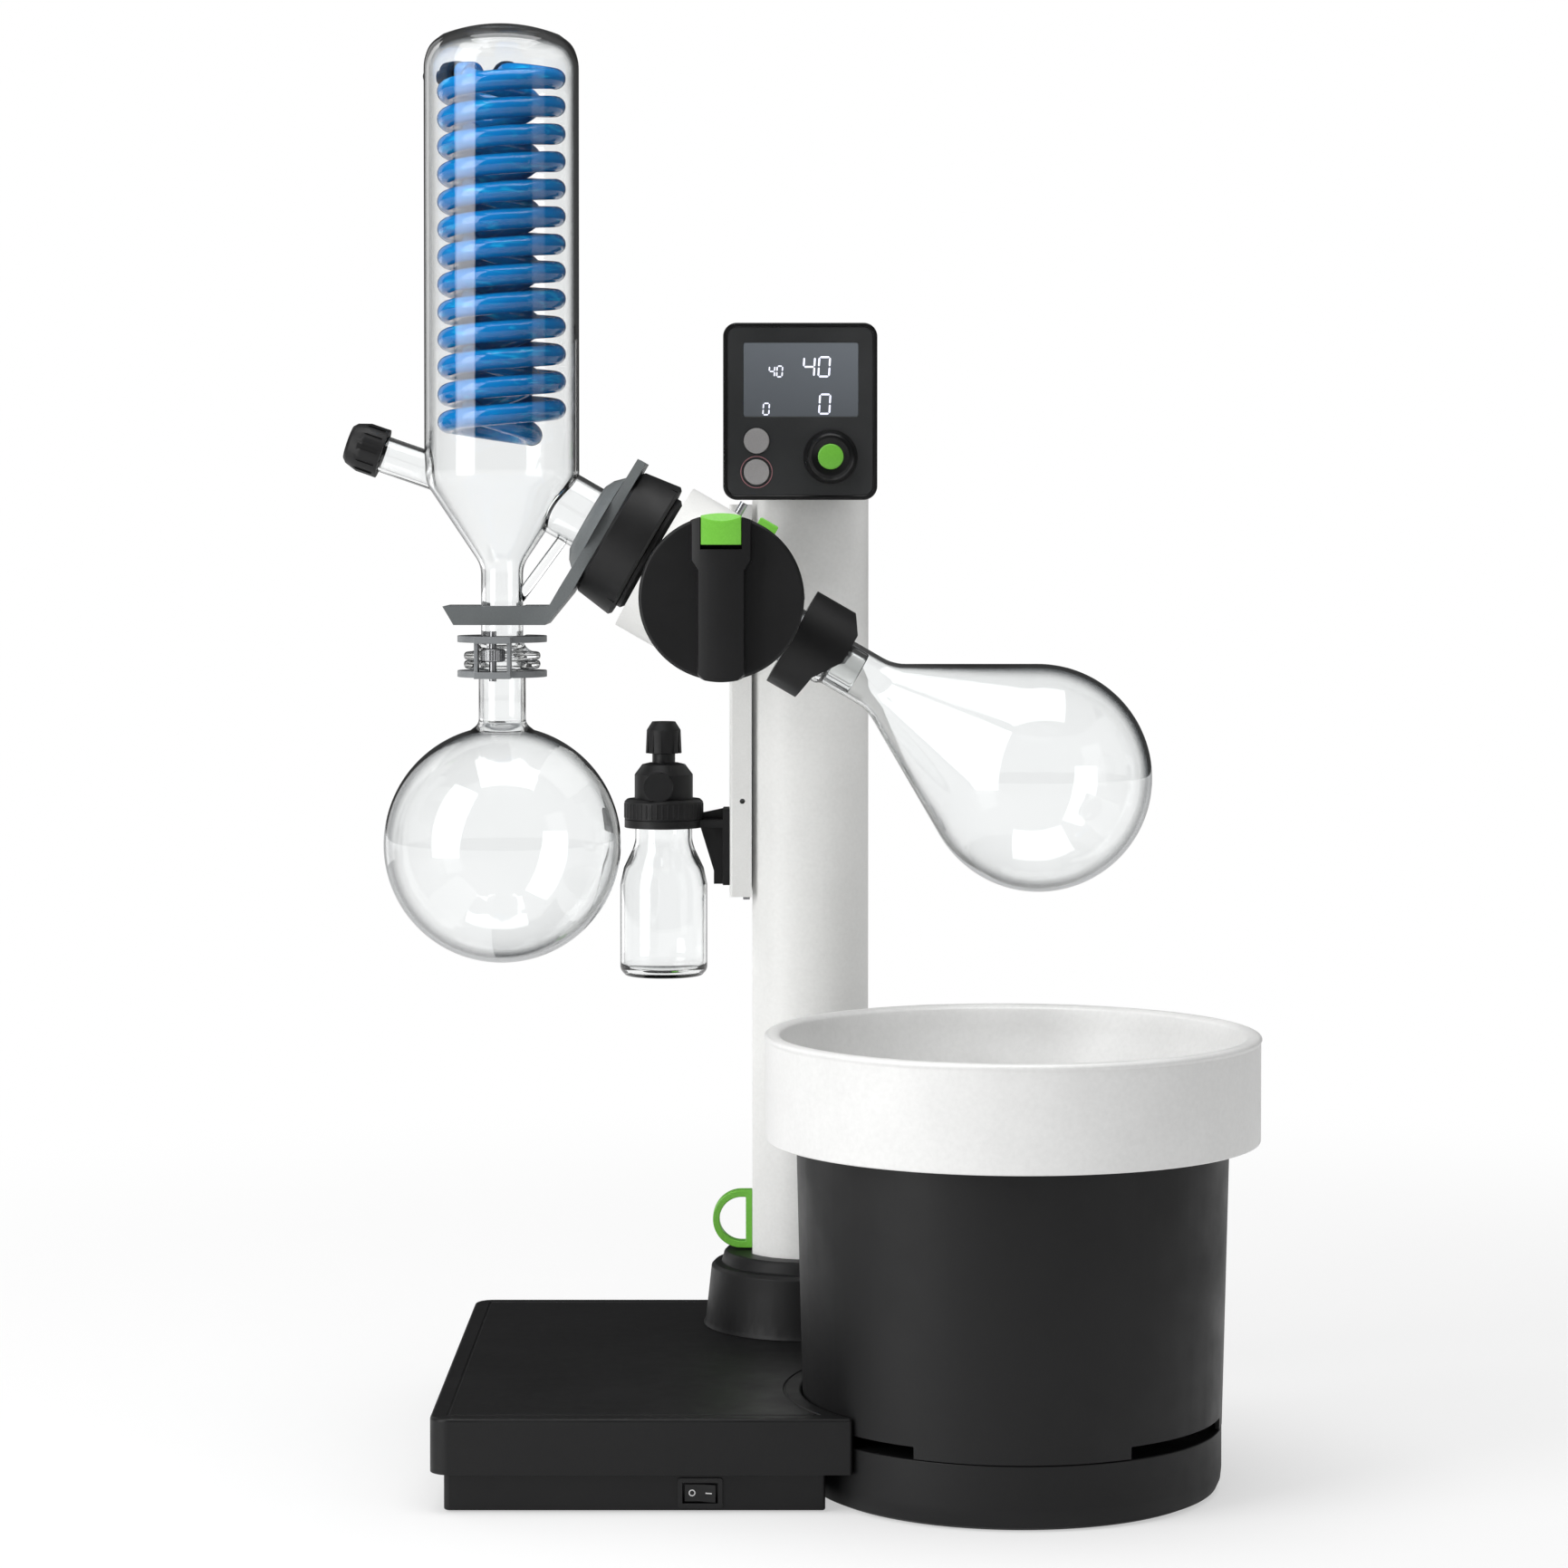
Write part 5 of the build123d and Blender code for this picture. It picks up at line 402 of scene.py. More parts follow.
class Finish(Enum):
    """The finishes that the pieces take, each for a real material and how its surface was made."""

    # ABS moulded in a spark-eroded tool: satin, with a grain that softens highlights
    WHITE_ABS = Surface("white_abs_moulded", "#EAEAE8", "#E3E3E1", 0.42, 0.9, 0.02, ior=1.52)
    # Powder coat on an aluminium extrusion: a faint orange peel
    WHITE_COAT = Surface("white_powder_coat", "#F1F1EF", "#EAEAE8", 0.38, 2.2, 0.03, ior=1.5)
    # Enamelled sheet of the bath: smoother and a little brighter
    POT_COAT = Surface("white_stoved_enamel", "#E6E6E5", "#DFDFDE", 0.34, 3.0, 0.02, ior=1.5)
    # Glass-filled polyamide, moulded with a fine texture: charcoal, with a dull shine
    BLACK_PA = Surface(
        "charcoal_polyamide_moulded", "#131314", "#0F0F10", 0.48, 0.8, 0.03, ior=1.53, shine=0.3
    )
    # ABS moulded in a polished tool: charcoal, and smoother than the polyamide
    BLACK_ABS = Surface(
        "charcoal_abs_polished_tool", "#101011", "#0C0C0D", 0.32, 1.2, 0.01, ior=1.52, shine=0.35
    )
    # Face plate: painted behind a hard clear coat
    FACE_PAINT = Surface("charcoal_face_paint", "#323334", "#2B2C2D", 0.36, 0.7, 0.01, coat=0.25)
    # Polypropylene, moulded, of the glass bracket: mid grey, with soft broad highlights
    GREY_PP = Surface("grey_polypropylene_moulded", "#686C6D", "#5E6263", 0.42, 1.0, 0.02, ior=1.49)
    # Polyamide, moulded, of the joint clamp: a lighter, duller grey than the bracket
    CLAMP_PA = Surface("grey_polyamide_moulded", "#7F8284", "#747779", 0.46, 0.8, 0.02, ior=1.53)
    # Silicone tinted red: a thin matt ring round the stop button
    RED_LIP = Surface("red_tinted_silicone", "#A06F74", "#94666B", 0.5, 0.6, 0.01, ior=1.43)
    # ABS coloured through, moulded: a bright green with a satin shine
    GREEN_ABS = Surface("green_abs_moulded", "#76C442", "#6CB93A", 0.34, 1.0, 0.01, ior=1.52)
    # Silicone, moulded: light grey and matt, as push buttons are
    BUTTON_GREY = Surface("grey_silicone_button", "#9D9B9B", "#929090", 0.5, 0.7, 0.02, ior=1.43)
    # Rubber, moulded: black, and too rough to mirror anything
    RUBBER = Surface("black_moulded_rubber", "#161616", "#101010", 0.72, 1.0, 0.04, ior=1.52)
    # PTFE, turned: waxy white
    PTFE = Surface("ptfe_machined", "#E6E6E0", "#DADAD2", 0.5, 0.6, 0.02, ior=1.38, stretch=(1, 1, 6))
    # Turned and ground stainless steel: fine lines round the axis
    STEEL = Surface(
        "stainless_steel_turned", "#A9AAAC", "#8F9092", 0.26, 0.5, 0.01, metallic=1.0, stretch=(1, 1, 8)
    )
    # Aluminium, drawn and anodised: pale, with long fine lines
    ALUMINIUM = Surface(
        "aluminium_anodised_drawn", "#B9BABC", "#A4A5A7", 0.36, 0.6, 0.01, metallic=1.0, stretch=(8, 1, 1)
    )
    # Glass fibre board under a green mask, which the copper tracks shine through
    CIRCUIT = Board("circuit_board_masked", "#0F4A25", "#3E7A3E", 2.5)
    # Borosilicate 3.3, blown: clear with a grey edge
    BOROSILICATE = Glass("borosilicate_blown", "#FCFDFD", "#5A5E61", onset=0.52, gloss=0.24)
    # Borosilicate 3.3, drawn thin: it takes the coolant's blue at its edge
    COIL_GLASS = Glass("borosilicate_drawn_tube", "#E2F4FC", "#3FA2D4", onset=0.72, gloss=0.12)
    # Soda glass of the small bottle: a heavier, greyer edge
    BOTTLE_GLASS = Glass("soda_glass_pressed", "#FBFCFC", "#4A4E50", ior=1.51)
    # Water dyed blue, darkened by painted shade where the tube is seen edge on, with lighter streaks from
    # a noise
    COOLANT = Coolant("blue_coolant", "#0084C8", "#18B4E4", "#006098")
    # Display glass, lit from behind: grey that fades upwards
    SCREEN = Lit("display_glass_backlit", "#6A6F75", "#575B60", 0.12, 0.16, 590.0, 636.0)
    # Display strokes, lit from behind: near white, and brighter than what is round them
    DIGIT = Lit("display_digit_backlit", "#E6E8F4", "#D8DAE8", 0.75, 0.4, 590.0, 636.0)
    # Pad-printed marks on the rocker
    MARK = Surface("white_pad_print", "#D9D9D9", "#CFCFCF", 0.5, 0.6, 0.01)


SLOT_FINISHES = {
    "white_plastic": Finish.WHITE_ABS,
    "white_metal": Finish.WHITE_COAT,
    "black_plastic": Finish.BLACK_PA,
    "grey_plastic": Finish.GREY_PP,
    "green_plastic": Finish.GREEN_ABS,
    "rubber": Finish.RUBBER,
    "fluoropolymer": Finish.PTFE,
    "steel": Finish.STEEL,
    "aluminium": Finish.ALUMINIUM,
    "circuit_board": Finish.CIRCUIT,
    "coated_pot": Finish.POT_COAT,
    "clear_glass": Finish.BOROSILICATE,
    "blue_glass": Finish.COOLANT,
}


class Palette:
    """The materials, each built once."""

    def __init__(self) -> None:
        """Start with no material built."""
        self.made: dict[Finish, bpy.types.Material] = {}

    def take(self, finish: Finish) -> bpy.types.Material:
        """Return the finish's material, built at its first use."""
        if finish not in self.made:
            self.made[finish] = finish.value.build()
        return self.made[finish]


PALETTE = Palette()


def axis_place(origin: Vector, direction: Vector) -> Matrix:
    """Matrix, in millimetres, that puts local Z on a direction and the local origin on a point.

    Args:
        origin: The point.
        direction: The direction.

    Returns:
        The matrix.
    """
    return Matrix.Translation(origin) @ direction.to_track_quat("Z", "Y").to_matrix().to_4x4()


def softened(profile: Sequence[tuple[float, float]], radius: float, steps: int = 4) -> Profile:
    """Round the corners of a profile.

    Args:
        profile: Its points.
        radius: How far from a corner the rounding starts, at most.
        steps: Steps in a rounding.

    Returns:
        The points with each sharp corner replaced by a curve.
    """
    points = [Vector(p) for p in profile]
    out = [points[0]]
    for before, corner, after in zip(points, points[1:], points[2:]):
        back, ahead = before - corner, after - corner
        if back.length < 1e-6 or ahead.length < 1e-6 or back.angle(-ahead) < math.radians(14):
            out.append(corner)
            continue
        reach = min(radius, back.length / 2.1, ahead.length / 2.1)
        start, end = corner + back.normalized() * reach, corner + ahead.normalized() * reach
        for step in range(steps + 1):
            t = step / steps
            out.append((1 - t) ** 2 * start + 2 * t * (1 - t) * corner + t * t * end)
    out.append(points[-1])
    return [(p.x, p.y) for p in out]


def arc(middle: float, radius: float, start: float, end: float, steps: int) -> Profile:
    """Points of an arc about a point on the axis.

    Args:
        middle: Where on the axis its centre is.
        radius: Its radius.
        start: Its first angle from the axis, in degrees.
        end: Its last angle.
        steps: Steps from one to the other.

    Returns:
        The points as (along, radius).
    """
    angles = [math.radians(start + (end - start) * k / steps) for k in range(steps + 1)]
    return [(middle + radius * math.cos(a), abs(radius * math.sin(a))) for a in angles]


class Form:
    """A mesh being built in millimetres."""

    def __init__(self) -> None:
        """Start with an empty mesh."""
        self.mesh = bmesh.new()

    def lathe(
        self,
        profile: Sequence[tuple[float, float]],
        place: Matrix,
        sides: int = 96,
    ) -> "Form":
        """Turn a profile about local Z.

        Args:
            profile: Points as (along, radius).
            place: Where local Z lies.
            sides: Faces round the axis.

        Returns:
            The form itself.
        """
        turns = [2 * math.pi * k / sides for k in range(sides)]
        rings = []
        for along, radius in profile:
            spots = (
                [Vector((0, 0, along))]
                if radius < 1e-6
                else [Vector((radius * math.cos(t), radius * math.sin(t), along)) for t in turns]
            )
            rings.append([self.mesh.verts.new(place @ spot) for spot in spots])
        for low, high in zip(rings, rings[1:]):
            for k in range(sides):
                j = (k + 1) % sides
                a, b = low[k % len(low)], low[j % len(low)]
                c, d = high[j % len(high)], high[k % len(high)]
                corners = list(dict.fromkeys((a, b, c, d)))
                if len(corners) > 2:
                    self.mesh.faces.new(corners)
        return self

    def bar(self, start: Vector, end: Vector, radius: float, sides: int = 48) -> "Form":
        """Add a closed round bar between two points."""
        length = (end - start).length
        rim = [(0, 0), (0, radius), (length, radius), (length, 0)]
        return self.lathe(rim, axis_place(start, end - start), sides)

    def slab(self, outline: Profile, place: Matrix, thick: float) -> "Form":
        """Add a plate with that outline.

        Args:
            outline: Its corners in local X and Y.
            place: Where the local frame lies.
            thick: Its thickness along local Z.

        Returns:
            The form itself.
        """
        low = [self.mesh.verts.new(place @ Vector((x, y, 0))) for x, y in outline]
        high = [self.mesh.verts.new(place @ Vector((x, y, thick))) for x, y in outline]
        self.mesh.faces.new(low[::-1])
        self.mesh.faces.new(high)
        for k in range(len(low)):
            j = (k + 1) % len(low)
            self.mesh.faces.new((low[k], low[j], high[j], high[k]))
        return self

    def laid_on(self, node: str, direction: Vector, lift: float) -> "Form":
        """Press the form against a CAD node, so that a flat mark follows the face under it.

        Args:
            node: The CAD node.
            direction: The way in which the form is pressed.
            lift: How far the points stay off the face.

        Returns:
            The form itself.
        """
        target = bmesh.new()
        target.from_mesh(frame["nodes"][node].data)
        tree = BVHTree.FromBMesh(target)
        for vertex in self.mesh.verts:
            start = (vertex.co - direction * 50) * MM
            hit = tree.ray_cast(start, direction)[0]
            if hit is not None:
                depth = (hit / MM - vertex.co).dot(direction) - lift
                vertex.co += direction * depth
        target.free()
        return self

    def object(self, name: str, sharp: float = 32.0) -> bpy.types.Object:
        """Weld the form, point its faces outwards and make it an object in metres.

        Args:
            name: The object's name.
            sharp: Edges that turn by more than this many degrees stay sharp.

        Returns:
            The object, linked to the scene.
        """
        bmesh.ops.remove_doubles(self.mesh, verts=self.mesh.verts, dist=0.0005)
        bmesh.ops.recalc_face_normals(self.mesh, faces=self.mesh.faces)
        crease(self.mesh, sharp)
        bmesh.ops.scale(self.mesh, vec=(MM, MM, MM), verts=self.mesh.verts)
        data = bpy.data.meshes.new(name)
        self.mesh.to_mesh(data)
        self.mesh.free()
        piece = bpy.data.objects.new(name, data)
        bpy.context.scene.collection.objects.link(piece)
        return piece


def crease(mesh: bmesh.types.BMesh, sharp: float) -> None:
    """Shade a mesh smooth, with edges left sharp where it turns by more than an angle in degrees."""
    for face in mesh.faces:
        face.smooth = True
    for edge in mesh.edges:
        edge.smooth = len(edge.link_faces) != 2 or edge.calc_face_angle(0.0) < math.radians(sharp)


def baked_down(piece: bpy.types.Object) -> None:
    """Turn a piece's modifiers into its plain mesh."""
    seen = piece.evaluated_get(bpy.context.evaluated_depsgraph_get())
    data = bpy.data.meshes.new_from_object(seen)
    piece.modifiers.clear()
    piece.data = data


def fuse(piece: bpy.types.Object, others: list[bpy.types.Object], operation: str) -> None:
    """Join other objects to a piece, or cut them from it, and remove them.

    Args:
        piece: The object that changes.
        others: The objects that go into it.
        operation: UNION or DIFFERENCE.
    """
    for other in others:
        step = piece.modifiers.new("fuse", "BOOLEAN")
        step.solver = "EXACT"
        step.operation = operation
        step.object = other
    baked_down(piece)
    for other in others:
        bpy.data.objects.remove(other)


def weld(piece: bpy.types.Object, sharp: float, gap: float = 0.02) -> None:
    """Weld a fused piece's vertices and shade it smooth.

    Args:
        piece: The object.
        sharp: Edges that turn by more than this many degrees stay sharp.
        gap: How far apart welded vertices may be, in millimetres.
    """
    mesh = bmesh.new()
    mesh.from_mesh(piece.data)
    bmesh.ops.remove_doubles(mesh, verts=mesh.verts, dist=gap * MM)
    crease(mesh, sharp)
    mesh.to_mesh(piece.data)
    mesh.free()


def mounted(
    piece: bpy.types.Object,
    body: str,
    finish: Finish,
    nodes: tuple[str, ...] = (),
) -> bpy.types.Object:
    """Give a piece its material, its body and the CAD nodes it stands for.

    Args:
        piece: The finished object.
        body: The CAD body it rides on.
        finish: Its finish.
        nodes: The CAD nodes it stands for.

    Returns:
        The piece.
    """
    piece.data.materials.clear()
    piece.data.materials.append(PALETTE.take(finish))
    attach(piece, body)
    if nodes:
        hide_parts(*nodes)
    LOG.info("%s: %d faces on %s", piece.name, len(piece.data.polygons), body)
    return piece


def dressed(
    node: str, finish: Finish | None = None, edge: float = 0.3, sharp: float = 30.0
) -> bpy.types.Object:
    """Replace a CAD node by a welded copy with smooth shading and softened edges.

    Args:
        node: The CAD node.
        finish: Its finish, or None for its slot's usual one.
        edge: Width of the softened edges in millimetres, or 0 for none.
        sharp: Edges that turn by more than this many degrees are softened or stay sharp.

    Returns:
        The copy.
    """
    form = Form()
    form.mesh.from_mesh(frame["nodes"][node].data)
    bmesh.ops.scale(form.mesh, vec=(1 / MM,) * 3, verts=form.mesh.verts)
    bmesh.ops.remove_doubles(form.mesh, verts=form.mesh.verts, dist=WELD_GAP)
    flat = math.radians(FLAT_TURN)
    bmesh.ops.dissolve_limit(form.mesh, angle_limit=flat, verts=form.mesh.verts, edges=form.mesh.edges)
    crease(form.mesh, sharp)
    bmesh.ops.scale(form.mesh, vec=(MM,) * 3, verts=form.mesh.verts)
    data = bpy.data.meshes.new(node + "_dressed")
    form.mesh.to_mesh(data)
    form.mesh.free()
    piece = bpy.data.objects.new(node + "_dressed", data)
    bpy.context.scene.collection.objects.link(piece)
    if edge:
        soft = piece.modifiers.new("soft_edges", "BEVEL")
        soft.width = edge * MM
        soft.segments = 2
        soft.limit_method = "ANGLE"
        soft.angle_limit = math.radians(sharp)
        soft.miter_outer = "MITER_ARC"
    even = piece.modifiers.new("even_normals", "WEIGHTED_NORMAL")
    even.keep_sharp = True
    even.weight = 60
    slot = NODE_SLOTS[node]
    return mounted(piece, NODE_BODIES[node], finish or SLOT_FINISHES[slot], (node,))


def painted(*nodes: str) -> None:
    """Give CAD nodes that nothing leaves in view their slot's finish."""
    for node in nodes:
        data = frame["nodes"][node].data
        data.materials.clear()
        data.materials.append(PALETTE.take(SLOT_FINISHES[NODE_SLOTS[node]]))


def tree_input(
    tree: bpy.types.NodeTree, name: str, kind: str, value: object = None
) -> bpy.types.NodeTreeInterfaceSocket:
    """Add a named input to a geometry tree.

    Args:
        tree: The tree.
        name: The input's name.
        kind: Its socket type, without the prefix.
        value: Its default.

    Returns:
        The input.
    """
    socket = tree.interface.new_socket(name=name, in_out="INPUT", socket_type="NodeSocket" + kind)
    if value is not None:
        socket.default_value = value
    return socket


def opened_tree(
    name: str, given: str, inputs: tuple[tuple[str, str, object], ...]
) -> tuple[bpy.types.NodeTree, bpy.types.NodeOutputs]:
    """Start a geometry tree.

    Args:
        name: Its name.
        given: Name of the geometry that it takes.
        inputs: Its other inputs as (name, socket type, default).

    Returns:
        The tree and its group input's sockets.
    """
    tree = bpy.data.node_groups.new(name, "GeometryNodeTree")
    for title, kind, value in ((given, "Geometry", None), *inputs, ("Material", "Material", None)):
        tree_input(tree, title, kind, value)
    tree.interface.new_socket(name="Geometry", in_out="OUTPUT", socket_type="NodeSocketGeometry")
    return tree, add_node(tree, "NodeGroupInput").outputs


def closed_tree(
    tree: bpy.types.NodeTree, geometry: bpy.types.NodeSocket, material: bpy.types.NodeSocket
) -> bpy.types.NodeTree:
    """End a geometry tree: plain smooth geometry with its material.

    Args:
        tree: The tree.
        geometry: What it has made.
        material: The material that this gets.

    Returns:
        The tree.
    """
    real = add_node(tree, "GeometryNodeRealizeInstances", links={"Geometry": geometry})
    smooth = add_node(tree, "GeometryNodeSetShadeSmooth", links={"Geometry": real.outputs[0]})
    links = {"Geometry": smooth.outputs[0], "Material": material}
    dressing = add_node(tree, "GeometryNodeSetMaterial", links=links)
    add_node(tree, "NodeGroupOutput", links={0: dressing.outputs[0]})
    return tree


def run_tree(piece: bpy.types.Object, tree: bpy.types.NodeTree, values: dict[str, object]) -> None:
    """Run a geometry tree on a piece and keep the plain mesh that it makes.

    Args:
        piece: The object.
        tree: The tree.
        values: The tree's named inputs.
    """
    step = piece.modifiers.new("made", "NODES")
    step.node_group = tree
    names = {item.name: item.identifier for item in tree.interface.items_tree if item.in_out == "INPUT"}
    for name, value in values.items():
        step[names[name]] = value
    baked_down(piece)


def winding_tree() -> bpy.types.NodeTree:
    """Geometry tree of a wound tube: a helix by its rule, joined to the leads that it is given.

    Returns:
        The tree, with the helix's sizes and the tube's radius as named inputs.
    """
    inputs = (
        ("Coil Radius", "Float", 0.03),
        ("Pitch", "Float", 0.015),
        ("Half Turns", "Int", 25),
        ("Start Angle", "Float", 0.0),
        ("Hand", "Float", 1.0),
        ("Bottom", "Float", 0.5),
        ("Axis X", "Float", 0.0),
        ("Tube Radius", "Float", 0.005),
        ("Tube Sides", "Int", 20),
    )
    tree, given = opened_tree("wound_tube", "Leads", inputs)
    times, times_plus = {"operation": "MULTIPLY"}, {"operation": "MULTIPLY_ADD"}
    ends = {"Start": (0, 0, 0), "End": (0, 0, 1)}
    line = add_node(tree, "GeometryNodeCurvePrimitiveLine", ends)
    count = add_node(
        tree, "ShaderNodeMath", times_plus | {1: STEPS_IN_HALF_TURN, 2: 1.0}, {0: given["Half Turns"]}
    )
    steps = add_node(
        tree,
        "GeometryNodeResampleCurve",
        {"mode": "COUNT"},
        {"Curve": line.outputs[0], "Count": count.outputs[0]},
    )
    factor = add_node(tree, "GeometryNodeSplineParameter").outputs["Factor"]
    halves = add_node(tree, "ShaderNodeMath", times, {0: factor, 1: given["Half Turns"]}).outputs[0]
    swing = add_node(tree, "ShaderNodeMath", times | {1: math.pi}, {0: halves}).outputs[0]
    links = {0: swing, 1: given["Hand"], 2: given["Start Angle"]}
    turn = add_node(tree, "ShaderNodeMath", times_plus, links).outputs[0]
    cosine = add_node(tree, "ShaderNodeMath", {"operation": "COSINE"}, {0: turn}).outputs[0]
    sine = add_node(tree, "ShaderNodeMath", {"operation": "SINE"}, {0: turn}).outputs[0]
    links = {0: cosine, 1: given["Coil Radius"], 2: given["Axis X"]}
    across = add_node(tree, "ShaderNodeMath", times_plus, links).outputs[0]
    deep = add_node(tree, "ShaderNodeMath", times, {0: sine, 1: given["Coil Radius"]}).outputs[0]
    half_pitch = add_node(tree, "ShaderNodeMath", times | {1: 0.5}, {0: given["Pitch"]}).outputs[0]
    links = {0: halves, 1: half_pitch, 2: given["Bottom"]}
    high = add_node(tree, "ShaderNodeMath", times_plus, links).outputs[0]
    spot = add_node(tree, "ShaderNodeCombineXYZ", links={"X": across, "Y": deep, "Z": high}).outputs[0]
    helix = add_node(
        tree, "GeometryNodeSetPosition", links={"Geometry": steps.outputs[0], "Position": spot}
    )
    leads = add_node(tree, "GeometryNodeMeshToCurve", links={"Mesh": given["Leads"]})
    path = add_node(tree, "GeometryNodeJoinGeometry")
    tree.links.new(helix.outputs[0], path.inputs[0])
    tree.links.new(leads.outputs[0], path.inputs[0])
    ring = add_node(
        tree,
        "GeometryNodeCurvePrimitiveCircle",
        links={"Resolution": given["Tube Sides"], "Radius": given["Tube Radius"]},
    )
    tube = add_node(
        tree,
        "GeometryNodeCurveToMesh",
        links={"Curve": path.outputs[0], "Profile Curve": ring.outputs[0]},
    )
    return closed_tree(tree, tube.outputs[0], given["Material"])


def ribs_tree() -> bpy.types.NodeTree:
    """Geometry tree of a ring of rounded ribs round local Z.

    Returns:
        The tree, with the ribs' count and sizes as named inputs.
    """
    inputs = (
        ("Count", "Int", 12),
        ("Ring Radius", "Float", 0.01),
        ("Rib Width", "Float", 0.002),
        ("Rib Depth", "Float", 0.001),
        ("Rib Length", "Float", 0.01),
        ("Start", "Float", 0.0),
    )
    tree, given = opened_tree("ring_of_ribs", "Mesh", inputs)
    ring = add_node(
        tree,
        "GeometryNodeMeshCircle",
        links={"Vertices": given["Count"], "Radius": given["Ring Radius"]},
    )
    rod = add_node(
        tree,
        "GeometryNodeMeshCylinder",
        {"Vertices": 12, "Radius": 0.5},
        {"Depth": given["Rib Length"]},
    )
    shape = add_node(
        tree,
        "ShaderNodeCombineXYZ",
        {"Z": 1.0},
        {"X": given["Rib Depth"], "Y": given["Rib Width"]},
    )
    rib = add_node(
        tree, "GeometryNodeTransform", links={"Geometry": rod.outputs[0], "Scale": shape.outputs[0]}
    )
    number = add_node(tree, "GeometryNodeInputIndex").outputs[0]
    full = {"operation": "DIVIDE", 0: 2 * math.pi}
    step = add_node(tree, "ShaderNodeMath", full, {1: given["Count"]}).outputs[0]
    angle = add_node(tree, "ShaderNodeMath", {"operation": "MULTIPLY"}, {0: number, 1: step}).outputs[0]
    turn = add_node(tree, "ShaderNodeCombineXYZ", links={"Z": angle})
    placed = add_node(
        tree,
        "GeometryNodeInstanceOnPoints",
        links={"Points": ring.outputs[0], "Instance": rib.outputs[0], "Rotation": turn.outputs[0]},
    )
    half = {"operation": "MULTIPLY_ADD", 1: 0.5}
    links = {0: given["Rib Length"], 2: given["Start"]}
    middle = add_node(tree, "ShaderNodeMath", half, links).outputs[0]
    shift = add_node(tree, "ShaderNodeCombineXYZ", links={"Z": middle})
    moved = add_node(
        tree,
        "GeometryNodeTransform",
        links={"Geometry": placed.outputs[0], "Translation": shift.outputs[0]},
    )
    return closed_tree(tree, moved.outputs[0], given["Material"])


@dataclass
class Ribs:
    """A ring of grip ribs round a cap, in millimetres."""

    name: str
    body: str
    place: Matrix
    count: int
    ring: float
    width: float
    depth: float
    start: float
    length: float
    finish: Finish = Finish.BLACK_PA
    slot: str = "black_plastic"

    def build(self, tree: bpy.types.NodeTree) -> bpy.types.Object:
        """Make the ribs with the tree and return them."""
        piece = Form().object(self.name)
        run_tree(
            piece,
            tree,
            {
                "Count": self.count,
                "Ring Radius": self.ring * MM,
                "Rib Width": self.width * MM,
                "Rib Depth": self.depth * MM,
                "Rib Length": self.length * MM,
                "Start": self.start * MM,
                "Material": PALETTE.take(self.finish),
            },
        )
        place = self.place.copy()
        place.translation *= MM
        piece.data.transform(place)
        weld(piece, 50.0, 0.001)
        return mounted(piece, self.body, self.finish)


@dataclass
class Head:
    """The tilted drive head: its axis runs down to the right."""

    origin: Vector = Vector((-159.6, 0.0, 490.2))
    tilt: float = 30.0

    @property
    def spin(self) -> Vector:
        """Direction of the spin axis, towards the flask."""
        return Vector((math.cos(math.radians(self.tilt)), 0, -math.sin(math.radians(self.tilt))))

    @property
    def place(self) -> Matrix:
        """Frame whose Z is the spin axis."""
        return axis_place(self.origin, self.spin)

    def build(self) -> None:
        """Dress the casing, the grip hub, the clip and what is inside."""
        dressed("head_casing", edge=0.5)
        dressed("drive_arm", edge=0.5)
        dressed("grip_hub", Finish.BLACK_PA, edge=0.6)
        dressed("lift_release", edge=0.35)
        dressed("spindle_lock", edge=0.3)
        dressed("casing_pin", edge=0.2)
        dressed("flask_clip", edge=0.5)
        dressed("union_collar", edge=0.2)
        dressed("union_nut", Finish.BLACK_PA, edge=0.4)
        painted("bearings", "spindle", "spindle_pulley", "motor_pulley", "drive_belt", "motor")
        painted("duct_seal")


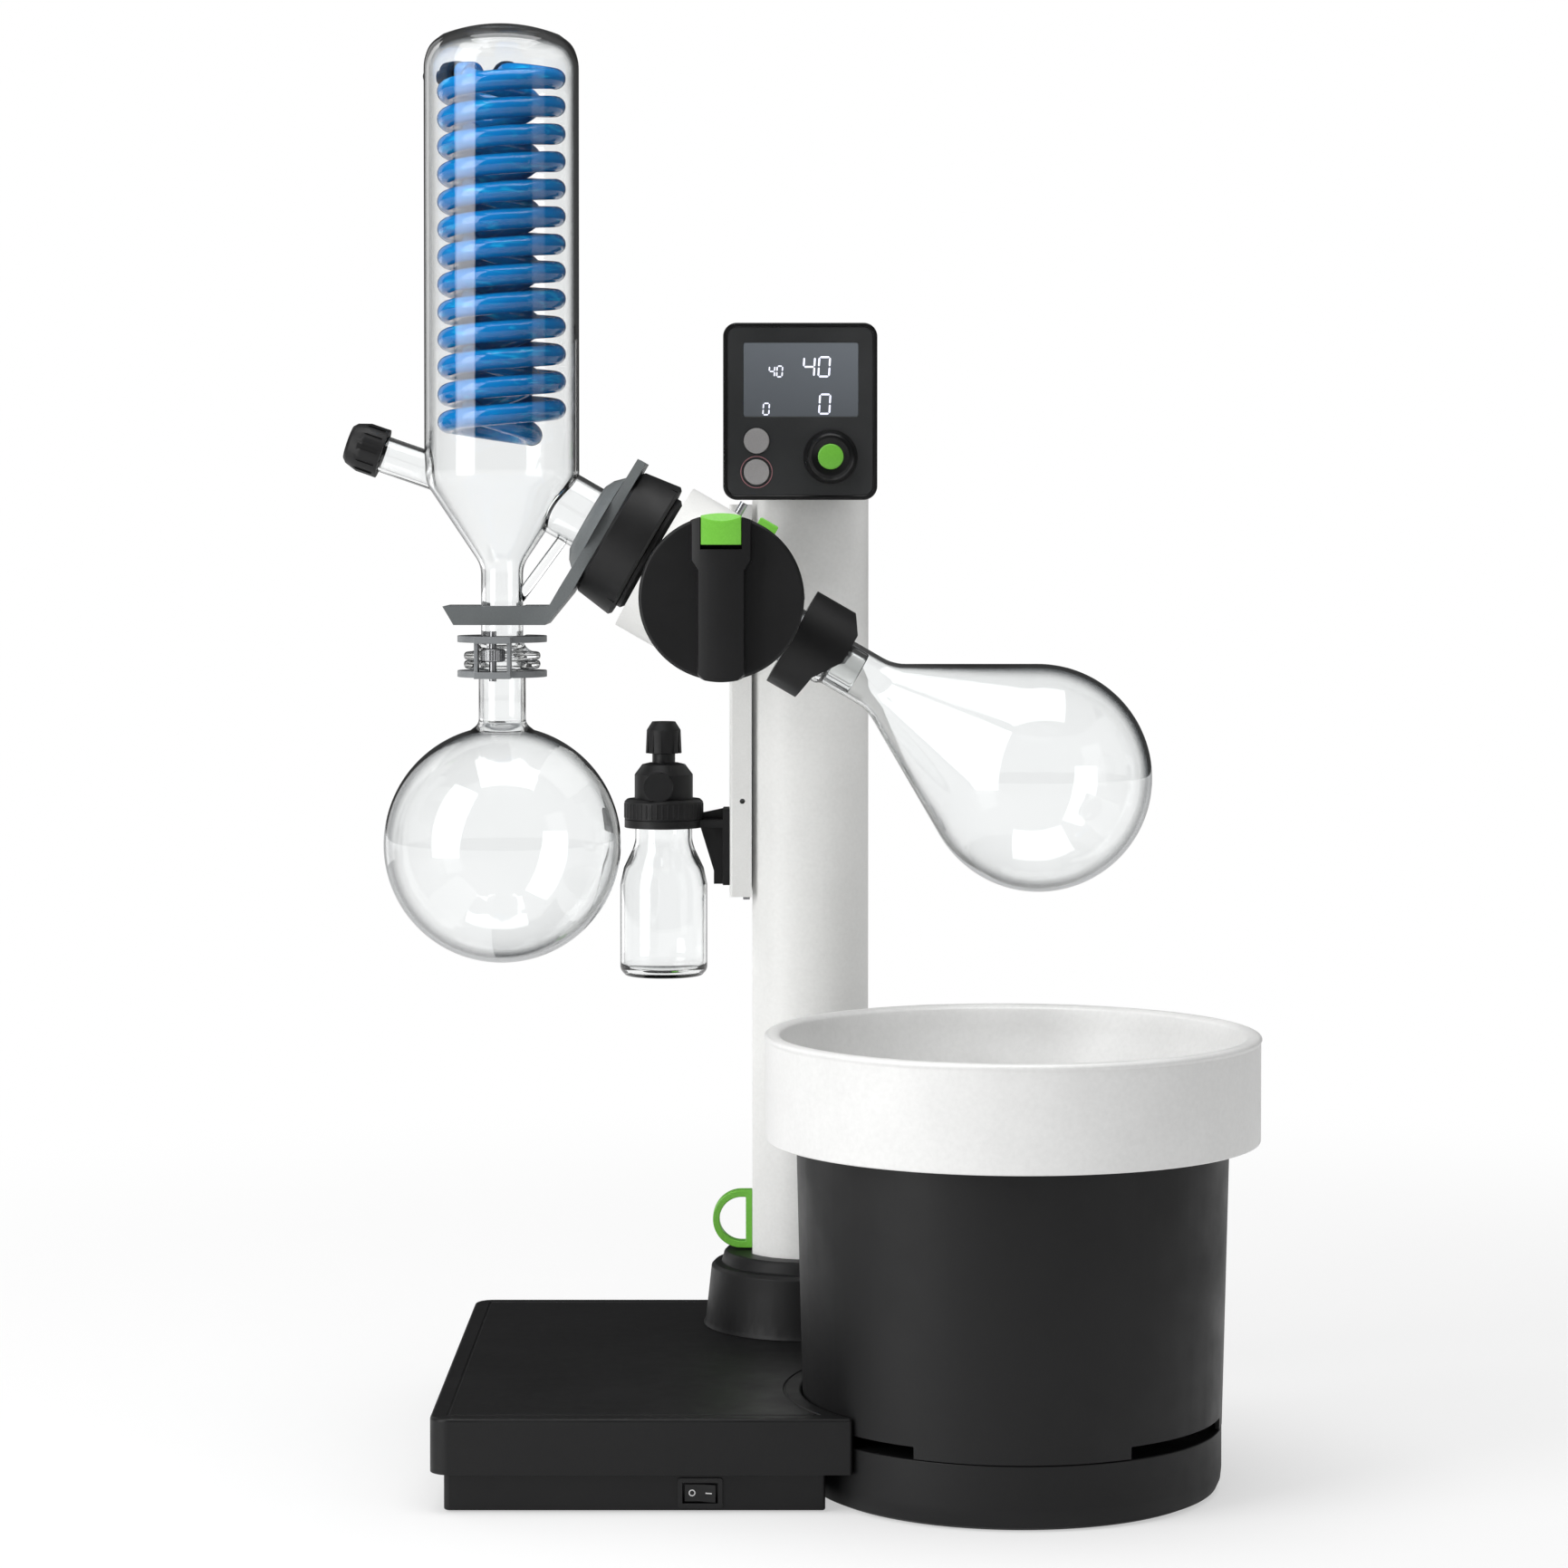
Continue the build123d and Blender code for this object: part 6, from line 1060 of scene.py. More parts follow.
@dataclass
class Flasks:
    """The evaporating flask on the spin axis and the receiving flask under the condenser."""

    head: Head
    bulb: float = 62.75
    bulb_at: float = 200.3
    cone: float = 30.0
    neck: float = 14.5
    mouth: float = 62.0
    bead: float = 16.2
    wall: float = 2.0
    receiver_x: float = -281.2
    receiver_z: float = 353.5
    receiver: float = 65.25
    receiver_neck: float = 12.9
    flange: float = 21.0
    flange_top: float = 454.9
    duct_profile: tuple[tuple[float, float], ...] = (
        (-57.0, 9.2),
        (-57.0, 11.0),
        (59.0, 11.0),
        (61.0, 12.2),
        (84.0, 12.2),
        (86.0, 11.9),
        (86.0, 9.2),
        (-57.0, 9.2),
    )

    def pear(self) -> None:
        """Blow the pear flask: a ball, a cone that runs tangent to it, and a beaded neck."""
        swing = 90 + self.cone
        inner = self.bulb - self.wall
        cone = math.radians(self.cone)
        sine, cosine, slope = math.sin(cone), math.cos(cone), math.tan(cone)
        bore = self.neck - self.wall
        outside = [
            *arc(self.bulb_at, self.bulb, 0, swing, 56),
            *softened(
                [
                    (self.bulb_at - self.bulb * sine - 4, self.bulb * cosine - 4 * slope),
                    (self.bulb_at - self.bulb / sine + self.neck / slope, self.neck),
                    (self.mouth + 8, self.neck),
                    (self.mouth + 6, self.bead),
                    (self.mouth, self.bead),
                    (self.mouth, bore),
                    (self.bulb_at - inner / sine + bore / slope, bore),
                    (self.bulb_at - inner * sine - 4, inner * cosine - 4 * slope),
                ],
                7.0,
                6,
            ),
            *arc(self.bulb_at, inner, swing, 0, 56),
        ]
        piece = Form().lathe(outside, self.head.place, 128).object("evaporating_flask_blown", 60)
        mounted(piece, "spinner", Finish.BOROSILICATE, ("evaporating_flask",))

    def duct(self) -> None:
        """Turn the vapour duct that runs through the spindle into the flask's neck."""
        outline = softened(self.duct_profile, 0.8, 3)
        piece = Form().lathe(outline, self.head.place, 72).object("vapour_duct_drawn", 60)
        mounted(piece, "spinner", Finish.BOROSILICATE, ("vapour_duct",))

    def ball(self) -> None:
        """Blow the round receiving flask that hangs by its flange."""
        place = axis_place(Vector((self.receiver_x, 0, self.receiver_z)), Vector((0, 0, 1)))
        top = self.flange_top - self.receiver_z
        inner = self.receiver - self.wall
        bore = self.receiver_neck - self.wall
        flare = math.degrees(math.asin(19.0 / self.receiver))
        throat = math.degrees(math.asin((bore + 5.0) / inner))
        outside = [
            *arc(0, self.receiver, 180, flare, 80),
            *softened(
                [
                    (math.sqrt(self.receiver**2 - 17.5**2), 17.5),
                    (math.sqrt(self.receiver**2 - 15.0**2) + 3, self.receiver_neck),
                    (top - 5.2, self.receiver_neck),
                    (top - 4.4, self.flange),
                    (top, self.flange),
                    (top, bore),
                    (math.sqrt(inner**2 - bore**2) + 2, bore),
                    (math.sqrt(inner**2 - (bore + 3.5) ** 2), bore + 3.5),
                ],
                4.0,
                6,
            ),
            *arc(0, inner, throat, 180, 80),
        ]
        piece = Form().lathe(outside, place, 128).object("receiving_flask_blown", 60)
        mounted(piece, "carriage", Finish.BOROSILICATE, ("receiving_flask",))

    def build(self) -> None:
        """Make the two flasks and the duct."""
        self.pear()
        self.duct()
        self.ball()


@dataclass
class Condenser:
    """The condenser: a jacket with its side arm, port, nipples and drain, and the double coil in it."""

    head: Head
    axis_x: float = -281.2
    radius: float = 42.5
    wall: float = 2.6
    top: float = 803.9
    foot: float = 455.1
    cone_top: float = 553.5
    cone_low: float = 507.0
    neck: float = 11.5
    foot_flange: float = 21.0
    shoulder: tuple[tuple[float, float], ...] = ((784.0, 0.0), (792.6, 3.2), (797.6, 10.0))
    shoulder_bore: tuple[tuple[float, float], ...] = ((783.0, 0.0), (790.4, 3.2), (794.6, 9.0))
    arm: float = 18.25
    arm_end: float = -60.3
    arm_flange: float = 31.0
    drain: float = 3.0
    drain_foot: float = 489.0
    drain_reach: float = 92.0
    port_tilt: float = 19.2
    port_z: float = 545.6
    port: float = 10.1
    port_end: float = 83.2
    nipple_z: float = 781.0
    nipple: float = 5.5
    nipple_angles: tuple[float, float] = (130.0, 90.0)
    tube: float = 5.7
    coil: float = 29.6
    pitch: float = 15.08
    halves: int = 25
    bottom: float = 585.4
    inner_coil: float = 16.6
    inner_pitch: float = 30.3
    inner_halves: int = 13
    inner_bottom: float = 578.5

    @property
    def place(self) -> Matrix:
        """Frame whose Z is the condenser's axis, with heights from the bench."""
        return Matrix.Translation(Vector((self.axis_x, 0, 0)))

    @property
    def port_place(self) -> Matrix:
        """Frame whose Z is the side port's axis."""
        tilt = math.radians(self.port_tilt)
        return axis_place(
            Vector((self.axis_x, 0, self.port_z)), Vector((-math.cos(tilt), 0, math.sin(tilt)))
        )

    def nipple_place(self, angle: float) -> Matrix:
        """Frame whose Z is a hose nipple's axis, at that angle round the jacket."""
        out = Vector((math.cos(math.radians(angle)), math.sin(math.radians(angle)), 0))
        return axis_place(Vector((self.axis_x, 0, self.nipple_z)), out)

    def dome(self, edge: float, low: float, top: float, steps: int) -> Profile:
        """Points of a shallow dome centred on the axis, from its edge to its top.

        Args:
            edge: Radius at its edge.
            low: Height of its edge.
            top: Height of its top.
            steps: Steps from edge to top.

        Returns:
            The points as (height, radius).
        """
        rise = top - low
        ball = (edge**2 + rise**2) / (2 * rise)
        swing = math.degrees(math.asin(edge / ball))
        return arc(top - ball, ball, swing, 0, steps)

    def pipe(
        self, name: str, place: Matrix, radius: float, start: float, end: float, sides: int
    ) -> bpy.types.Object:
        """Make a closed round bar along a frame's Z.

        Args:
            name: The object's name.
            place: The frame.
            radius: The bar's radius.
            start: Where on Z it starts.
            end: Where on Z it ends.
            sides: Faces round it.

        Returns:
            The object.
        """
        rim = [(start, 0), (start, radius), (end, radius), (end, 0)]
        return Form().lathe(rim, place, sides).object(name)

    def jacket(self) -> None:
        """Blow the jacket: the outer skins are joined, and the bores are then cut from them."""
        bore = self.radius - self.wall
        skin = [
            (self.foot, 0),
            (self.foot, self.foot_flange),
            (self.foot + 4.4, self.foot_flange),
            (self.foot + 4.8, 15.0),
            (self.foot + 9.4, self.neck),
            (self.cone_low, self.neck),
            (self.cone_top, self.radius),
            *((height, self.radius - inset) for height, inset in self.shoulder),
        ]
        high, inset = self.shoulder[-1]
        outer = softened(skin, 5.0, 6) + self.dome(self.radius - inset, high, self.top, 12)
        hollow = [
            (self.foot - 1, 0),
            (self.foot - 1, self.neck - 2),
            (self.cone_low + 1, self.neck - 2),
            (self.cone_top + 1, bore),
            *((height, bore - inset) for height, inset in self.shoulder_bore),
        ]
        high, inset = self.shoulder_bore[-1]
        inner = softened(hollow, 5.0, 6) + self.dome(bore - inset, high, self.top - self.wall, 12)
        body = Form().lathe(outer, self.place, 128).object("condenser_jacket_blown")
        flange_low = self.arm_end - 5.4
        arm = softened(
            [
                (-120, 0),
                (-120, self.arm),
                (flange_low, self.arm),
                (flange_low, self.arm_flange),
                (self.arm_end, self.arm_flange),
                (self.arm_end, 0),
            ],
            0.8,
            3,
        )
        foot = Vector((self.axis_x + self.neck - 2, 0, self.drain_foot))
        down = Vector((-self.head.spin.z, 0, self.head.spin.x)) * -1
        rod_top = self.head.origin + self.head.spin * -self.drain_reach + down * (self.arm - 1)
        solids = [
            Form().lathe(arm, self.head.place, 96).object("arm_skin"),
            self.pipe("port_skin", self.port_place, self.port, 34, self.port_end, 72),
            Form().bar(foot, rod_top, self.drain, 32).object("drain_rod"),
        ]
        bores = [
            Form().lathe(inner, self.place, 128).object("jacket_bore"),
            self.pipe("arm_bore", self.head.place, self.arm - 2, -125, self.arm_end + 1, 96),
            self.pipe("port_bore", self.port_place, self.port - 2, 32, self.port_end + 1, 72),
        ]
        for number, angle in enumerate(self.nipple_angles):
            place = self.nipple_place(angle)
            for forms, radius, start, end, name in (
                (solids, self.nipple, 38.9, 50.0, "nipple_skin"),
                (bores, self.nipple - 1.5, 36.9, 51.0, "nipple_bore"),
            ):
                forms.append(self.pipe(f"{name}_{number}", place, radius, start, end, 48))
        fuse(body, solids, "UNION")
        fuse(body, bores, "DIFFERENCE")
        weld(body, 40)
        mounted(body, "carriage", Finish.BOROSILICATE, ("condenser_jacket",))

    def riser(self, start: Vector, angle: float, hand: float) -> list[Vector]:
        """Points of the lead from a coil's last turn to its nipple.

        Args:
            start: Where the coil ends.
            angle: The nipple's angle round the jacket.
            hand: 1 where the coil's end runs away from the operator on the way, -1 otherwise.

        Returns:
            The points, from the coil to the nipple.
        """
        reach = 38.3
        out = Vector((math.cos(math.radians(angle)), math.sin(math.radians(angle)), 0))
        end = Vector((self.axis_x, 0, self.nipple_z)) + out * reach
        first = start + Vector((0, hand * 18.0, 3.0))
        last = end - out * 16.0
        points = []
        steps = 14
        for step in range(steps + 1):
            t = step / steps
            near = (1 - t) ** 3 * start + 3 * t * (1 - t) ** 2 * first
            points.append(near + 3 * t * t * (1 - t) * last + t**3 * end)
        return points

    def leads(self, outer: bool) -> list[list[Vector]]:
        """Centre lines of what joins a coil to its neighbours: the bottom bend and the riser.

        Args:
            outer: True for the outer coil, which has the bend.

        Returns:
            The centre lines.
        """
        if not outer:
            side = 1 if self.inner_halves % 2 == 0 else -1
            height = self.inner_bottom + self.inner_halves * self.inner_pitch / 2
            top = Vector((self.axis_x + side * self.inner_coil, 0, height))
            return [self.riser(top, self.nipple_angles[0], 1.0)]
        side = -1 if self.halves % 2 == 0 else 1
        top = Vector((self.axis_x + side * self.coil, 0, self.bottom + self.halves * self.pitch / 2))
        lines = [self.riser(top, self.nipple_angles[1], 1.0)]
        start = Vector((self.axis_x + self.inner_coil, 0, self.inner_bottom))
        end = Vector((self.axis_x - self.coil, 0, self.bottom))
        middle = (start + end) / 2
        across = (start - end) / 2
        deep = Vector((0, across.length, 0))
        bend = []
        for step in range(33):
            t = math.pi * step / 32
            bend.append(middle + across * math.cos(t) + deep * math.sin(t))
        lines.append(bend)
        return lines

    def winding(
        self, name: str, tree: bpy.types.NodeTree, outer: bool, tube: float, finish: Finish
    ) -> bpy.types.Object:
        """Wind one tube.

        Args:
            name: The piece's name.
            tree: The tree of a wound tube.
            outer: True for the outer coil.
            tube: The tube's radius.
            finish: Its finish.

        Returns:
            The piece.
        """
        form = Form()
        for line in self.leads(outer):
            spots = [form.mesh.verts.new(p) for p in line]
            for a, b in zip(spots, spots[1:]):
                form.mesh.edges.new((a, b))
        piece = form.object(name)
        run_tree(
            piece,
            tree,
            {
                "Coil Radius": (self.coil if outer else self.inner_coil) * MM,
                "Pitch": (self.pitch if outer else self.inner_pitch) * MM,
                "Half Turns": self.halves if outer else self.inner_halves,
                "Start Angle": math.pi if outer else 0.0,
                "Hand": 1.0 if outer else -1.0,
                "Bottom": (self.bottom if outer else self.inner_bottom) * MM,
                "Axis X": self.axis_x * MM,
                "Tube Radius": tube * MM,
                "Tube Sides": 20,
                "Material": PALETTE.take(finish),
            },
        )
        return piece

    def coils(self, tree: bpy.types.NodeTree) -> None:
        """Wind both coils: glass outside, coolant inside."""
        for outer, node in ((True, "outer_coil"), (False, "inner_coil")):
            glass = self.winding(node + "_glass", tree, outer, self.tube, Finish.COIL_GLASS)
            mounted(glass, "carriage", Finish.COIL_GLASS, (node,))
            core = self.winding(node + "_coolant", tree, outer, self.tube - 0.9, Finish.COOLANT)
            mounted(core, "carriage", Finish.COOLANT)

    def build(self, winding: bpy.types.NodeTree, ribs: bpy.types.NodeTree) -> None:
        """Make the jacket, the coils and the caps."""
        self.jacket()
        self.coils(winding)
        dressed("hose_connectors", edge=0.3)
        dressed("port_cap", edge=0.3)
        dressed("condenser_bracket", edge=1.6)
        dressed("joint_clamp", Finish.CLAMP_PA, edge=0.3)
        dressed("clamp_screw", edge=0.15)
        wheel = Matrix.Translation(Vector((self.axis_x - 3.0, -30.4, 0)))
        knurl = Ribs("clamp_wheel_knurl", "clamp_screw", wheel, 28, 6.35, 0.8, 0.7, 455.7, 5.6)
        knurl.finish, knurl.slot = Finish.STEEL, "steel"
        knurl.build(ribs)
        for number, angle in enumerate(self.nipple_angles):
            place = self.nipple_place(angle)
            Ribs(f"hose_cap_ribs_{number}", "carriage", place, 16, 8.4, 1.5, 0.9, 45.0, 8.0).build(ribs)


@dataclass
class Bottle:
    """The safety bottle with its valve cap and vent knob, on its bracket."""

    x: float = -197.6
    y: float = 175.0
    low: float = 262.0
    radius: float = 25.9
    neck: float = 16.9
    wall: float = 2.0
    top: float = 362.8

    @property
    def place(self) -> Matrix:
        """Frame whose Z is the bottle's axis, with heights from the bench."""
        return Matrix.Translation(Vector((self.x, self.y, 0)))

    def build(self, ribs: bpy.types.NodeTree) -> None:
        """Make the bottle and dress its fittings."""
        bore = self.radius - self.wall
        outline = softened(
            [
                (self.low + 1.6, 0),
                (self.low + 1.2, self.radius * 0.55),
                (self.low, self.radius - 5.0),
                (self.low, self.radius - 3.0),
                (self.low + 3.5, self.radius),
                (316.0, self.radius),
                (326.0, self.radius - 2.2),
                (337.0, self.neck + 1.5),
                (342.0, self.neck),
                (self.top, self.neck),
                (self.top, self.neck - self.wall),
                (341.0, self.neck - self.wall),
                (335.0, self.neck - self.wall + 1.5),
                (325.0, bore - 2.0),
                (316.0, bore),
                (self.low + 6.0, bore),
                (self.low + 3.0, bore - 3.0),
                (self.low + 3.6, 0),
            ],
            4.0,
            6,
        )
        piece = Form().lathe(outline, self.place, 96).object("safety_bottle_blown", 60)
        mounted(piece, "carriage", Finish.BOTTLE_GLASS, ("safety_bottle",))
        dressed("bottle_cap", Finish.BLACK_PA, edge=0.4)
        dressed("vent_knob", Finish.BLACK_PA, edge=0.3)
        dressed("bottle_bracket", edge=0.5)
        Ribs("bottle_cap_ribs", "carriage", self.place, 44, 23.2, 1.2, 0.8, 355.8, 8.6).build(ribs)


@dataclass
class Panel:
    """The control panel: its display, two buttons and the push knob."""

    glass_y: float = 127.5
    stroke: float = 1.15
    slant: float = 0.06
    stop_button: tuple[float, float, float] = (-142.1, 127.45, 560.1)
    lip: tuple[tuple[float, float], ...] = ((0.0, 8.8), (0.3, 8.85), (0.4, 9.05), (0.3, 9.3), (0.0, 9.4))
    # Each digit with its left and lower edge, its width and its height
    digits: tuple[tuple[int, float, float, float, float], ...] = (
        (4, -115.0, 615.6, 6.2, 11.2),
        (0, -106.2, 615.6, 6.2, 11.2),
        (4, -134.9, 615.4, 3.1, 6.2),
        (0, -130.4, 615.4, 3.1, 6.2),
        (0, -105.8, 594.0, 6.0, 11.2),
        (0, -138.4, 593.4, 3.4, 6.6),
    )

    def strokes(self, digit: int) -> str:
        """Names of the strokes that a digit lights, from the top one clockwise and then the bar."""
        return {0: "abcdef", 4: "bcfg"}[digit]

    def digit(self, form: Form, digit: int, left: float, low: float, wide: float, high: float) -> None:
        """Add one digit's strokes.

        Args:
            form: The form that gets them.
            digit: The digit.
            left: Its left edge.
            low: Its lower edge.
            wide: Its width.
            high: Its height.
        """
        half = self.stroke * (high / 12.0) ** 0.5 / 2
        right, top, mid = left + wide, low + high, low + high / 2
        ends = {
            "a": ((left, top), (right, top)),
            "b": ((right, top), (right, mid)),
            "c": ((right, mid), (right, low)),
            "d": ((left, low), (right, low)),
            "e": ((left, mid), (left, low)),
            "f": ((left, top), (left, mid)),
            "g": ((left, mid), (right, mid)),
        }
        for name in self.strokes(digit):
            start, end = (Vector(p) for p in ends[name])
            run = (end - start).normalized()
            side = Vector((-run.y, run.x)) * half
            start, end = start + run * 0.25, end - run * 0.25
            outline = [
                start,
                start + run * half + side,
                end - run * half + side,
                end,
                end - run * half - side,
                start + run * half - side,
            ]
            leant = [(p.x + (p.y - low) * self.slant, p.y) for p in outline]
            place = Matrix(((1, 0, 0, 0), (0, 0, -1, self.glass_y), (0, 1, 0, 0), (0, 0, 0, 1)))
            form.slab(leant, place, 0.12)

    def display(self) -> None:
        """Make the digits that the display shows."""
        form = Form()
        for row in self.digits:
            self.digit(form, *row)
        mounted(form.object("display_digits"), "base", Finish.DIGIT)

    def build(self) -> None:
        """Dress the panel and light its display."""
        dressed("panel_housing", Finish.BLACK_ABS, edge=0.5)
        dressed("panel_face", Finish.FACE_PAINT, edge=0.2)
        dressed("display_window", Finish.SCREEN, edge=0.2)
        dressed("set_button", Finish.BUTTON_GREY, edge=0.0)
        dressed("stop_button", Finish.BUTTON_GREY, edge=0.0)
        dressed("knob", Finish.BLACK_ABS, edge=0.2)
        dressed("knob_cap", Finish.GREEN_ABS, edge=0.1)
        dressed("panel_bracket", edge=0.4)
        painted("control_board", "encoder_shaft")
        self.display()
        lip = Form()
        lip.lathe(self.lip, axis_place(Vector(self.stop_button), Vector((0, -1, 0))), 64)
        mounted(lip.object("stop_button_lip"), "base", Finish.RED_LIP)


@dataclass
class Stand:
    """The base, the column with its collar, and the carriage beside it."""

    switch_x: float = -171.0
    switch_z: float = 10.6
    switch_y: float = -90.0
    ring: tuple[float, float] = (1.25, 1.8)
    ring_at: float = -4.3
    bar_at: float = 4.6
    bar_half: tuple[float, float] = (1.7, 0.3)

    def marks(self) -> None:
        """Print the ring and the bar on the rocker's two faces."""
        place = Matrix(((1, 0, 0, 0), (0, 0, -1, self.switch_y), (0, 1, 0, self.switch_z), (0, 0, 0, 1)))
        form = Form()
        left, right = self.switch_x + self.ring_at, self.switch_x + self.bar_at
        inner, outer = self.ring
        sides = 28
        for k in range(sides):
            a, b = (2 * math.pi * at / sides for at in (k, k + 1))
            corners = [(inner, a), (outer, a), (outer, b), (inner, b)]
            form.slab([(left + r * math.cos(t), r * math.sin(t)) for r, t in corners], place, 0.05)
        wide, high = self.bar_half
        bar = [(right - wide, -high), (right + wide, -high), (right + wide, high), (right - wide, high)]
        form.slab(bar, place, 0.05)
        for vertex in form.mesh.verts:
            vertex.co.y = self.switch_y
        form.laid_on("power_rocker", Vector((0, 1, 0)), 0.06)
        mounted(form.object("rocker_marks"), "rocker", Finish.MARK)

    def build(self) -> None:
        """Dress the base, the column and the carriage."""
        dressed("base_cover", Finish.BLACK_PA, edge=0.3)
        dressed("base_plinth", Finish.BLACK_PA, edge=0.4)
        dressed("switch_bezel", Finish.BLACK_ABS, edge=0.2)
        dressed("power_rocker", Finish.BLACK_ABS, edge=0.3)
        dressed("power_inlet", Finish.BLACK_ABS, edge=0.3)
        dressed("base_feet", edge=0.4)
        dressed("column_tube", edge=0.5)
        dressed("column_cap", edge=0.3)
        dressed("column_collar", Finish.BLACK_PA, edge=0.4)
        dressed("hose_loop", edge=0.5)
        dressed("carriage_cover", Finish.WHITE_ABS, edge=0.5)
        dressed("carriage_rail", edge=0.3)
        dressed("guide_shoes", edge=0.3)
        painted("chassis_plate", "power_board")
        self.marks()


@dataclass
class Bath:
    """The heating bath: its dock, tapered shell, rimmed vessel and ring heater."""

    def build(self) -> None:
        """Dress the bath."""
        dressed("bath_dock", Finish.BLACK_PA, edge=0.5)
        dressed("bath_shell", Finish.BLACK_PA, edge=0.4)
        dressed("bath_vessel", Finish.POT_COAT, edge=0.6)
        painted("ring_heater")


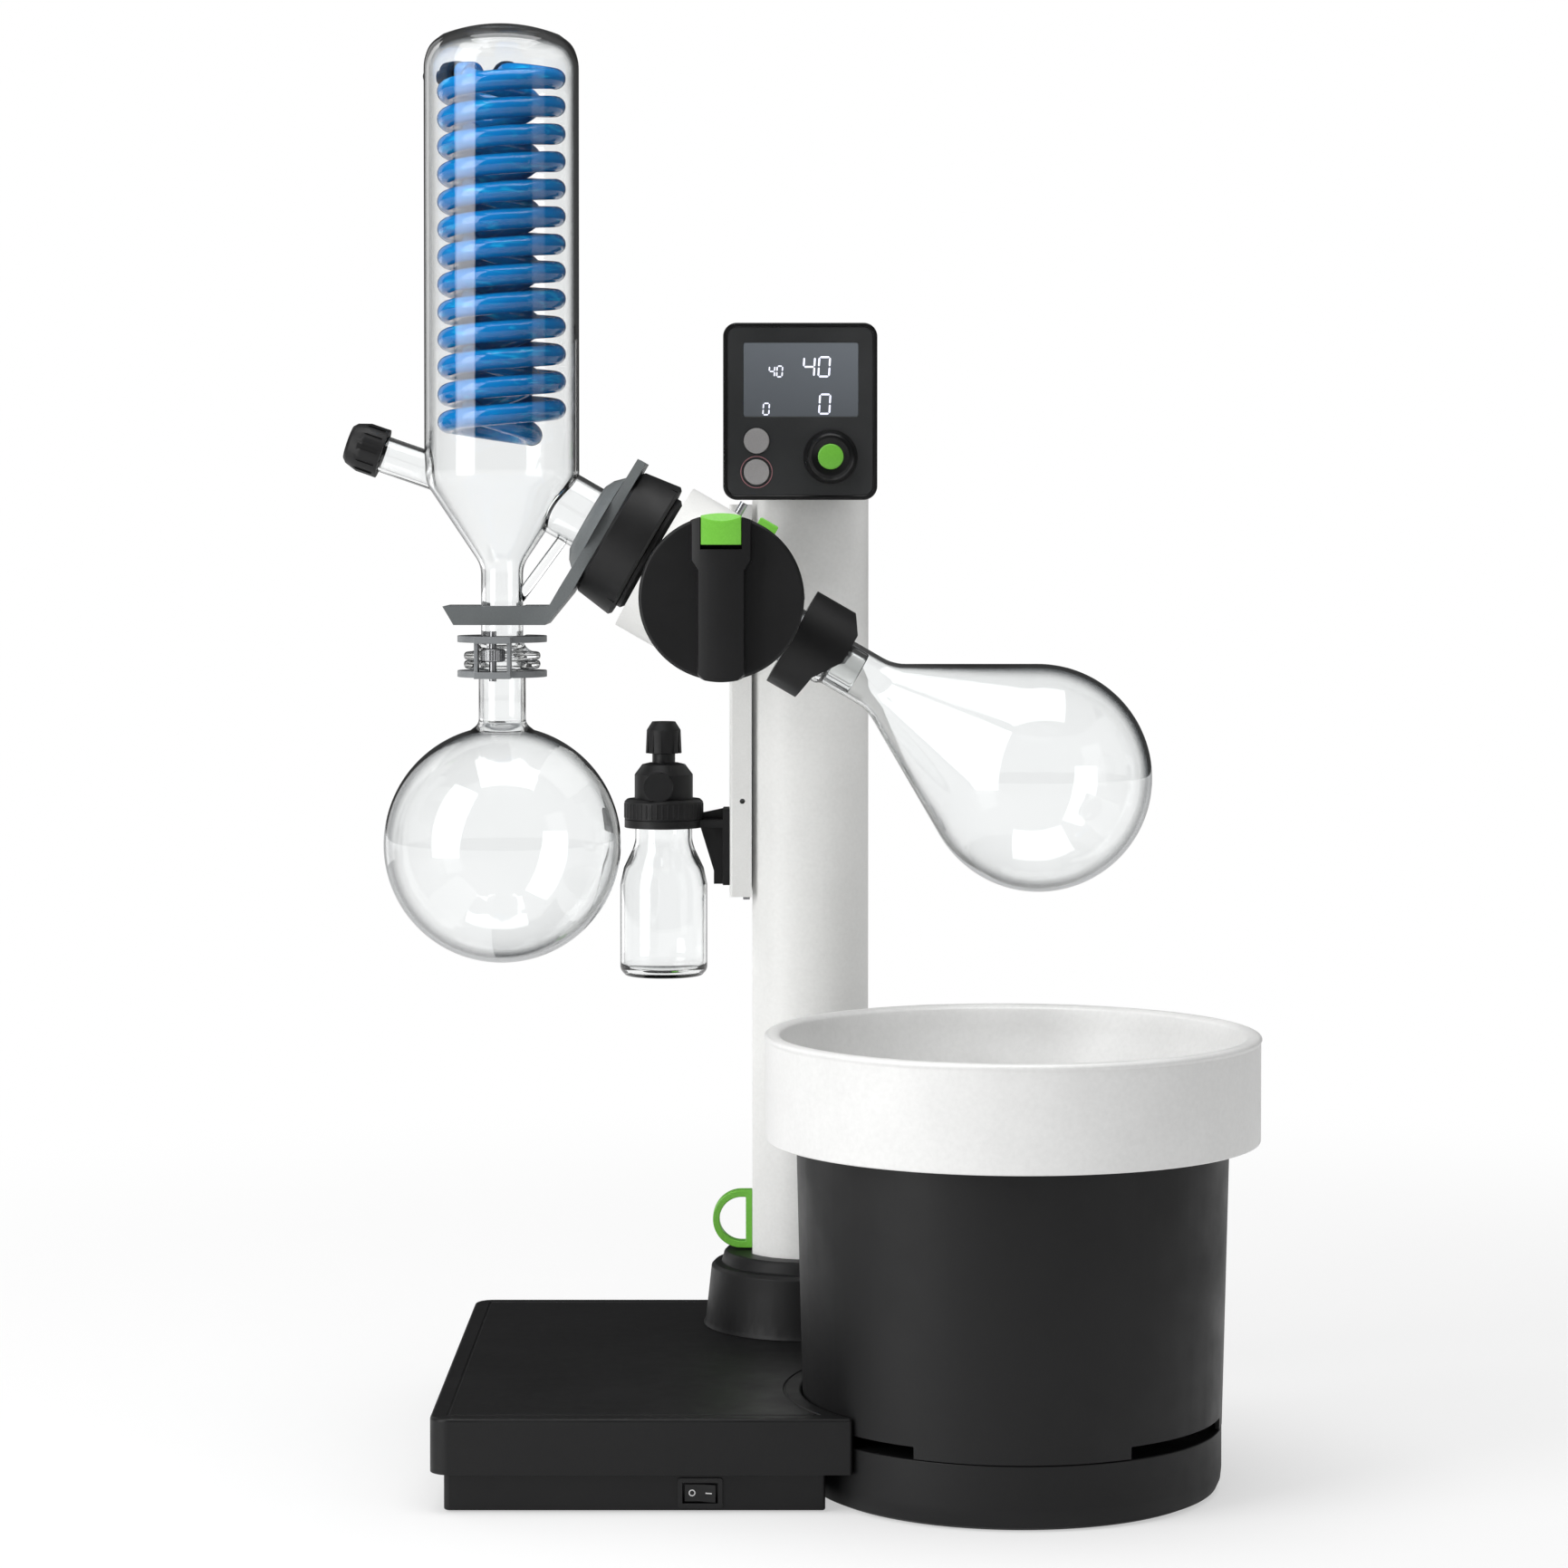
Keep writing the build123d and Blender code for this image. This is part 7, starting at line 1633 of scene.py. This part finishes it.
@dataclass
class Studio:
    """The floor, the lamps, the white surroundings and the camera."""

    camera_at: Vector = Vector((-124.69, -2238.29, 528.28))
    lens: float = 93.369
    pitch: float = 1.3037
    shift: tuple[float, float] = (-0.00157, -0.105)
    white: float = 1.0
    mirror: float = 0.07
    fill: float = 0.4
    floor_mirror: float = 0.35
    aim: Vector = Vector((-0.12, 0.05, 0.42))
    # Each lamp's name, place and size in metres, and power in watts
    lamps: tuple[tuple[str, tuple[float, float, float], tuple[float, float], float], ...] = (
        ("key_soft_box", (-1.7, -1.1, 1.1), (1.1, 2.4), 33.0),
        ("fill_soft_box", (1.9, -1.2, 0.9), (0.9, 1.5), 2.5),
        ("top_soft_box", (-0.1, -0.2, 2.2), (1.6, 1.4), 25.0),
        ("back_soft_box", (-1.5, 1.4, 0.9), (1.0, 1.8), 4.0),
    )

    def floor(self) -> None:
        """Lay a round pale floor that fades to white, and keeps the shadow."""
        form = Form()
        rings = [0, 150, 300, 500, 800, 1300, 2200, 4000, 9000]
        form.lathe([(0, r) for r in rings], Matrix.Translation(Vector((-100, 0, 0))), 64)
        for face in form.mesh.faces:
            if face.normal.z < 0:
                face.normal_flip()
        floor = form.object("studio_floor")
        material, tree = blank_material("studio_floor_paper")
        place = add_node(tree, "ShaderNodeTexCoord").outputs["Object"]
        length = {"operation": "LENGTH"}
        far = add_node(tree, "ShaderNodeVectorMath", length, {0: place}).outputs["Value"]
        fade = add_node(
            tree,
            "ShaderNodeMapRange",
            {"interpolation_type": "SMOOTHSTEP", "From Min": 0.35, "From Max": 1.5},
            {"Value": far},
        ).outputs[0]
        path = add_node(tree, "ShaderNodeLightPath").outputs
        weaker = {"operation": "MULTIPLY", 1: self.floor_mirror}
        mirrored = add_node(tree, "ShaderNodeMath", weaker, {0: path["Is Glossy Ray"]}).outputs[0]
        either = {"operation": "MAXIMUM"}
        looked = add_node(
            tree, "ShaderNodeMath", either, {0: path["Is Camera Ray"], 1: mirrored}
        ).outputs[0]
        seen = add_node(
            tree, "ShaderNodeMath", either, {0: looked, 1: path["Is Transmission Ray"]}
        ).outputs[0]
        paper = add_node(tree, "ShaderNodeBsdfDiffuse", {"Color": linear("#F2F2F2")}).outputs[0]
        white = add_node(tree, "ShaderNodeEmission", {"Strength": 1.0}).outputs[0]
        base_share = add_node(
            tree, "ShaderNodeMapRange", {"To Min": 0.5, "To Max": 1.0}, {"Value": fade}
        ).outputs[0]
        times = {"operation": "MULTIPLY"}
        share = add_node(tree, "ShaderNodeMath", times, {0: base_share, 1: seen}).outputs[0]
        both = add_node(tree, "ShaderNodeMixShader", links={0: share, 1: paper, 2: white})
        add_node(tree, "ShaderNodeOutputMaterial", links={"Surface": both.outputs[0]})
        floor.data.materials.append(material)

    def surroundings(self) -> None:
        """White surroundings for what is seen straight or through glass, and a soft fill for the rest."""
        world = bpy.data.worlds.new("studio_surroundings")
        world.use_nodes = True
        tree = world.node_tree
        tree.nodes.clear()
        path = add_node(tree, "ShaderNodeLightPath").outputs
        depths = {0: path["Diffuse Depth"], 1: path["Glossy Depth"]}
        bounces = add_node(tree, "ShaderNodeMath", {"operation": "ADD"}, depths).outputs[0]
        unturned = add_node(
            tree, "ShaderNodeMath", {"operation": "LESS_THAN", 1: 0.5}, {0: bounces}
        ).outputs[0]
        both = {0: path["Is Transmission Ray"], 1: unturned}
        through = add_node(tree, "ShaderNodeMath", {"operation": "MULTIPLY"}, both).outputs[0]
        straight = add_node(
            tree, "ShaderNodeMath", {"operation": "MAXIMUM"}, {0: path["Is Camera Ray"], 1: through}
        ).outputs[0]
        ends = {"To Min": self.fill, "To Max": self.mirror}
        mirrored = add_node(
            tree, "ShaderNodeMapRange", ends, {"Value": path["Is Glossy Ray"]}
        ).outputs[0]
        strength = add_node(
            tree, "ShaderNodeMix", {"data_type": "FLOAT", 3: self.white}, {0: straight, 2: mirrored}
        ).outputs[0]
        light = add_node(
            tree, "ShaderNodeBackground", {"Color": (1.0, 1.0, 1.0, 1.0)}, {"Strength": strength}
        )
        add_node(tree, "ShaderNodeOutputWorld", links={0: light.outputs[0]})
        bpy.context.scene.world = world

    def lamp(
        self, name: str, at: tuple[float, float, float], size: tuple[float, float], power: float
    ) -> None:
        """Hang one soft box that faces the object.

        Args:
            name: Its name.
            at: Where it hangs, in metres.
            size: Its width and height in metres.
            power: Its power in watts.
        """
        data = bpy.data.lights.new(name, "AREA")
        data.shape = "RECTANGLE"
        data.size, data.size_y = size
        data.energy = power
        lamp = bpy.data.objects.new(name, data)
        lamp.location = at
        lamp.rotation_euler = (self.aim - Vector(at)).to_track_quat("-Z", "Y").to_euler()
        bpy.context.scene.collection.objects.link(lamp)

    def camera(self) -> None:
        """Set the camera at the photograph's angle."""
        data = bpy.data.cameras.new("studio_camera")
        data.sensor_width = 36.0
        data.lens = self.lens
        data.shift_x, data.shift_y = self.shift
        data.clip_end = 100.0
        camera = bpy.data.objects.new("studio_camera", data)
        camera.location = self.camera_at * MM
        camera.rotation_euler = (math.radians(90 - self.pitch), 0, 0)
        bpy.context.scene.collection.objects.link(camera)
        bpy.context.scene.camera = camera

    def build(self) -> None:
        """Set the stage."""
        self.floor()
        self.surroundings()
        for lamp in self.lamps:
            self.lamp(*lamp)
        self.camera()
        bpy.context.scene.view_settings.view_transform = "Standard"


def main() -> None:
    """Build every sub-assembly round the frame, then the studio."""
    logging.basicConfig(level=logging.INFO, format="%(name)s %(message)s")
    winding, ribs = winding_tree(), ribs_tree()
    head = Head()
    head.build()
    Flasks(head).build()
    Condenser(head).build(winding, ribs)
    Bottle().build(ribs)
    Panel().build()
    Stand().build()
    Bath().build()
    Studio().build()
    bpy.context.view_layer.update()


if __name__ == "__main__":
    main()
